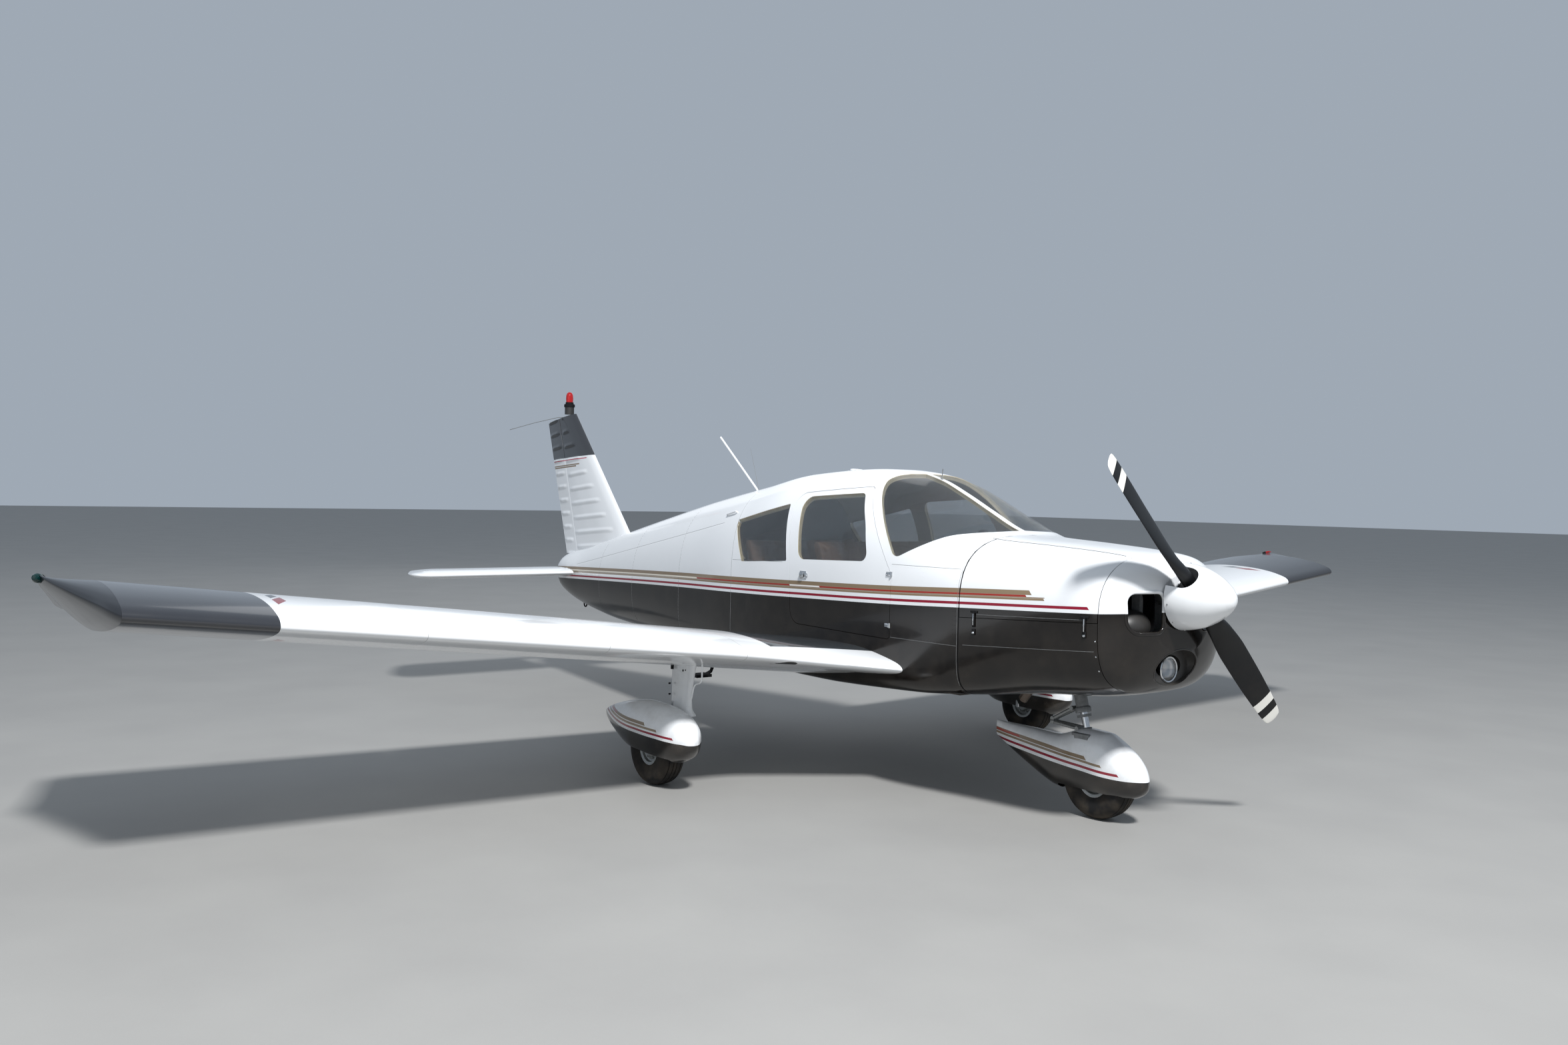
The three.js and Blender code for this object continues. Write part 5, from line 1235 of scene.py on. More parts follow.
# Tips: moulded shells whose leading edge sweeps back while the lower side scoops up to a thin outer edge.
# Columns: distance out, front and rear stations, rise of the front and of the rear edge, and the share of
# the wing's thickness left above and below
TIP = np.array([
    (4.3633, 2.066, 3.666, 0.000, 0.000, 1.000, 1.000), (4.395, 2.150, 3.565, 0.016, 0.021, 0.880, 0.86),
    (4.430, 2.292, 3.400, 0.038, 0.053, 0.710, 0.68), (4.500, 2.530, 3.070, 0.080, 0.121, 0.385, 0.36),
    (4.550, 2.698, 2.870, 0.113, 0.174, 0.150, 0.12), (4.564, 2.742, 2.815, 0.126, 0.203, 0.060, 0.05),
    (4.570, 2.768, 2.800, 0.131, 0.214, 0.015, 0.01),
])
across = np.concatenate([np.linspace(4.3633, 4.55, 34), np.linspace(4.553, 4.57, 8)])
front, rear, rise, rear_rise, above, below = columns(TIP, across)
part = 1 - np.cos(np.linspace(0, np.pi / 2, 44))
fall = wing_lean(WING_END) * WING_CHORD
base = WING_FOOT + WING_RISE * WING_END + rise * (1 - part) + (rear_rise - fall) * part
off = faired(AIRFOIL_ROOTED, np.sqrt(part)) * WING_CHORD
upper, lower = base + off[:, 0] * above, base + off[:, 1] * below
station = front + part * (rear - front)
tip_rings = np.stack([out_and_back(station, station), out_and_back(upper, lower)], -1)
tip = loft(out_along(across, tip_rings))


def pewter_colour(tree, place):
    """Metallic grey with a fleck."""
    return mixed(tree, noise(tree, place, 900.0, 1.0), tone("24262b"), tone("303338"))


pewter = enamel("pewter_paint", pewter_colour, waves=0.001, grime=0.1, roughness=0.2, Metallic=0.3,
                Coat_Weight=0.3)
for side, way in SIDES:
    piece(f"wingtip_{side}_skin", way(tip), "airframe", pewter, replaces=[f"wingtip_{side}"])


# Fin and rudder. A swept fin with ridges pressed across its sides; the rudder turns in it about the line of
# its rear edge. The top is a dark moulded cap that carries the beacon.
TAIL_FORM = np.array([(0, 0), (0.0125, 0.158), (0.05, 0.296), (0.12, 0.42), (0.3, 0.5), (0.5, 0.441),
                      (0.7, 0.305), (0.85, 0.17), (1, 0.02)])
TAIL_ROOTED = np.column_stack([np.sqrt(TAIL_FORM[:, 0]), TAIL_FORM[:, 1]])
# Foot and top of the fin: height, front and rear stations, thickness; then a point of its sloping top edge
# and the slope of that edge
FIN_FOOT, FIN_TOP = (1.060, 5.405, 6.717, 0.104), (2.360, 6.645, 7.160, 0.058)
FIN_CUT = (6.400, 2.344, -0.1356)
RUDDER_LOW, RUDDER_HIGH = np.array([6.515, 1.129]), np.array([6.873, 2.288])
RUDDER_NOSE, RUDDER_COVE = 0.024, 0.030
RIDGES, RIDGE_HEIGHT = 10, 0.007


def fin_edge(height, column):
    """Station of the fin's front (1) or rear (2) edge, or its thickness (3), at a height."""
    part = (height - FIN_FOOT[0]) / (FIN_TOP[0] - FIN_FOOT[0])
    return FIN_FOOT[column] + (FIN_TOP[column] - FIN_FOOT[column]) * part


def cut_height(column):
    """Height where an edge of the fin meets the sloping line of its top: z = z0 + k (s - s0) on the edge."""
    rate = (FIN_TOP[column] - FIN_FOOT[column]) / (FIN_TOP[0] - FIN_FOOT[0])
    start, level, slope = FIN_CUT
    return (level + slope * (FIN_FOOT[column] - rate * FIN_FOOT[0] - start)) / (1 - slope * rate)


def fin_rows(foot_front, foot_rear, share):
    """Front and rear ends of the rows of the fin, as (station, height), from the foot to the top."""
    share = np.asarray(share)[:, None]
    front_height = foot_front + (cut_height(1) - foot_front) * share
    rear_height = foot_rear + (cut_height(2) - foot_rear) * share
    front = np.hstack([fin_edge(front_height, 1), front_height])
    rear = np.hstack([fin_edge(rear_height, 2), rear_height])
    return front, rear


def fin_rings(foot_front, foot_rear, share):
    """Fixed, uncut and moving rings of the fin, as (along the row in metres, across), and its rows."""
    front, rear = fin_rows(foot_front, foot_rear, share)
    run = RUDDER_HIGH - RUDDER_LOW
    gap, row = RUDDER_LOW - front, rear - front
    hinge_part = (gap[:, 0] * run[1] - gap[:, 1] * run[0]) / (row[:, 0] * run[1] - row[:, 1] * run[0])
    length = np.linalg.norm(row, axis=1)
    thick = fin_edge((front[:, 1] + rear[:, 1]) / 2, 3)
    rings = []
    for turn in range(len(length)):
        long, fat, at = length[turn], thick[turn], hinge_part[turn]

        def surface(part, side):
            half = fat * faired(TAIL_ROOTED, np.sqrt(part))[..., 0]
            return np.stack([part * long, half * (1 - 2 * side)], -1)

        rings.append(hinged(surface, 1, np.array([[at * long, 0.0]]), at, RUDDER_NOSE, RUDDER_COVE))
    return [np.concatenate([r[i] for r in rings]) for i in range(3)], front, rear


def on_fin(rings, front, rear):
    """Rings along the rows of the fin as points."""
    way = unit(rear - front)
    place = front[:, None] + rings[..., :1] * way[:, None]
    return np.stack([MID - place[..., 0], rings[..., 1], place[..., 1]], -1)


def ridged(rings, share, count, height, low, high):
    """Rings with ridges pressed across both sides, between two places along the row given per ring."""
    wave = np.cos(2 * np.pi * count * np.asarray(share))
    ridge = (np.clip((wave - 0.55) / 0.45, 0, 1) * height)[:, None]
    past_low, before_high = rings[..., 0] - low[:, None], high[:, None] - rings[..., 0]
    window = np.clip(past_low / 0.025, 0, 1) * np.clip(before_high / 0.025, 0, 1)
    swollen = rings.copy()
    swollen[..., 1] += np.sign(rings[..., 1]) * ridge * window
    return swollen


# Cap: fall of its edge for each metre aft, and its level; lines: lowest and highest level, front end, colour
CAP_FALL, CAP_LEVEL = 0.051, 2.273
TAIL_LINES = [(2.249, 2.257, 6.34, "b0123c"), (2.203, 2.215, 6.46, "85735c"), (2.188, 2.200, 6.52, "7c674b")]


def tail_colour(tree, place):
    """White with a dark cap and three thin lines that rise to the rear below it, their ends slanted."""
    station, _, z = placed(tree, place)
    level = maths(tree, "MULTIPLY_ADD", station, CAP_FALL, z)
    cap = rising(tree, level, CAP_LEVEL, 0.001)
    colour = mixed(tree, cap, WHITE_PAINT, tone("34363a"))
    for low, high, front, code in TAIL_LINES:
        band = maths(tree, "MULTIPLY", between(tree, level, low, high), rising(tree, station, front, 0.001))
        colour = mixed(tree, band, colour, tone(code))
    return colour


tail_paint = enamel("tail_paint", tail_colour, waves=0.001, grime=0.1)
share = np.linspace(0, 1, 150)
(fin_cut, _, _), front, rear = fin_rings(1.10, 1.02, share)
hinge_at = fin_cut[..., 0].max(1)
fin_cut = ridged(fin_cut, share, RIDGES, RIDGE_HEIGHT, np.full(len(share), 0.185), hinge_at - 0.03)
fin_shape = loft(on_fin(fin_cut, front, rear))
(_, _, rudder_ring), front, rear = fin_rings(1.145, 1.092, share)
fore = rudder_ring[..., 0].min(1)
aft = rudder_ring[..., 0].max(1)
rudder_ring = ridged(rudder_ring, share, RIDGES, RIDGE_HEIGHT, fore + 0.06, aft - 0.02)
rudder_shape = loft(on_fin(rudder_ring, front, rear))
piece("fin_skin", fin_shape, "airframe", tail_paint, replaces=["fin"])
piece("rudder_skin", rudder_shape, "rudder", tail_paint, replaces=["rudder"])


# Stabilator and its tab. An all-moving tailplane on a torque tube through the cone, with a full-span tab.
PLANE_FRONT, PLANE_CHORD, PLANE_HEIGHT, PLANE_THICK = 6.285, 0.762, 0.948, 0.072
PLANE_ROOT, TAB_END = 0.168, 1.150
# Tip sections: distance out, front station, chord and thickness
PLANE_TIP = np.array([
    (1.240, 6.285, 0.762, 0.0720), (1.330, 6.287, 0.665, 0.0700), (1.410, 6.300, 0.500, 0.0610),
    (1.450, 6.318, 0.385, 0.0510), (1.490, 6.355, 0.255, 0.0370), (1.512, 6.400, 0.130, 0.0200),
    (1.520, 6.440, 0.050, 0.0080),
])
TAB_HINGE, TAB_NOSE, TAB_COVE = 6.925, 0.009, 0.015
tab_part = (TAB_HINGE - PLANE_FRONT) / PLANE_CHORD


def plane_side(part, side):
    """Station and height of the tailplane's section on its upper (0) or lower (1) side."""
    half = PLANE_THICK * faired(TAIL_ROOTED, np.sqrt(part))[..., 0]
    return np.stack([PLANE_FRONT + part * PLANE_CHORD, PLANE_HEIGHT + half * (1 - 2 * side)], -1)


tab_axis = np.array([[TAB_HINGE, PLANE_HEIGHT]])
fixed, uncut, moving = hinged(plane_side, 1, tab_axis, tab_part, TAB_NOSE, TAB_COVE)
cut_end = TAB_END + CONTROL_GAP
outboard = np.concatenate([np.linspace(1.24, 1.45, 16), np.linspace(1.458, 1.52, 18)])
tip_front, tip_chord, tip_thick = columns(PLANE_TIP, outboard)
tip_rings = np.stack([
    tip_front + (uncut[..., 0] - PLANE_FRONT) / PLANE_CHORD * tip_chord,
    PLANE_HEIGHT + (uncut[..., 1] - PLANE_HEIGHT) * tip_thick / PLANE_THICK,
], -1)
span = np.concatenate([np.linspace(PLANE_ROOT, cut_end, 20), [cut_end, 1.20]])
rings = np.concatenate([np.repeat(fixed, 20, 0), np.repeat(uncut, 2, 0), tip_rings])
half = loft(out_along(np.concatenate([span, outboard]), rings))
tube_body = rod(0.03, 0.0, 2 * PLANE_ROOT, np.array([MID - 6.5, -PLANE_ROOT, PLANE_HEIGHT]), (0, 1, 0), 32)
piece("stabilator_skin", joined(both(half), tube_body), "stabilator", plain_white,
      replaces=["stabilator"])
tab_span = np.linspace(-TAB_END, TAB_END, 60)
tab = loft(out_along(tab_span, np.repeat(moving, 60, 0)))
piece("anti_servo_tab_skin", tab, "anti_servo_tab", plain_white,
      replaces=["anti_servo_tab"])


# Wheels. Ribbed tyres on two-part cast rims, held by through bolts; the nose wheel turns on the fork's axle.
TYRE_RADIUS = 0.205
MAIN_WHEEL, NOSE_WHEEL, TRACK_HALF, LEG_OFF = 2.675, 0.790, 1.524, 1.421
rubber, tree, shader = finish("tyre_rubber", Roughness=0.82, Specular_IOR_Level=0.3)
place = own_place(tree)
low = rising(tree, 0.32, split(tree, place)[2], 0.3)
worn = maths(tree, "MULTIPLY", rising(tree, noise(tree, place, 11.0, 9.0), 0.4, 0.35), low)
toned(tree, shader, worn, "161617", "4a4238")
bumped(tree, shader, noise(tree, place, 300.0, 3.0), 0.3, 0.001)

alloy = speckled("cast_alloy", "7b7d7c", "b4b6b5", 130.0, 6.0, bump=(0.3, 0.0006), rough=(0.3, 0.3),
                 Metallic=0.85)

# Sections of the tyre and the rim, as radius and distance across
half = np.array([(0.0885, -0.050), (0.094, -0.0575), (0.108, -0.064), (0.130, -0.0715), (0.152, -0.0748),
                 (0.170, -0.073), (0.184, -0.066), (0.193, -0.057), (0.1985, -0.047), (0.2010, -0.041),
                 (0.1965, -0.0395), (0.1965, -0.0365), (0.2022, -0.035), (0.2045, -0.014), (0.2000, -0.0125),
                 (0.2000, -0.0095), (0.2048, -0.008)])
across_tyre = np.concatenate([half, half[::-1] * [1, -1]])
TYRE_FORM = np.concatenate([across_tyre, [(0.0885, -0.050)]])
RIM_FORM = [(0.0155, -0.060), (0.040, -0.060), (0.044, -0.056), (0.050, -0.044), (0.062, -0.040),
            (0.070, -0.044), (0.076, -0.056), (0.081, -0.0585), (0.0915, -0.0600), (0.0925, -0.0580),
            (0.0880, -0.0560), (0.0880, 0.0560), (0.0925, 0.0580), (0.0915, 0.0600), (0.081, 0.0585),
            (0.076, 0.056), (0.070, 0.044), (0.062, 0.040), (0.050, 0.044), (0.044, 0.056), (0.040, 0.060),
            (0.0155, 0.060), (0.0155, -0.060)]
BOLT_CIRCLE, BOLT_RADIUS, BOLT_HALF = 0.056, 0.006, 0.050
bolt_turn = np.arange(6) * np.pi / 3
for leg, side, station, across in (
    ("nose", "", NOSE_WHEEL, 0.0), ("main", "_left", MAIN_WHEEL, TRACK_HALF),
    ("main", "_right", MAIN_WHEEL, -TRACK_HALF),
):
    body = f"{leg}_wheel{side}"
    axle = np.array([MID - station, across, TYRE_RADIUS])
    piece(f"{leg}{side}_tyre_ribbed", lathe(TYRE_FORM, axle, (0, 1, 0), 96), body, rubber,
          replaces=[f"{leg}_tyre{side}"], crease=50.0)
    bolt_ways = np.column_stack([np.cos(bolt_turn), 0 * bolt_turn, np.sin(bolt_turn)])
    bolts = [
        rod(BOLT_RADIUS, -BOLT_HALF, BOLT_HALF, axle + BOLT_CIRCLE * way, (0, 1, 0), 6) for way in bolt_ways
    ]
    piece(f"{leg}{side}_rim_cast", joined(lathe(RIM_FORM, axle, (0, 1, 0), 72), *bolts), body, alloy,
          replaces=[f"{leg}_rim{side}"])


# Wheel pants. Thin moulded shells over each wheel, open below, painted like the hull with a scaled-down
# set of its stripes; each is screwed to its leg or fork.
PANT_WALL = 0.004
# Sections of a pant: station, half breadth, lowest and highest heights
NOSE_PANT = np.array([
    (0.489, 0.004, 0.214, 0.232), (0.495, 0.022, 0.197, 0.252), (0.519, 0.054, 0.166, 0.290),
    (0.553, 0.082, 0.147, 0.327), (0.593, 0.098, 0.136, 0.363), (0.640, 0.108, 0.127, 0.395),
    (0.695, 0.114, 0.120, 0.427), (0.743, 0.116, 0.118, 0.449), (0.868, 0.115, 0.116, 0.455),
    (0.996, 0.102, 0.118, 0.415), (1.053, 0.095, 0.124, 0.399), (1.113, 0.086, 0.142, 0.396),
    (1.250, 0.062, 0.196, 0.400), (1.400, 0.036, 0.262, 0.401), (1.516, 0.009, 0.318, 0.402),
])
MAIN_PANT = np.array([
    (2.292, 0.004, 0.278, 0.294), (2.300, 0.030, 0.252, 0.320), (2.320, 0.054, 0.226, 0.345),
    (2.370, 0.092, 0.186, 0.392), (2.460, 0.114, 0.152, 0.432), (2.600, 0.122, 0.140, 0.456),
    (2.770, 0.121, 0.148, 0.460), (2.900, 0.108, 0.178, 0.446), (3.060, 0.074, 0.232, 0.410),
    (3.200, 0.032, 0.288, 0.366), (3.256, 0.006, 0.318, 0.340),
])
# Paint line of a pant, and its stripes as lower and upper heights over the line, front end and colour
NOSE_LINE = [(0.40, 0.237), (0.49, 0.239), (0.70, 0.243), (0.84, 0.253), (0.99, 0.260), (1.16, 0.269),
             (1.345, 0.279), (1.60, 0.292)]
NOSE_STRIPES = [(0.016, 0.030, 0.592, "880d29"), (0.045, 0.058, 0.690, "85735c"),
                (0.0605, 0.080, 0.787, "85735c"), (0.064, 0.076, 1.300, "a23a2a")]
MAIN_LINE = [(2.20, 0.270), (2.29, 0.276), (2.34, 0.284), (2.45, 0.290), (2.70, 0.294), (2.95, 0.303),
             (3.20, 0.337), (3.40, 0.370)]
MAIN_STRIPES = [(0.0145, 0.027, 2.366, "880d29"), (0.036, 0.049, 2.497, "85735c"),
                (0.053, 0.071, 2.618, "85735c"), (0.056, 0.068, 2.980, "962a20")]


def pant_rings(table, inset, across, sides=72, rows=90):
    """Rings of a pant: superellipses |y / half|^2.5 + |z / rise|^2.5 = 1 about the middle of each section."""
    ease = (1 - np.cos(np.linspace(0, np.pi, rows))) / 2
    station = table[0, 0] + inset + (table[-1, 0] - table[0, 0] - 2 * inset) * ease
    half, low, high = columns(table, station)
    half, low = np.maximum(half - inset, 0.0015), low + inset
    high = np.maximum(high - inset, low + 0.002)
    turn = np.arange(sides) * 2 * np.pi / sides
    out, up = (np.sign(w) * np.abs(w) ** 0.8 for w in (np.cos(turn), np.sin(turn)))
    x = np.broadcast_to((MID - station)[:, None], (rows, sides))
    return np.stack([x, across + half * out, (low + high) / 2 + (high - low) / 2 * up], -1)


def pant_paint(name, line, stripes):
    """The paint of a pant: dark below its line, white above with stripes whose front ends lean back."""
    start, span = line[0][0], line[-1][0] - line[0][0]
    rows = [(station - start, height) for station, height in line]

    def colour_from(tree, place):
        station, _, z = placed(tree, place)
        along = maths(tree, "SUBTRACT", station, start)
        over = maths(tree, "SUBTRACT", z, curve_of(tree, along, rows, 0.2, 0.2, span))
        colour = mixed(tree, rising(tree, 0.0, over, EDGE_BLUR), WHITE_PAINT, DARK_PAINT)
        slanted = maths(tree, "MULTIPLY_ADD", over, -STRIPE_SLANT, station)
        for low, high, front, code in stripes:
            band = maths(tree, "MULTIPLY", between(tree, over, low, high),
                         rising(tree, slanted, front - STRIPE_SLANT * low, EDGE_BLUR))
            colour = mixed(tree, band, colour, tone(code))
        return colour

    return enamel(name, colour_from, waves=0.0006, grime=0.3)


def pant(name, table, across, cuts, body, paint, replaces):
    """A pant: its outer and inner surfaces as one solid shell, then cut open."""
    outer = loft(pant_rings(table, 0.0, across))
    inner = loft(pant_rings(table, PANT_WALL, across))
    made = piece(name, joined(outer, turned_over(inner)), body, paint, replaces=replaces)
    cut_away(made, cuts)


nose_pant_paint = pant_paint("nose_pant_paint", NOSE_LINE, NOSE_STRIPES)
main_pant_paint = pant_paint("main_pant_paint", MAIN_LINE, MAIN_STRIPES)
below = block((1.015, -0.2, 0.02), (0.548, 0.2, 0.150), 0.012)
pant("nose_pant_shell", NOSE_PANT, 0.0, [below], "nose_gear", nose_pant_paint, ["nose_pant"])
for side, sign in SIGNS:
    middle = sign * TRACK_HALF
    edge = [(2.42, 0.186), (2.99, 0.207), (2.99, 0.05), (2.42, 0.05)]
    ring = stepped(rounded([(s, h, 0.02 if h > 0.1 else 0.0) for s, h in edge]), 0.5)
    flat = np.column_stack([MID - ring[:, 0], np.full(len(ring), middle - 0.2), ring[:, 1]])
    below = loft(np.stack([flat, flat + [0, 0.4, 0]]))
    pant(f"wheel_pant_{side}_shell", MAIN_PANT, middle, [below], "airframe", main_pant_paint,
         [f"wheel_pant_{side}"])


# Main legs. An oleo strut under a flat white fairing that hangs from the wing, with a brake line down its
# front edge and small black fittings near its top.
# Fairing sections: height, front and rear stations, half breadth
LEG = np.array([(0.400, 2.470, 2.730, 0.045), (0.440, 2.492, 2.700, 0.026), (0.500, 2.492, 2.694, 0.021),
                (0.620, 2.470, 2.695, 0.022), (0.740, 2.440, 2.700, 0.026), (0.790, 2.430, 2.700, 0.028)])
leg_height = np.linspace(0.400, 0.760, 40)
front, rear, thick = columns(LEG, leg_height)
part = 1 - np.cos(np.linspace(0, np.pi / 2, 24))
form = 2 * faired(TAIL_ROOTED, np.sqrt(part))[:, 0]
station = front + part * (rear - front)
flank = thick * form
fairing = np.stack([
    MID - out_and_back(station, station), LEG_OFF + out_and_back(flank, -flank),
    np.broadcast_to(leg_height[:, None], (40, 46)),
], -1)
leg_x = MID - MAIN_WHEEL
strut = joined(
    rod(0.014, 0.19, 0.46, np.array([leg_x, LEG_OFF, 0.0]), (0, 0, 1), 24),
    rod(0.015, 0.0, 0.163, np.array([leg_x, LEG_OFF, TYRE_RADIUS]), (0, 1, 0), 24),
)
brake_line = tube(arc([(1.205, LEG_OFF + 0.012, 0.72), (1.205, LEG_OFF + 0.012, 0.60),
                       (1.13, LEG_OFF + 0.012, 0.585), (1.10, LEG_OFF + 0.01, 0.50)], 8, 0.45), 0.0045, 10)
# Station, height, breadth and height of each black fitting
FITTINGS = [(2.665, 0.655, 0.012, 0.022), (2.665, 0.690, 0.010, 0.010), (2.545, 0.650, 0.007, 0.012),
            (2.520, 0.655, 0.006, 0.007), (2.690, 0.560, 0.004, 0.010), (2.688, 0.500, 0.004, 0.010)]
fittings = joined(*(
    brick((MID - s - w / 2, LEG_OFF + 0.012, z - h / 2), (MID - s + w / 2, LEG_OFF + 0.027, z + h / 2), 0.002)
    for s, z, w, h in FITTINGS
))
for side, way in SIDES:
    piece(f"main_leg_{side}_fairing", way(loft(fairing)), "airframe", plain_white,
          replaces=[f"main_leg_{side}"])
    piece(f"main_leg_{side}_strut", way(strut), "airframe", bright)
    piece(f"brake_line_{side}", way(brake_line), "airframe", plain_white)
    piece(f"leg_fittings_{side}", way(fittings), "airframe", matte_black)


# Nose gear. A chromed piston slides in a housing on the firewall; torque links behind it keep the fork in
# line with the steering collar, and the fork's arms run down inside the pant to the axle.
STRUT_TOP, STRUT_FOOT = np.array([0.936, 0.640]), np.array([0.812, 0.205])


def on_strut(height, aft=0.0, across=0.0):
    """A point beside the strut's line at a height, so far aft of it and off the middle plane."""
    part = (np.asarray(height, float) - STRUT_FOOT[1]) / (STRUT_TOP[1] - STRUT_FOOT[1])
    station = STRUT_FOOT[0] + (STRUT_TOP[0] - STRUT_FOOT[0]) * part
    return np.stack([MID - station - aft, across + 0 * station, height + 0 * station], -1)


cast_grey = speckled("cast_grey_paint", "4e5052", "8b8d8d", 40.0, 8.0, bump=(0.2, 0.001), Roughness=0.5)

strut_way = unit(on_strut(0.8) - on_strut(0.5))
lean = 1 / strut_way[2]
housing = [(0.0195, 0.0), (0.040, 0.0), (0.042, 0.003), (0.042, 0.024), (0.040, 0.027), (0.034, 0.032),
           (0.034, 0.300), (0.0, 0.300), (0.0, 0.296), (0.0195, 0.296), (0.0195, 0.0)]
pad = block((1.2797, -0.022, 0.750), (0.980, 0.022, 0.800), 0.006)
housing_cast = joined(lathe(housing, on_strut(0.532), strut_way), pad)
piece("nose_strut_housing_cast", housing_cast, "airframe", cast_grey,
      replaces=["nose_strut_housing"])
piston = rod(0.018, 0.0, 0.36 * lean, on_strut(0.428), strut_way)
piece("nose_piston", piston, "nose_gear", bright, replaces=["nose_fork"])
arms = [
    loft(np.stack([
        np.array([(MID - s, y, z) for s, z in ((0.766, 0.18), (0.828, 0.18), (0.896, 0.434), (0.806, 0.434))])
        for y in pair
    ])) for pair in ((0.079, 0.090), (-0.090, -0.079))
]
crown = block((0.91, -0.0905, 0.422), (0.80, 0.0905, 0.436), 0.004)
axle = rod(0.0148, -0.092, 0.092, np.array([MID - NOSE_WHEEL, 0.0, TYRE_RADIUS]), (0, 1, 0), 24)
BOSS_FORM = [(0.0, 0.0), (0.029, 0.0), (0.029, 0.016), (0.024, 0.022), (0.0, 0.022)]
BAND_FORM = [(0.0185, 0.0), (0.038, 0.0), (0.038, 0.014), (0.0185, 0.014), (0.0185, 0.0)]
boss = lathe(BOSS_FORM, on_strut(0.434), strut_way)
band = lathe(BAND_FORM, on_strut(0.508), strut_way)
piece("nose_fork_cast", joined(*arms, crown, axle, boss, band), "nose_gear", cast_grey)


def link(start, end, wide_start, wide_end, thick=0.010):
    """A forged link between two pivots: two straight arms that close towards its end, and an eye at each."""
    parts = [
        tube(np.stack([start + [0, sign * wide_start, 0], end + [0, sign * wide_end, 0]]), thick, 10)
        for sign in (1, -1)
    ]
    for place, wide in ((start, wide_start), (end, wide_end)):
        parts.append(rod(0.012, -wide - 0.012, wide + 0.012, place, (0, 1, 0), 20))
    return joined(*parts)


elbow = np.array([MID - 1.100, 0.0, 0.465])
links = joined(
    link(on_strut(0.548, 0.050), elbow + [0, 0, 0.008], 0.026, 0.012),
    link(on_strut(0.446, 0.040), elbow - [0, 0, 0.010], 0.026, 0.012),
)
piece("torque_links", links, "nose_gear", alloy, crease=50.0)


# Seats. Foam over a steel frame under a brown leather cover: two buckets in front, each on two rails,
# and one bench behind. Every seat is one padded piece, swollen against its cover by a cloth simulation,
# with its channels sewn in afterwards.
# Front edge, middle off the plane of symmetry, half breadth, top of the cushion and top of the back
SEATS = {"seat_front_left": (2.060, 0.265, 0.220, 0.930, 1.400),
         "seat_rear": (2.790, 0.0, 0.480, 0.920, 1.380)}
CUSHION_THICK = 0.110
ROOM = 0.014  # left round the foam for its swelling
CHANNEL_GAP, CHANNEL_DEEP, CHANNEL_HALF = 0.088, 0.006, 0.006
LAST_FRAME, VOXEL, MOST_SWELL = 20, 0.010, 0.024


def slab(corners, low, high):
    """An outline of station and height pushed across the cabin from y = low to y = high."""
    line = stepped(rounded(corners), 0.05)
    flat = np.column_stack([MID - line[:, 0], 0 * line[:, 0], line[:, 1]])
    return loft(np.stack([flat + [0, y, 0] for y in np.linspace(low, high, 9)]))


def swollen(made):
    """Remeshes a piece, blows it up under cloth for LAST_FRAME frames, and caps how far any point moves."""
    change = made.modifiers.new("even_mesh", "REMESH")
    change.mode, change.voxel_size = "VOXEL", VOXEL
    bpy.context.view_layer.objects.active = made
    bpy.ops.object.modifier_apply(modifier=change.name)
    count = len(made.data.vertices)
    rest = np.zeros(count * 3)
    made.data.vertices.foreach_get("co", rest)
    cloth = made.modifiers.new("filling", "CLOTH")
    cloth.settings.quality = 4
    cloth.settings.mass = 0.3
    cloth.settings.use_pressure = True
    cloth.settings.uniform_pressure_force = 4.0
    cloth.settings.effector_weights.gravity = 0.0
    cloth.point_cache.frame_start, cloth.point_cache.frame_end = 1, LAST_FRAME
    for moment in range(1, LAST_FRAME + 1):
        bpy.context.scene.frame_set(moment)
    seen = made.evaluated_get(bpy.context.evaluated_depsgraph_get()).data
    blown = np.zeros(count * 3)
    seen.vertices.foreach_get("co", blown)
    made.modifiers.remove(cloth)
    bpy.context.scene.frame_set(1)
    step = (blown - rest).reshape(-1, 3)
    far = np.linalg.norm(step, axis=1, keepdims=True)
    rest += (step * np.minimum(1, MOST_SWELL / np.maximum(far, 1e-9))).ravel()
    made.data.vertices.foreach_set("co", rest)
    made.data.update()
    return rest.reshape(-1, 3)


def sewn(made, points, middle):
    """Draws the cover in along channels that run fore and aft: depth falls off as exp(-(d / half)^2)."""
    normals = np.zeros(len(points) * 3)
    made.data.vertices.foreach_get("normal", normals)
    normals = normals.reshape(-1, 3)
    off = np.abs((points[:, 1] - middle + CHANNEL_GAP / 2) % CHANNEL_GAP - CHANNEL_GAP / 2)
    faces_room = np.clip((np.maximum(normals[:, 2], normals[:, 0]) - 0.5) / 0.3, 0, 1)
    deep = CHANNEL_DEEP * np.exp(-((off / CHANNEL_HALF) ** 2)) * faces_room
    made.data.vertices.foreach_set("co", (points - normals * deep[:, None]).ravel())
    smooth = made.modifiers.new("soft", "SUBSURF")
    smooth.levels = smooth.render_levels = 1
    bpy.context.view_layer.objects.active = made
    bpy.ops.object.modifier_apply(modifier=smooth.name)
    made.data.polygons.foreach_set("use_smooth", np.ones(len(made.data.polygons), bool))


leather, tree, shader = finish("brown_leather", Roughness=0.55, Coat_Weight=0.08, Coat_Roughness=0.4)
place = own_place(tree)
toned(tree, shader, noise(tree, place, 9.0, 7.0), "3b2717", "6e4c2c")
hide = node(tree, "ShaderNodeTexVoronoi", {"Vector": place, "Scale": 420.0})
bumped(tree, shader, hide.outputs["Distance"], 0.35, 0.0008)

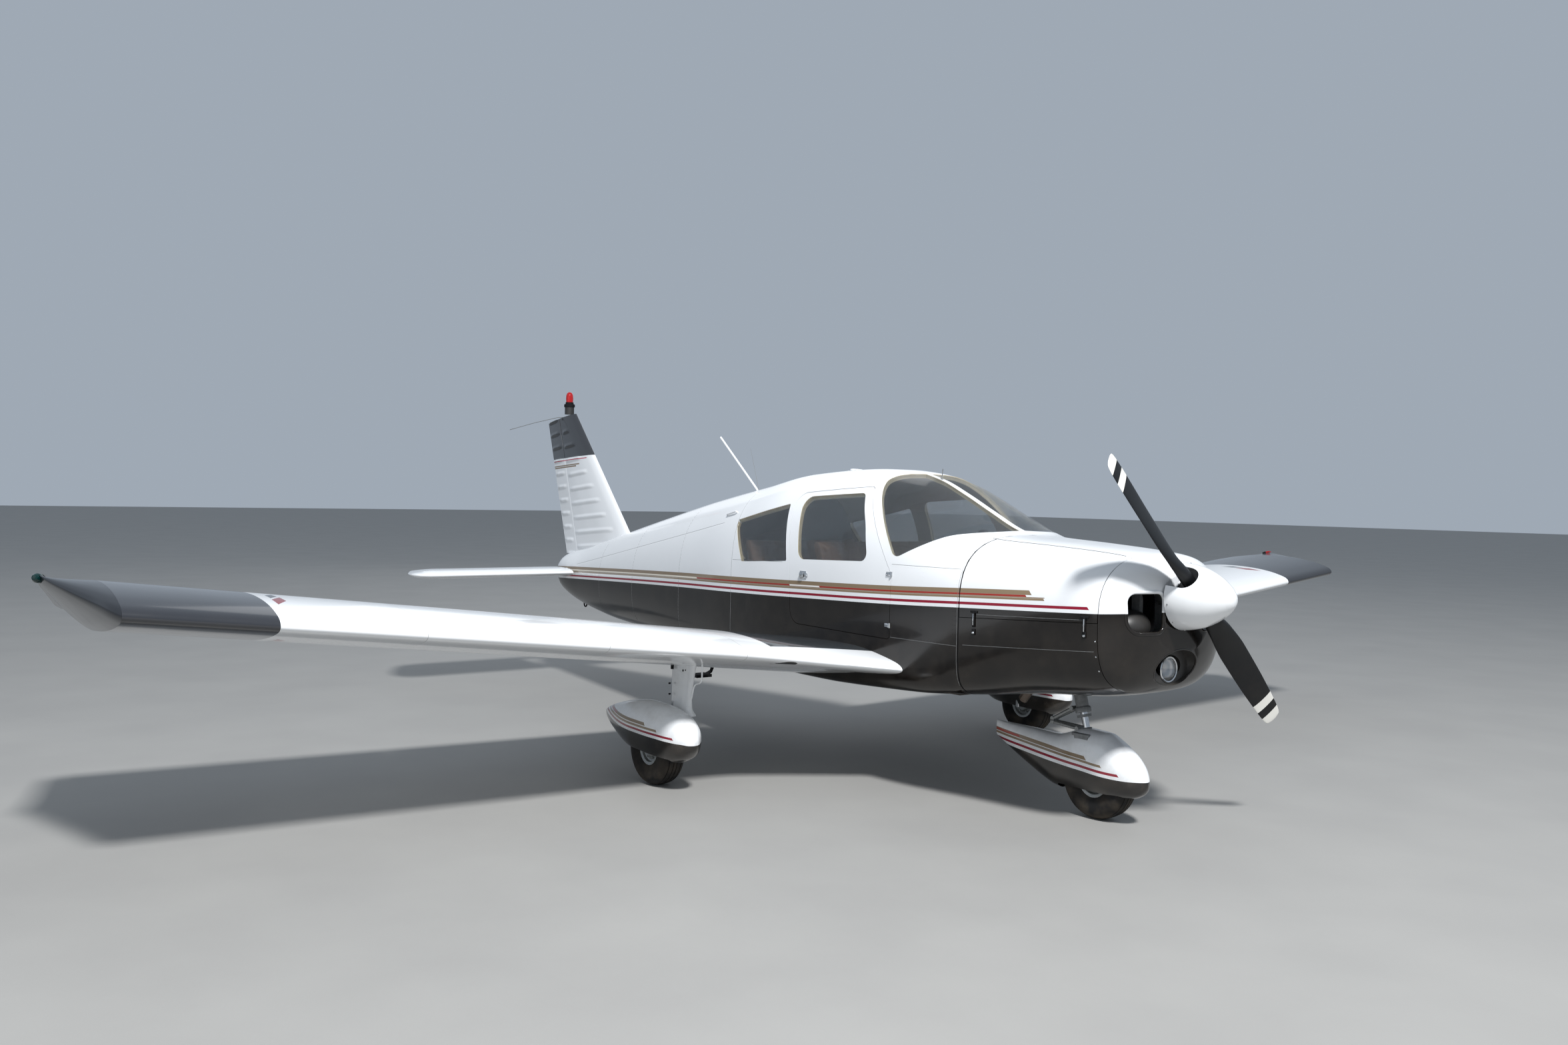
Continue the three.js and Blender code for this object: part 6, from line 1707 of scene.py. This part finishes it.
seat_steel = []
for name, (front, across, half, seat_top, back_top) in SEATS.items():
    wide = half - ROOM
    low, high = seat_top - CUSHION_THICK + ROOM, seat_top - ROOM
    cushion = slab([(front + ROOM, low, 0.03), (front + 0.47, low, 0.03), (front + 0.47, high, 0.03),
                    (front + ROOM, high, 0.045)], across - wide, across + wide)
    rest = slab([(front + 0.425, seat_top - 0.05, 0.03), (front + 0.50, seat_top - 0.06, 0.03),
                 (front + 0.578, back_top - ROOM, 0.035), (front + 0.520, back_top - ROOM, 0.025)],
                across - wide, across + wide)
    made = piece(name + "_padding", joined(cushion, rest), "airframe", leather, replaces=[name])
    points = swollen(made)
    sewn(made, points, across)
    middles = [across]
    if name == "seat_front_left":
        middles.append(-across)
        twin = bpy.data.objects.new("seat_front_right_padding", made.data.copy())
        bpy.context.collection.objects.link(twin)
        place_of = np.zeros(3 * len(twin.data.vertices))
        twin.data.vertices.foreach_get("co", place_of)
        place_of[1::3] -= 2 * across
        twin.data.vertices.foreach_set("co", place_of)
        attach(twin, "airframe")
        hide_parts("seat_front_right")
    for middle in middles:
        base = brick((MID - front - 0.43, middle - half + 0.03, 0.64),
                     (MID - front - 0.04, middle + half - 0.03, seat_top - 0.095), 0.01)
        feet = [
            brick((MID - front - 0.42, y - 0.018, 0.585), (MID - front - 0.05, y + 0.018, 0.645), 0.004)
            for y in (middle - 0.155, middle + 0.155)
        ]
        seat_steel += [base, *feet]
piece("seat_frames", joined(*seat_steel), "airframe", matte_black)


# Cabin. Dark carpet on the floor, the instrument panel with its round gauges and radio stack under a padded
# glareshield, two control wheels on their shafts, and a compass on the middle of the screen.
carpet = speckled("carpet", "1d1a18", "4a423b", 500.0, bump=(0.6, 0.002), Roughness=0.95, Sheen_Weight=0.4)
carpet_sheet = block((3.37, -0.50, 0.602), (1.32, 0.50, 0.612), 0.003)
piece("cabin_carpet", carpet_sheet, "airframe", carpet)

PANEL_FACE, GLARE_TOP = 1.560, 1.402
PANEL_ROOM = 0.035
DIAL_RADIUS = 0.034
RADIO_HEIGHTS = (1.325, 1.272, 1.219, 1.166)
gauge_rows = [(y, z) for y in (0.37, 0.278, 0.186) for z in (1.285, 1.190)]
gauge_rows += [(-0.20, 1.285), (-0.29, 1.285), (-0.38, 1.285), (0.186, 1.10), (0.37, 1.10)]
BEZEL_FORM = [(0.034, 0.0), (0.041, 0.0), (0.041, 0.004), (0.038, 0.007), (0.034, 0.005), (0.034, 0.0)]
MARK_SIZE = np.array([0.0006, 0.001, 0.001])
bezels, dials, needles = [], [], []
for y, z in gauge_rows:
    at = np.array([MID - PANEL_FACE, y, z])
    bezels.append(lathe(BEZEL_FORM, at, (-1, 0, 0), 28))
    dials.append(rod(DIAL_RADIUS, 0.001, 0.002, at, (-1, 0, 0), 28))
    lean = 2.1 * y + 7.0 * z  # spreads the needles over their dials
    start = at - [0.004, 0, 0]
    tip = at + np.array([-0.004, 0.026 * np.cos(lean), 0.026 * np.sin(lean)])
    needles.append(tube(np.stack([start, (start + tip) / 2, tip]), 0.0012, 6))
    for mark in np.arange(12) * np.pi / 6:
        spot = at + np.array([-0.003, 0.029 * np.cos(mark), 0.029 * np.sin(mark)])
        needles.append(brick(spot - MARK_SIZE, spot + MARK_SIZE, 0.0003, 1))
stack = [brick((MID - PANEL_FACE - 0.008, -0.075, z - 0.022), (MID - PANEL_FACE + 0.01, 0.095, z + 0.022),
               0.003) for z in RADIO_HEIGHTS]
knobs = [
    lathe([(0.0, 0.008), (0.009, 0.008), (0.008, 0.024), (0.0, 0.024)], np.array([MID - PANEL_FACE, y, z]),
          (-1, 0, 0), 12) for y in (-0.062, 0.082) for z in RADIO_HEIGHTS
]
height = np.linspace(0.985, 1.385, 24)
half = hull(np.full(24, 1.58), angle_at_height(np.full(24, 1.58), height))[:, 1] - PANEL_ROOM
edge = np.concatenate([np.column_stack([half, height]), np.column_stack([-half, height])[::-1]])
face = prism(edge, MID - PANEL_FACE - 0.04, MID - PANEL_FACE)
run = np.linspace(1.36, PANEL_FACE + 0.045, 16)
half = hull(run, angle_at_height(run, GLARE_TOP + 0 * run))[:, 1] - PANEL_ROOM
edge = np.concatenate([np.column_stack([MID - run, half]), np.column_stack([MID - run, -half])[::-1]])
shelf = [np.column_stack([edge, np.full(len(edge), z)]) for z in (1.384, GLARE_TOP)]
glare = loft(np.stack(shelf))
panel_black = speckled("panel_black", "151516", "2b2c2e", 300.0, bump=(0.4, 0.0006), Roughness=0.6)
piece("panel_board", joined(face, glare), "airframe", panel_black,
      replaces=["instrument_panel"])
piece("panel_bezels", joined(*bezels, *stack, *knobs), "airframe", matte_black)
dial_face = speckled("dial_face", "0b0b0c", "1d1f22", 120.0, Roughness=0.35)
piece("panel_dials", joined(*dials), "airframe", dial_face)
piece("panel_needles", joined(*needles), "airframe", plain_white)

GRIP = [(-0.117, 1.268), (-0.120, 1.182), (-0.045, 1.176), (0.045, 1.176), (0.120, 1.182), (0.117, 1.268)]
WHEEL_HEIGHT = 1.18
shaft_x = MID - PANEL_FACE
wheels_shape = []
for y in (0.270, -0.270):
    hub_at = np.array([shaft_x - 0.142, y, WHEEL_HEIGHT])
    shaft = np.array([(shaft_x + forward, y, WHEEL_HEIGHT) for forward in (0.004, -0.07, -0.14)])
    wheels_shape += [
        tube(shaft, 0.011, 14), tube(arc([(hub_at[0], y + off, z) for off, z in GRIP], 8, 0.5), 0.0125),
        brick(hub_at - [0.012, 0.045, 0.022], hub_at + [0.014, 0.045, 0.022], 0.008),
    ]
piece("control_wheels", joined(*wheels_shape), "airframe", panel_black)
compass_at = np.array([MID - 1.66, 0.0, 1.432])
compass = [
    lathe([(0.0, -0.036), (0.020, -0.034), (0.034, -0.018), (0.037, 0.0), (0.034, 0.018), (0.020, 0.034),
           (0.0, 0.036)],
          compass_at, (1, 0, 0), 28),
    brick(compass_at - [0.012, 0.012, 0.032], compass_at + [0.012, 0.012, -0.028], 0.003),
]
piece("compass", joined(*compass), "airframe", panel_black)


# Finishes of the solids that show as they are: firewall, bulkhead, engine block, exhaust pipe, whip aerial,
# step and tail ring.
soot = speckled("sooted_steel", "3a2c22", "8a7f76", 30.0, 8.0, Metallic=0.7, Roughness=0.55)
for name, finish_of_it in (
    ("firewall", matte_black), ("rear_bulkhead", matte_black), ("engine", cast_grey), ("exhaust_pipe", soot),
    ("antenna_whip", plain_white), ("boarding_step", matte_black), ("tail_ring", matte_black),
):
    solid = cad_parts[name]
    solid.data.materials.clear()
    solid.data.materials.append(finish_of_it)


# Fittings on the skin, each drawn on the starboard side in its own frame: x forward along the skin, z up it
# and y inward, so that a part stands out toward -y.
def at_skin(station, height):
    """Point of the starboard skin and the frame there, as columns forward, inward and up."""
    angle = angle_at_height(station, height, -1)
    point = hull(np.array(station, float), angle)
    ahead = unit(hull(np.array(station - 0.01), angle_at_height(station - 0.01, height, -1)) - point)
    up = unit(hull(np.array(station, float), angle - 0.01) - point)
    up = unit(up - (up @ ahead) * ahead)
    return point, np.column_stack([ahead, np.cross(up, ahead), up])


def fitted(shape, station, height, lift=0.0):
    """A shape in the frame of the starboard skin, moved to its place and lifted off the skin by `lift`."""
    point, axes = at_skin(station, height)
    return (shape[0] - [0, lift, 0]) @ axes.T + point, shape[1]


OUT = np.array([0.0, -1.0, 0.0])


def button(radius, tall, x=0.0, z=0.0, sides=16):
    """A round head that stands on the skin, a little domed."""
    return lathe([(0.0, 0.0), (radius, 0.0), (radius, 0.6 * tall), (0.7 * radius, 0.92 * tall), (0.0, tall)],
                 np.array([x, 0.0, z]), OUT, sides)


# Cowl latches, by station, top and length: a hooked bar under a short crosspiece, a round catch at its foot
LATCHES = [(0.505, 1.093, 0.107), (1.175, 1.065, 0.126)]
bars, strips, catches = [], [], []
for station, top, long in LATCHES:
    foot = top - long
    bars += [
        fitted(brick((-0.022, -0.007, -0.006), (0.022, 0.001, 0.006), 0.002), station, top - 0.006),
        fitted(brick((-0.007, -0.008, -0.04), (0.007, 0.0, 0.04), 0.003), station, top - 0.045, 0.001),
        fitted(brick((-0.010, -0.006, -0.016), (0.010, 0.0, 0.016), 0.003), station, foot + 0.016, 0.001),
    ]
    strips.append(fitted(brick((-0.003, -0.010, -0.03), (0.003, -0.007, 0.03), 0.001), station, top - 0.045))
    catches.append(fitted(button(0.008, 0.011), station, foot + 0.012))
bars, strips, catches = joined(*bars), joined(*strips), joined(*catches)
# The cowl doors' fittings are drawn to starboard and mirrored to port
DOOR_SIDES = (("right", lambda shape: shape), ("left", mirrored))
for side, way in DOOR_SIDES:
    piece(f"latch_bars_{side}", way(bars), f"cowl_door_{side}", matte_black)
    piece(f"latch_strips_{side}", way(strips), f"cowl_door_{side}", bright)
piece("latch_catches", both(catches), "airframe", bright)

# Cabin door: paddle handle with a key lock, and two hinges on its front edge
HANDLE_AT = (2.585, 1.164)
handle = joined(*(fitted(part, *HANDLE_AT) for part in (
    brick((-0.030, -0.003, -0.024), (0.030, 0.001, 0.024), 0.0015),
    brick((-0.024, -0.014, -0.014), (0.012, -0.006, 0.014), 0.004),
    button(0.013, 0.009, 0.034), button(0.005, 0.012, 0.034),
)))
piece("door_handle", handle, "cabin_door", bright)
HINGE_AT = 1.800
leaf = brick((-0.036, -0.005, -0.011), (0.004, 0.001, 0.011), 0.002)
barrel = rod(0.0065, -0.013, 0.013, np.array([0.006, -0.004, 0.0]), (0, 0, 1), 14)
hinges, pins = [], []
for height in (1.216, 0.932):
    hinges += [fitted(leaf, HINGE_AT, height), fitted(barrel, HINGE_AT, height)]
    pins += [fitted(button(0.0025, 0.003, x, z, 8), HINGE_AT, height, 0.004)
             for x in (-0.030, -0.018) for z in (-0.006, 0.006)]
piece("door_hinges", joined(*hinges, *pins), "airframe", bright)

# Piano hinges of the cowl doors: a thin knuckled rod along each shoulder
run = np.linspace(HINGE_FRONT[0], HINGE_REAR[0], 90)
line = hull(run, angle_at_breadth(run, hinge_line(run)), -0.0004)
knuckle = np.where(np.arange(90) % 2 == 0, 0.0022, 0.0018)
hinge_rod = tube(line, knuckle, 8)
piece("cowl_hinge_rods", both(hinge_rod), "airframe", cast_grey)

# Grab handle behind the rear window, a bent rod on two feet
feet = [np.array([MID - s, y, z]) for s, y, z in ((3.602, -0.420, 1.483), (3.468, -0.437, 1.509))]
off = np.array([0.0, -0.022, 0.020])
grab = arc([feet[0], feet[0] + off, feet[1] + off, feet[1]], 8, 0.42)
piece("grab_handle", joined(tube(grab, 0.006, 12), *(
    lathe([(0.0, -0.004), (0.013, -0.004), (0.011, 0.004), (0.0, 0.004)], foot, unit(off),
          16) for foot in feet
)), "airframe", plain_white)

# Roof: a low cabin vent, the thermometer's stem on the screen post, and the thin aerial beside the whip
vent = joined(
    block((2.835, -0.045, 1.790), (2.745, 0.045, 1.806), 0.006),
    block((2.825, -0.028, 1.802), (2.795, 0.028, 1.818), 0.006),
    block((2.782, -0.028, 1.802), (2.760, 0.028, 1.815), 0.006),
)
piece("roof_vent", vent, "airframe", plain_white)
stem = joined(
    lathe([(0.0, 0.0), (0.009, 0.0), (0.007, 0.006), (0.0025, 0.010), (0.0025, 0.062), (0.0, 0.064)],
          np.array([MID - 2.01, 0.0, 1.752]), (0.12, 0, 1), 14),
    lathe([(0.0, 0.0), (0.010, 0.0), (0.009, 0.012), (0.0015, 0.020), (0.0009, 0.34), (0.0, 0.342)],
          np.array([MID - 3.846, 0.0, 1.650]), (-0.37, 0, 1), 12),
)
piece("thin_aerials", stem, "airframe", cast_grey)

# Fin top: rotating beacon in a dark base under a red dome, and a pair of whisker aerials raked aft
BEACON_AT = np.array([MID - 6.728, 0.0, 2.336])
piece("beacon_base", rod(0.041, -0.02, 0.046, BEACON_AT, (0, 0, 1), 36),
      "airframe", charcoal, replaces=["beacon"])
COLLAR_FORM = [(0.0, 0.044), (0.047, 0.044), (0.047, 0.066), (0.036, 0.072), (0.034, 0.086), (0.0, 0.086)]
DOME_FORM = [(0.0, 0.086), (0.030, 0.086), (0.032, 0.120), (0.030, 0.147), (0.023, 0.165), (0.012, 0.174),
             (0.0, 0.176)]
piece("beacon_collar", lathe(COLLAR_FORM, BEACON_AT, (0, 0, 1), 36), "airframe", matte_black)
red_lens, tree, shader = finish("red_lens", Transmission_Weight=0.35, IOR=1.49, Roughness=0.12)
ribs = node(tree, "ShaderNodeTexWave", {"Vector": own_place(tree), "Scale": 90.0}, bands_direction="Z")
toned(tree, shader, ribs.outputs["Fac"], "a80e12", "d83030")
piece("beacon_dome", lathe(DOME_FORM, BEACON_AT, (0, 0, 1), 36), "airframe", red_lens)
whisker = tube(np.array([(MID - 6.79, -0.004, 2.293), (MID - 6.86, -0.05, 2.290), (MID - 7.03, -0.18, 2.245),
                         (MID - 7.22, -0.335, 2.180)]), 0.0028, 8)
piece("whisker_aerials", both(whisker), "airframe", cast_grey)

# Navigation lights: glass bulbs on the wing tips' forward corners, green to starboard and red to port
LIGHT_STATION, LIGHT_OFF, LIGHT_HEIGHT = 2.770, 4.562, 1.224
BULB_FORM = [(0.0, -0.014), (0.017, -0.012), (0.0215, 0.004), (0.0205, 0.020), (0.013, 0.034), (0.0, 0.040)]
SOCKET_FORM = [(0.0, -0.034), (0.014, -0.034), (0.0195, -0.014), (0.0195, -0.008), (0.0, -0.008)]
for side, sign, low, high in (("right", -1, "03201f", "0a4040"), ("left", 1, "8e0d10", "c8272a")):
    glass = speckled(f"navigation_glass_{side}", low, high, 45.0, Transmission_Weight=0.4, IOR=1.49,
                     Roughness=0.06)
    at, way = np.array([MID - LIGHT_STATION, sign * LIGHT_OFF, LIGHT_HEIGHT]), (0.75, sign * 0.55, 0.15)
    piece(f"navigation_light_{side}", lathe(BULB_FORM, at, way, 28), "airframe", glass)
    piece(f"navigation_socket_{side}", lathe(SOCKET_FORM, at, way, 24), "airframe", matte_black)


# Seams and fastenings. Lapped edges show as fine dark lines, and rows of dome-headed rivets run beside them;
# screws hold the bowl and the spinner.
def seam(station, angle, radius=0.0011):
    """A fine raised line on the skin through stations and angles, part sunk."""
    return tube(hull(np.asarray(station, float), np.asarray(angle, float), 0.0004), radius, 6)


def up_side(station, low, high, count=40):
    """Stations and angles of a vertical line on the starboard side between two heights."""
    height = np.linspace(low, high, count)
    at = np.full(count, float(station))
    return at, angle_at_height(at, height, -1)


def along_side(start, end, count=50):
    """Stations and angles of a line on the starboard side between two (station, height) points."""
    part = np.linspace(0, 1, count)[:, None]
    rows = np.array(start) * (1 - part) + np.array(end) * part
    return rows[:, 0], angle_at_height(rows[:, 0], rows[:, 1], -1)


SEAM_RUNS = [
    up_side(3.3997, 0.60, 1.66), up_side(1.292, 0.66, 1.40), up_side(4.20, 0.62, 1.52),
    up_side(5.05, 0.66, 1.36),
    up_side(5.75, 0.70, 1.22), along_side((1.80, 1.271), (1.305, 1.271)),
    along_side((3.39, 1.215), (2.80, 1.232)),
    along_side((3.60, 1.45), (6.30, 1.02), 90), along_side((1.25, 0.88), (0.46, 0.925)),
    along_side((1.295, 0.87), (1.79, 0.868)),
]
lines = joined(*(seam(*run) for run in SEAM_RUNS))
piece("skin_seams", both(lines), "airframe", cast_grey)
lap = seam(*along_side((1.16, 1.046), (0.52, 1.072)))
for side, way in DOOR_SIDES:
    piece(f"cowl_door_lap_{side}", way(lap), f"cowl_door_{side}", cast_grey)


def rivets(points, normals, radius=0.0028, tall=0.0011):
    """Six-sided domes on points: a ring at the skin, a smaller one above it and a closing top."""
    normals = unit(normals)
    guide = np.where(np.abs(normals[:, :1]) > 0.8, [[0.0, 0.0, 1.0]], [[1.0, 0.0, 0.0]])
    across = unit(np.cross(normals, guide))
    rings = [ringed(points + rise * normals, size, across, np.cross(normals, across), 6)
             for size, rise in ((radius, -0.0006), (0.6 * radius, tall))]
    top = points + 1.15 * tall * normals
    own = np.concatenate([*rings, top[:, None]], axis=1)
    start = np.arange(len(points))[:, None, None] * 13
    here, on = np.arange(6), (np.arange(6) + 1) % 6
    sides = np.column_stack([here, on, on + 6, here + 6])[None] + start
    caps = np.column_stack([here + 6, on + 6, np.full(6, 12)])[None] + start
    return own.reshape(-1, 3), [sides.reshape(-1, 4), caps.reshape(-1, 3)]


def hull_rivets(station, angle, spacing=0.024, shift=0.0):
    """Points and normals of a row of rivets on the hull along a run, `shift` aside of it in station."""
    line = hull(station + shift, angle)
    way = np.concatenate([[0], np.cumsum(np.linalg.norm(np.diff(line, axis=0), axis=1))])
    at = np.arange(spacing / 2, way[-1], spacing)
    s, a = np.interp(at, way, station + shift), np.interp(at, way, angle)
    point = hull(s, a)
    normal = np.cross(hull(s, a + 0.002) - point, hull(s + 0.002, a) - point)
    return point, normal * np.sign(np.sum(normal * (point - hull(s, a, 0.02)), axis=1, keepdims=True))


RIVET_RUNS = [
    (up_side(3.3997, 0.60, 1.66), -0.012), (up_side(3.3997, 0.60, 1.66), 0.012),
    (up_side(1.292, 0.66, 1.40), 0.012), (up_side(4.20, 0.62, 1.52), 0.0), (up_side(5.05, 0.66, 1.36), 0.0),
    (up_side(5.75, 0.70, 1.22), 0.0), (up_side(2.742, 0.62, 1.225), 0.0), (up_side(2.757, 0.62, 0.86), 0.0),
    (up_side(1.783, 0.86, 1.25), 0.0), (up_side(1.55, 0.87, 1.26), 0.0), (up_side(1.32, 0.87, 1.26), 0.0),
    (along_side((1.80, 1.262), (1.305, 1.262)), 0.0), (along_side((3.39, 1.206), (2.80, 1.223)), 0.0),
    (along_side((3.60, 1.441), (6.30, 1.011), 90), 0.0), (along_side((1.295, 0.878), (1.79, 0.876)), 0.0),
    (along_side((2.80, 0.80), (3.39, 0.79)), 0.0), (along_side((3.40, 1.60), (2.85, 1.69)), 0.0),
    (up_side(3.02, 0.62, 1.19), 0.0),
]
points, normals = zip(*(hull_rivets(*run, shift=shift) for run, shift in RIVET_RUNS))
heads = rivets(np.concatenate(points), np.concatenate(normals))
piece("skin_rivets", both(heads), "airframe", hull_paint, crease=80.0)

# Screws with bright heads round the bowl's seam and on the spinner
heads = rivets(*hull_rivets(*up_side(0.452, 0.80, 1.03), spacing=0.075), 0.0045, 0.0016)
piece("cowl_screws", both(heads), "airframe", bright, crease=80.0)
turn = np.arange(10) * 2 * np.pi / 10 + 0.2
clear_of_slots = np.abs((turn - BLADE_ANGLE + np.pi / 2) % np.pi - np.pi / 2) > 0.5
turn = turn[clear_of_slots]
across = np.stack([0 * turn, np.cos(turn), np.sin(turn)], -1)
heads = rivets(spinner_axis + [-0.284, 0, 0] + 0.1636 * across, across, 0.005, 0.002)
piece("spinner_screws", heads, "propeller_disc", bright, crease=80.0)
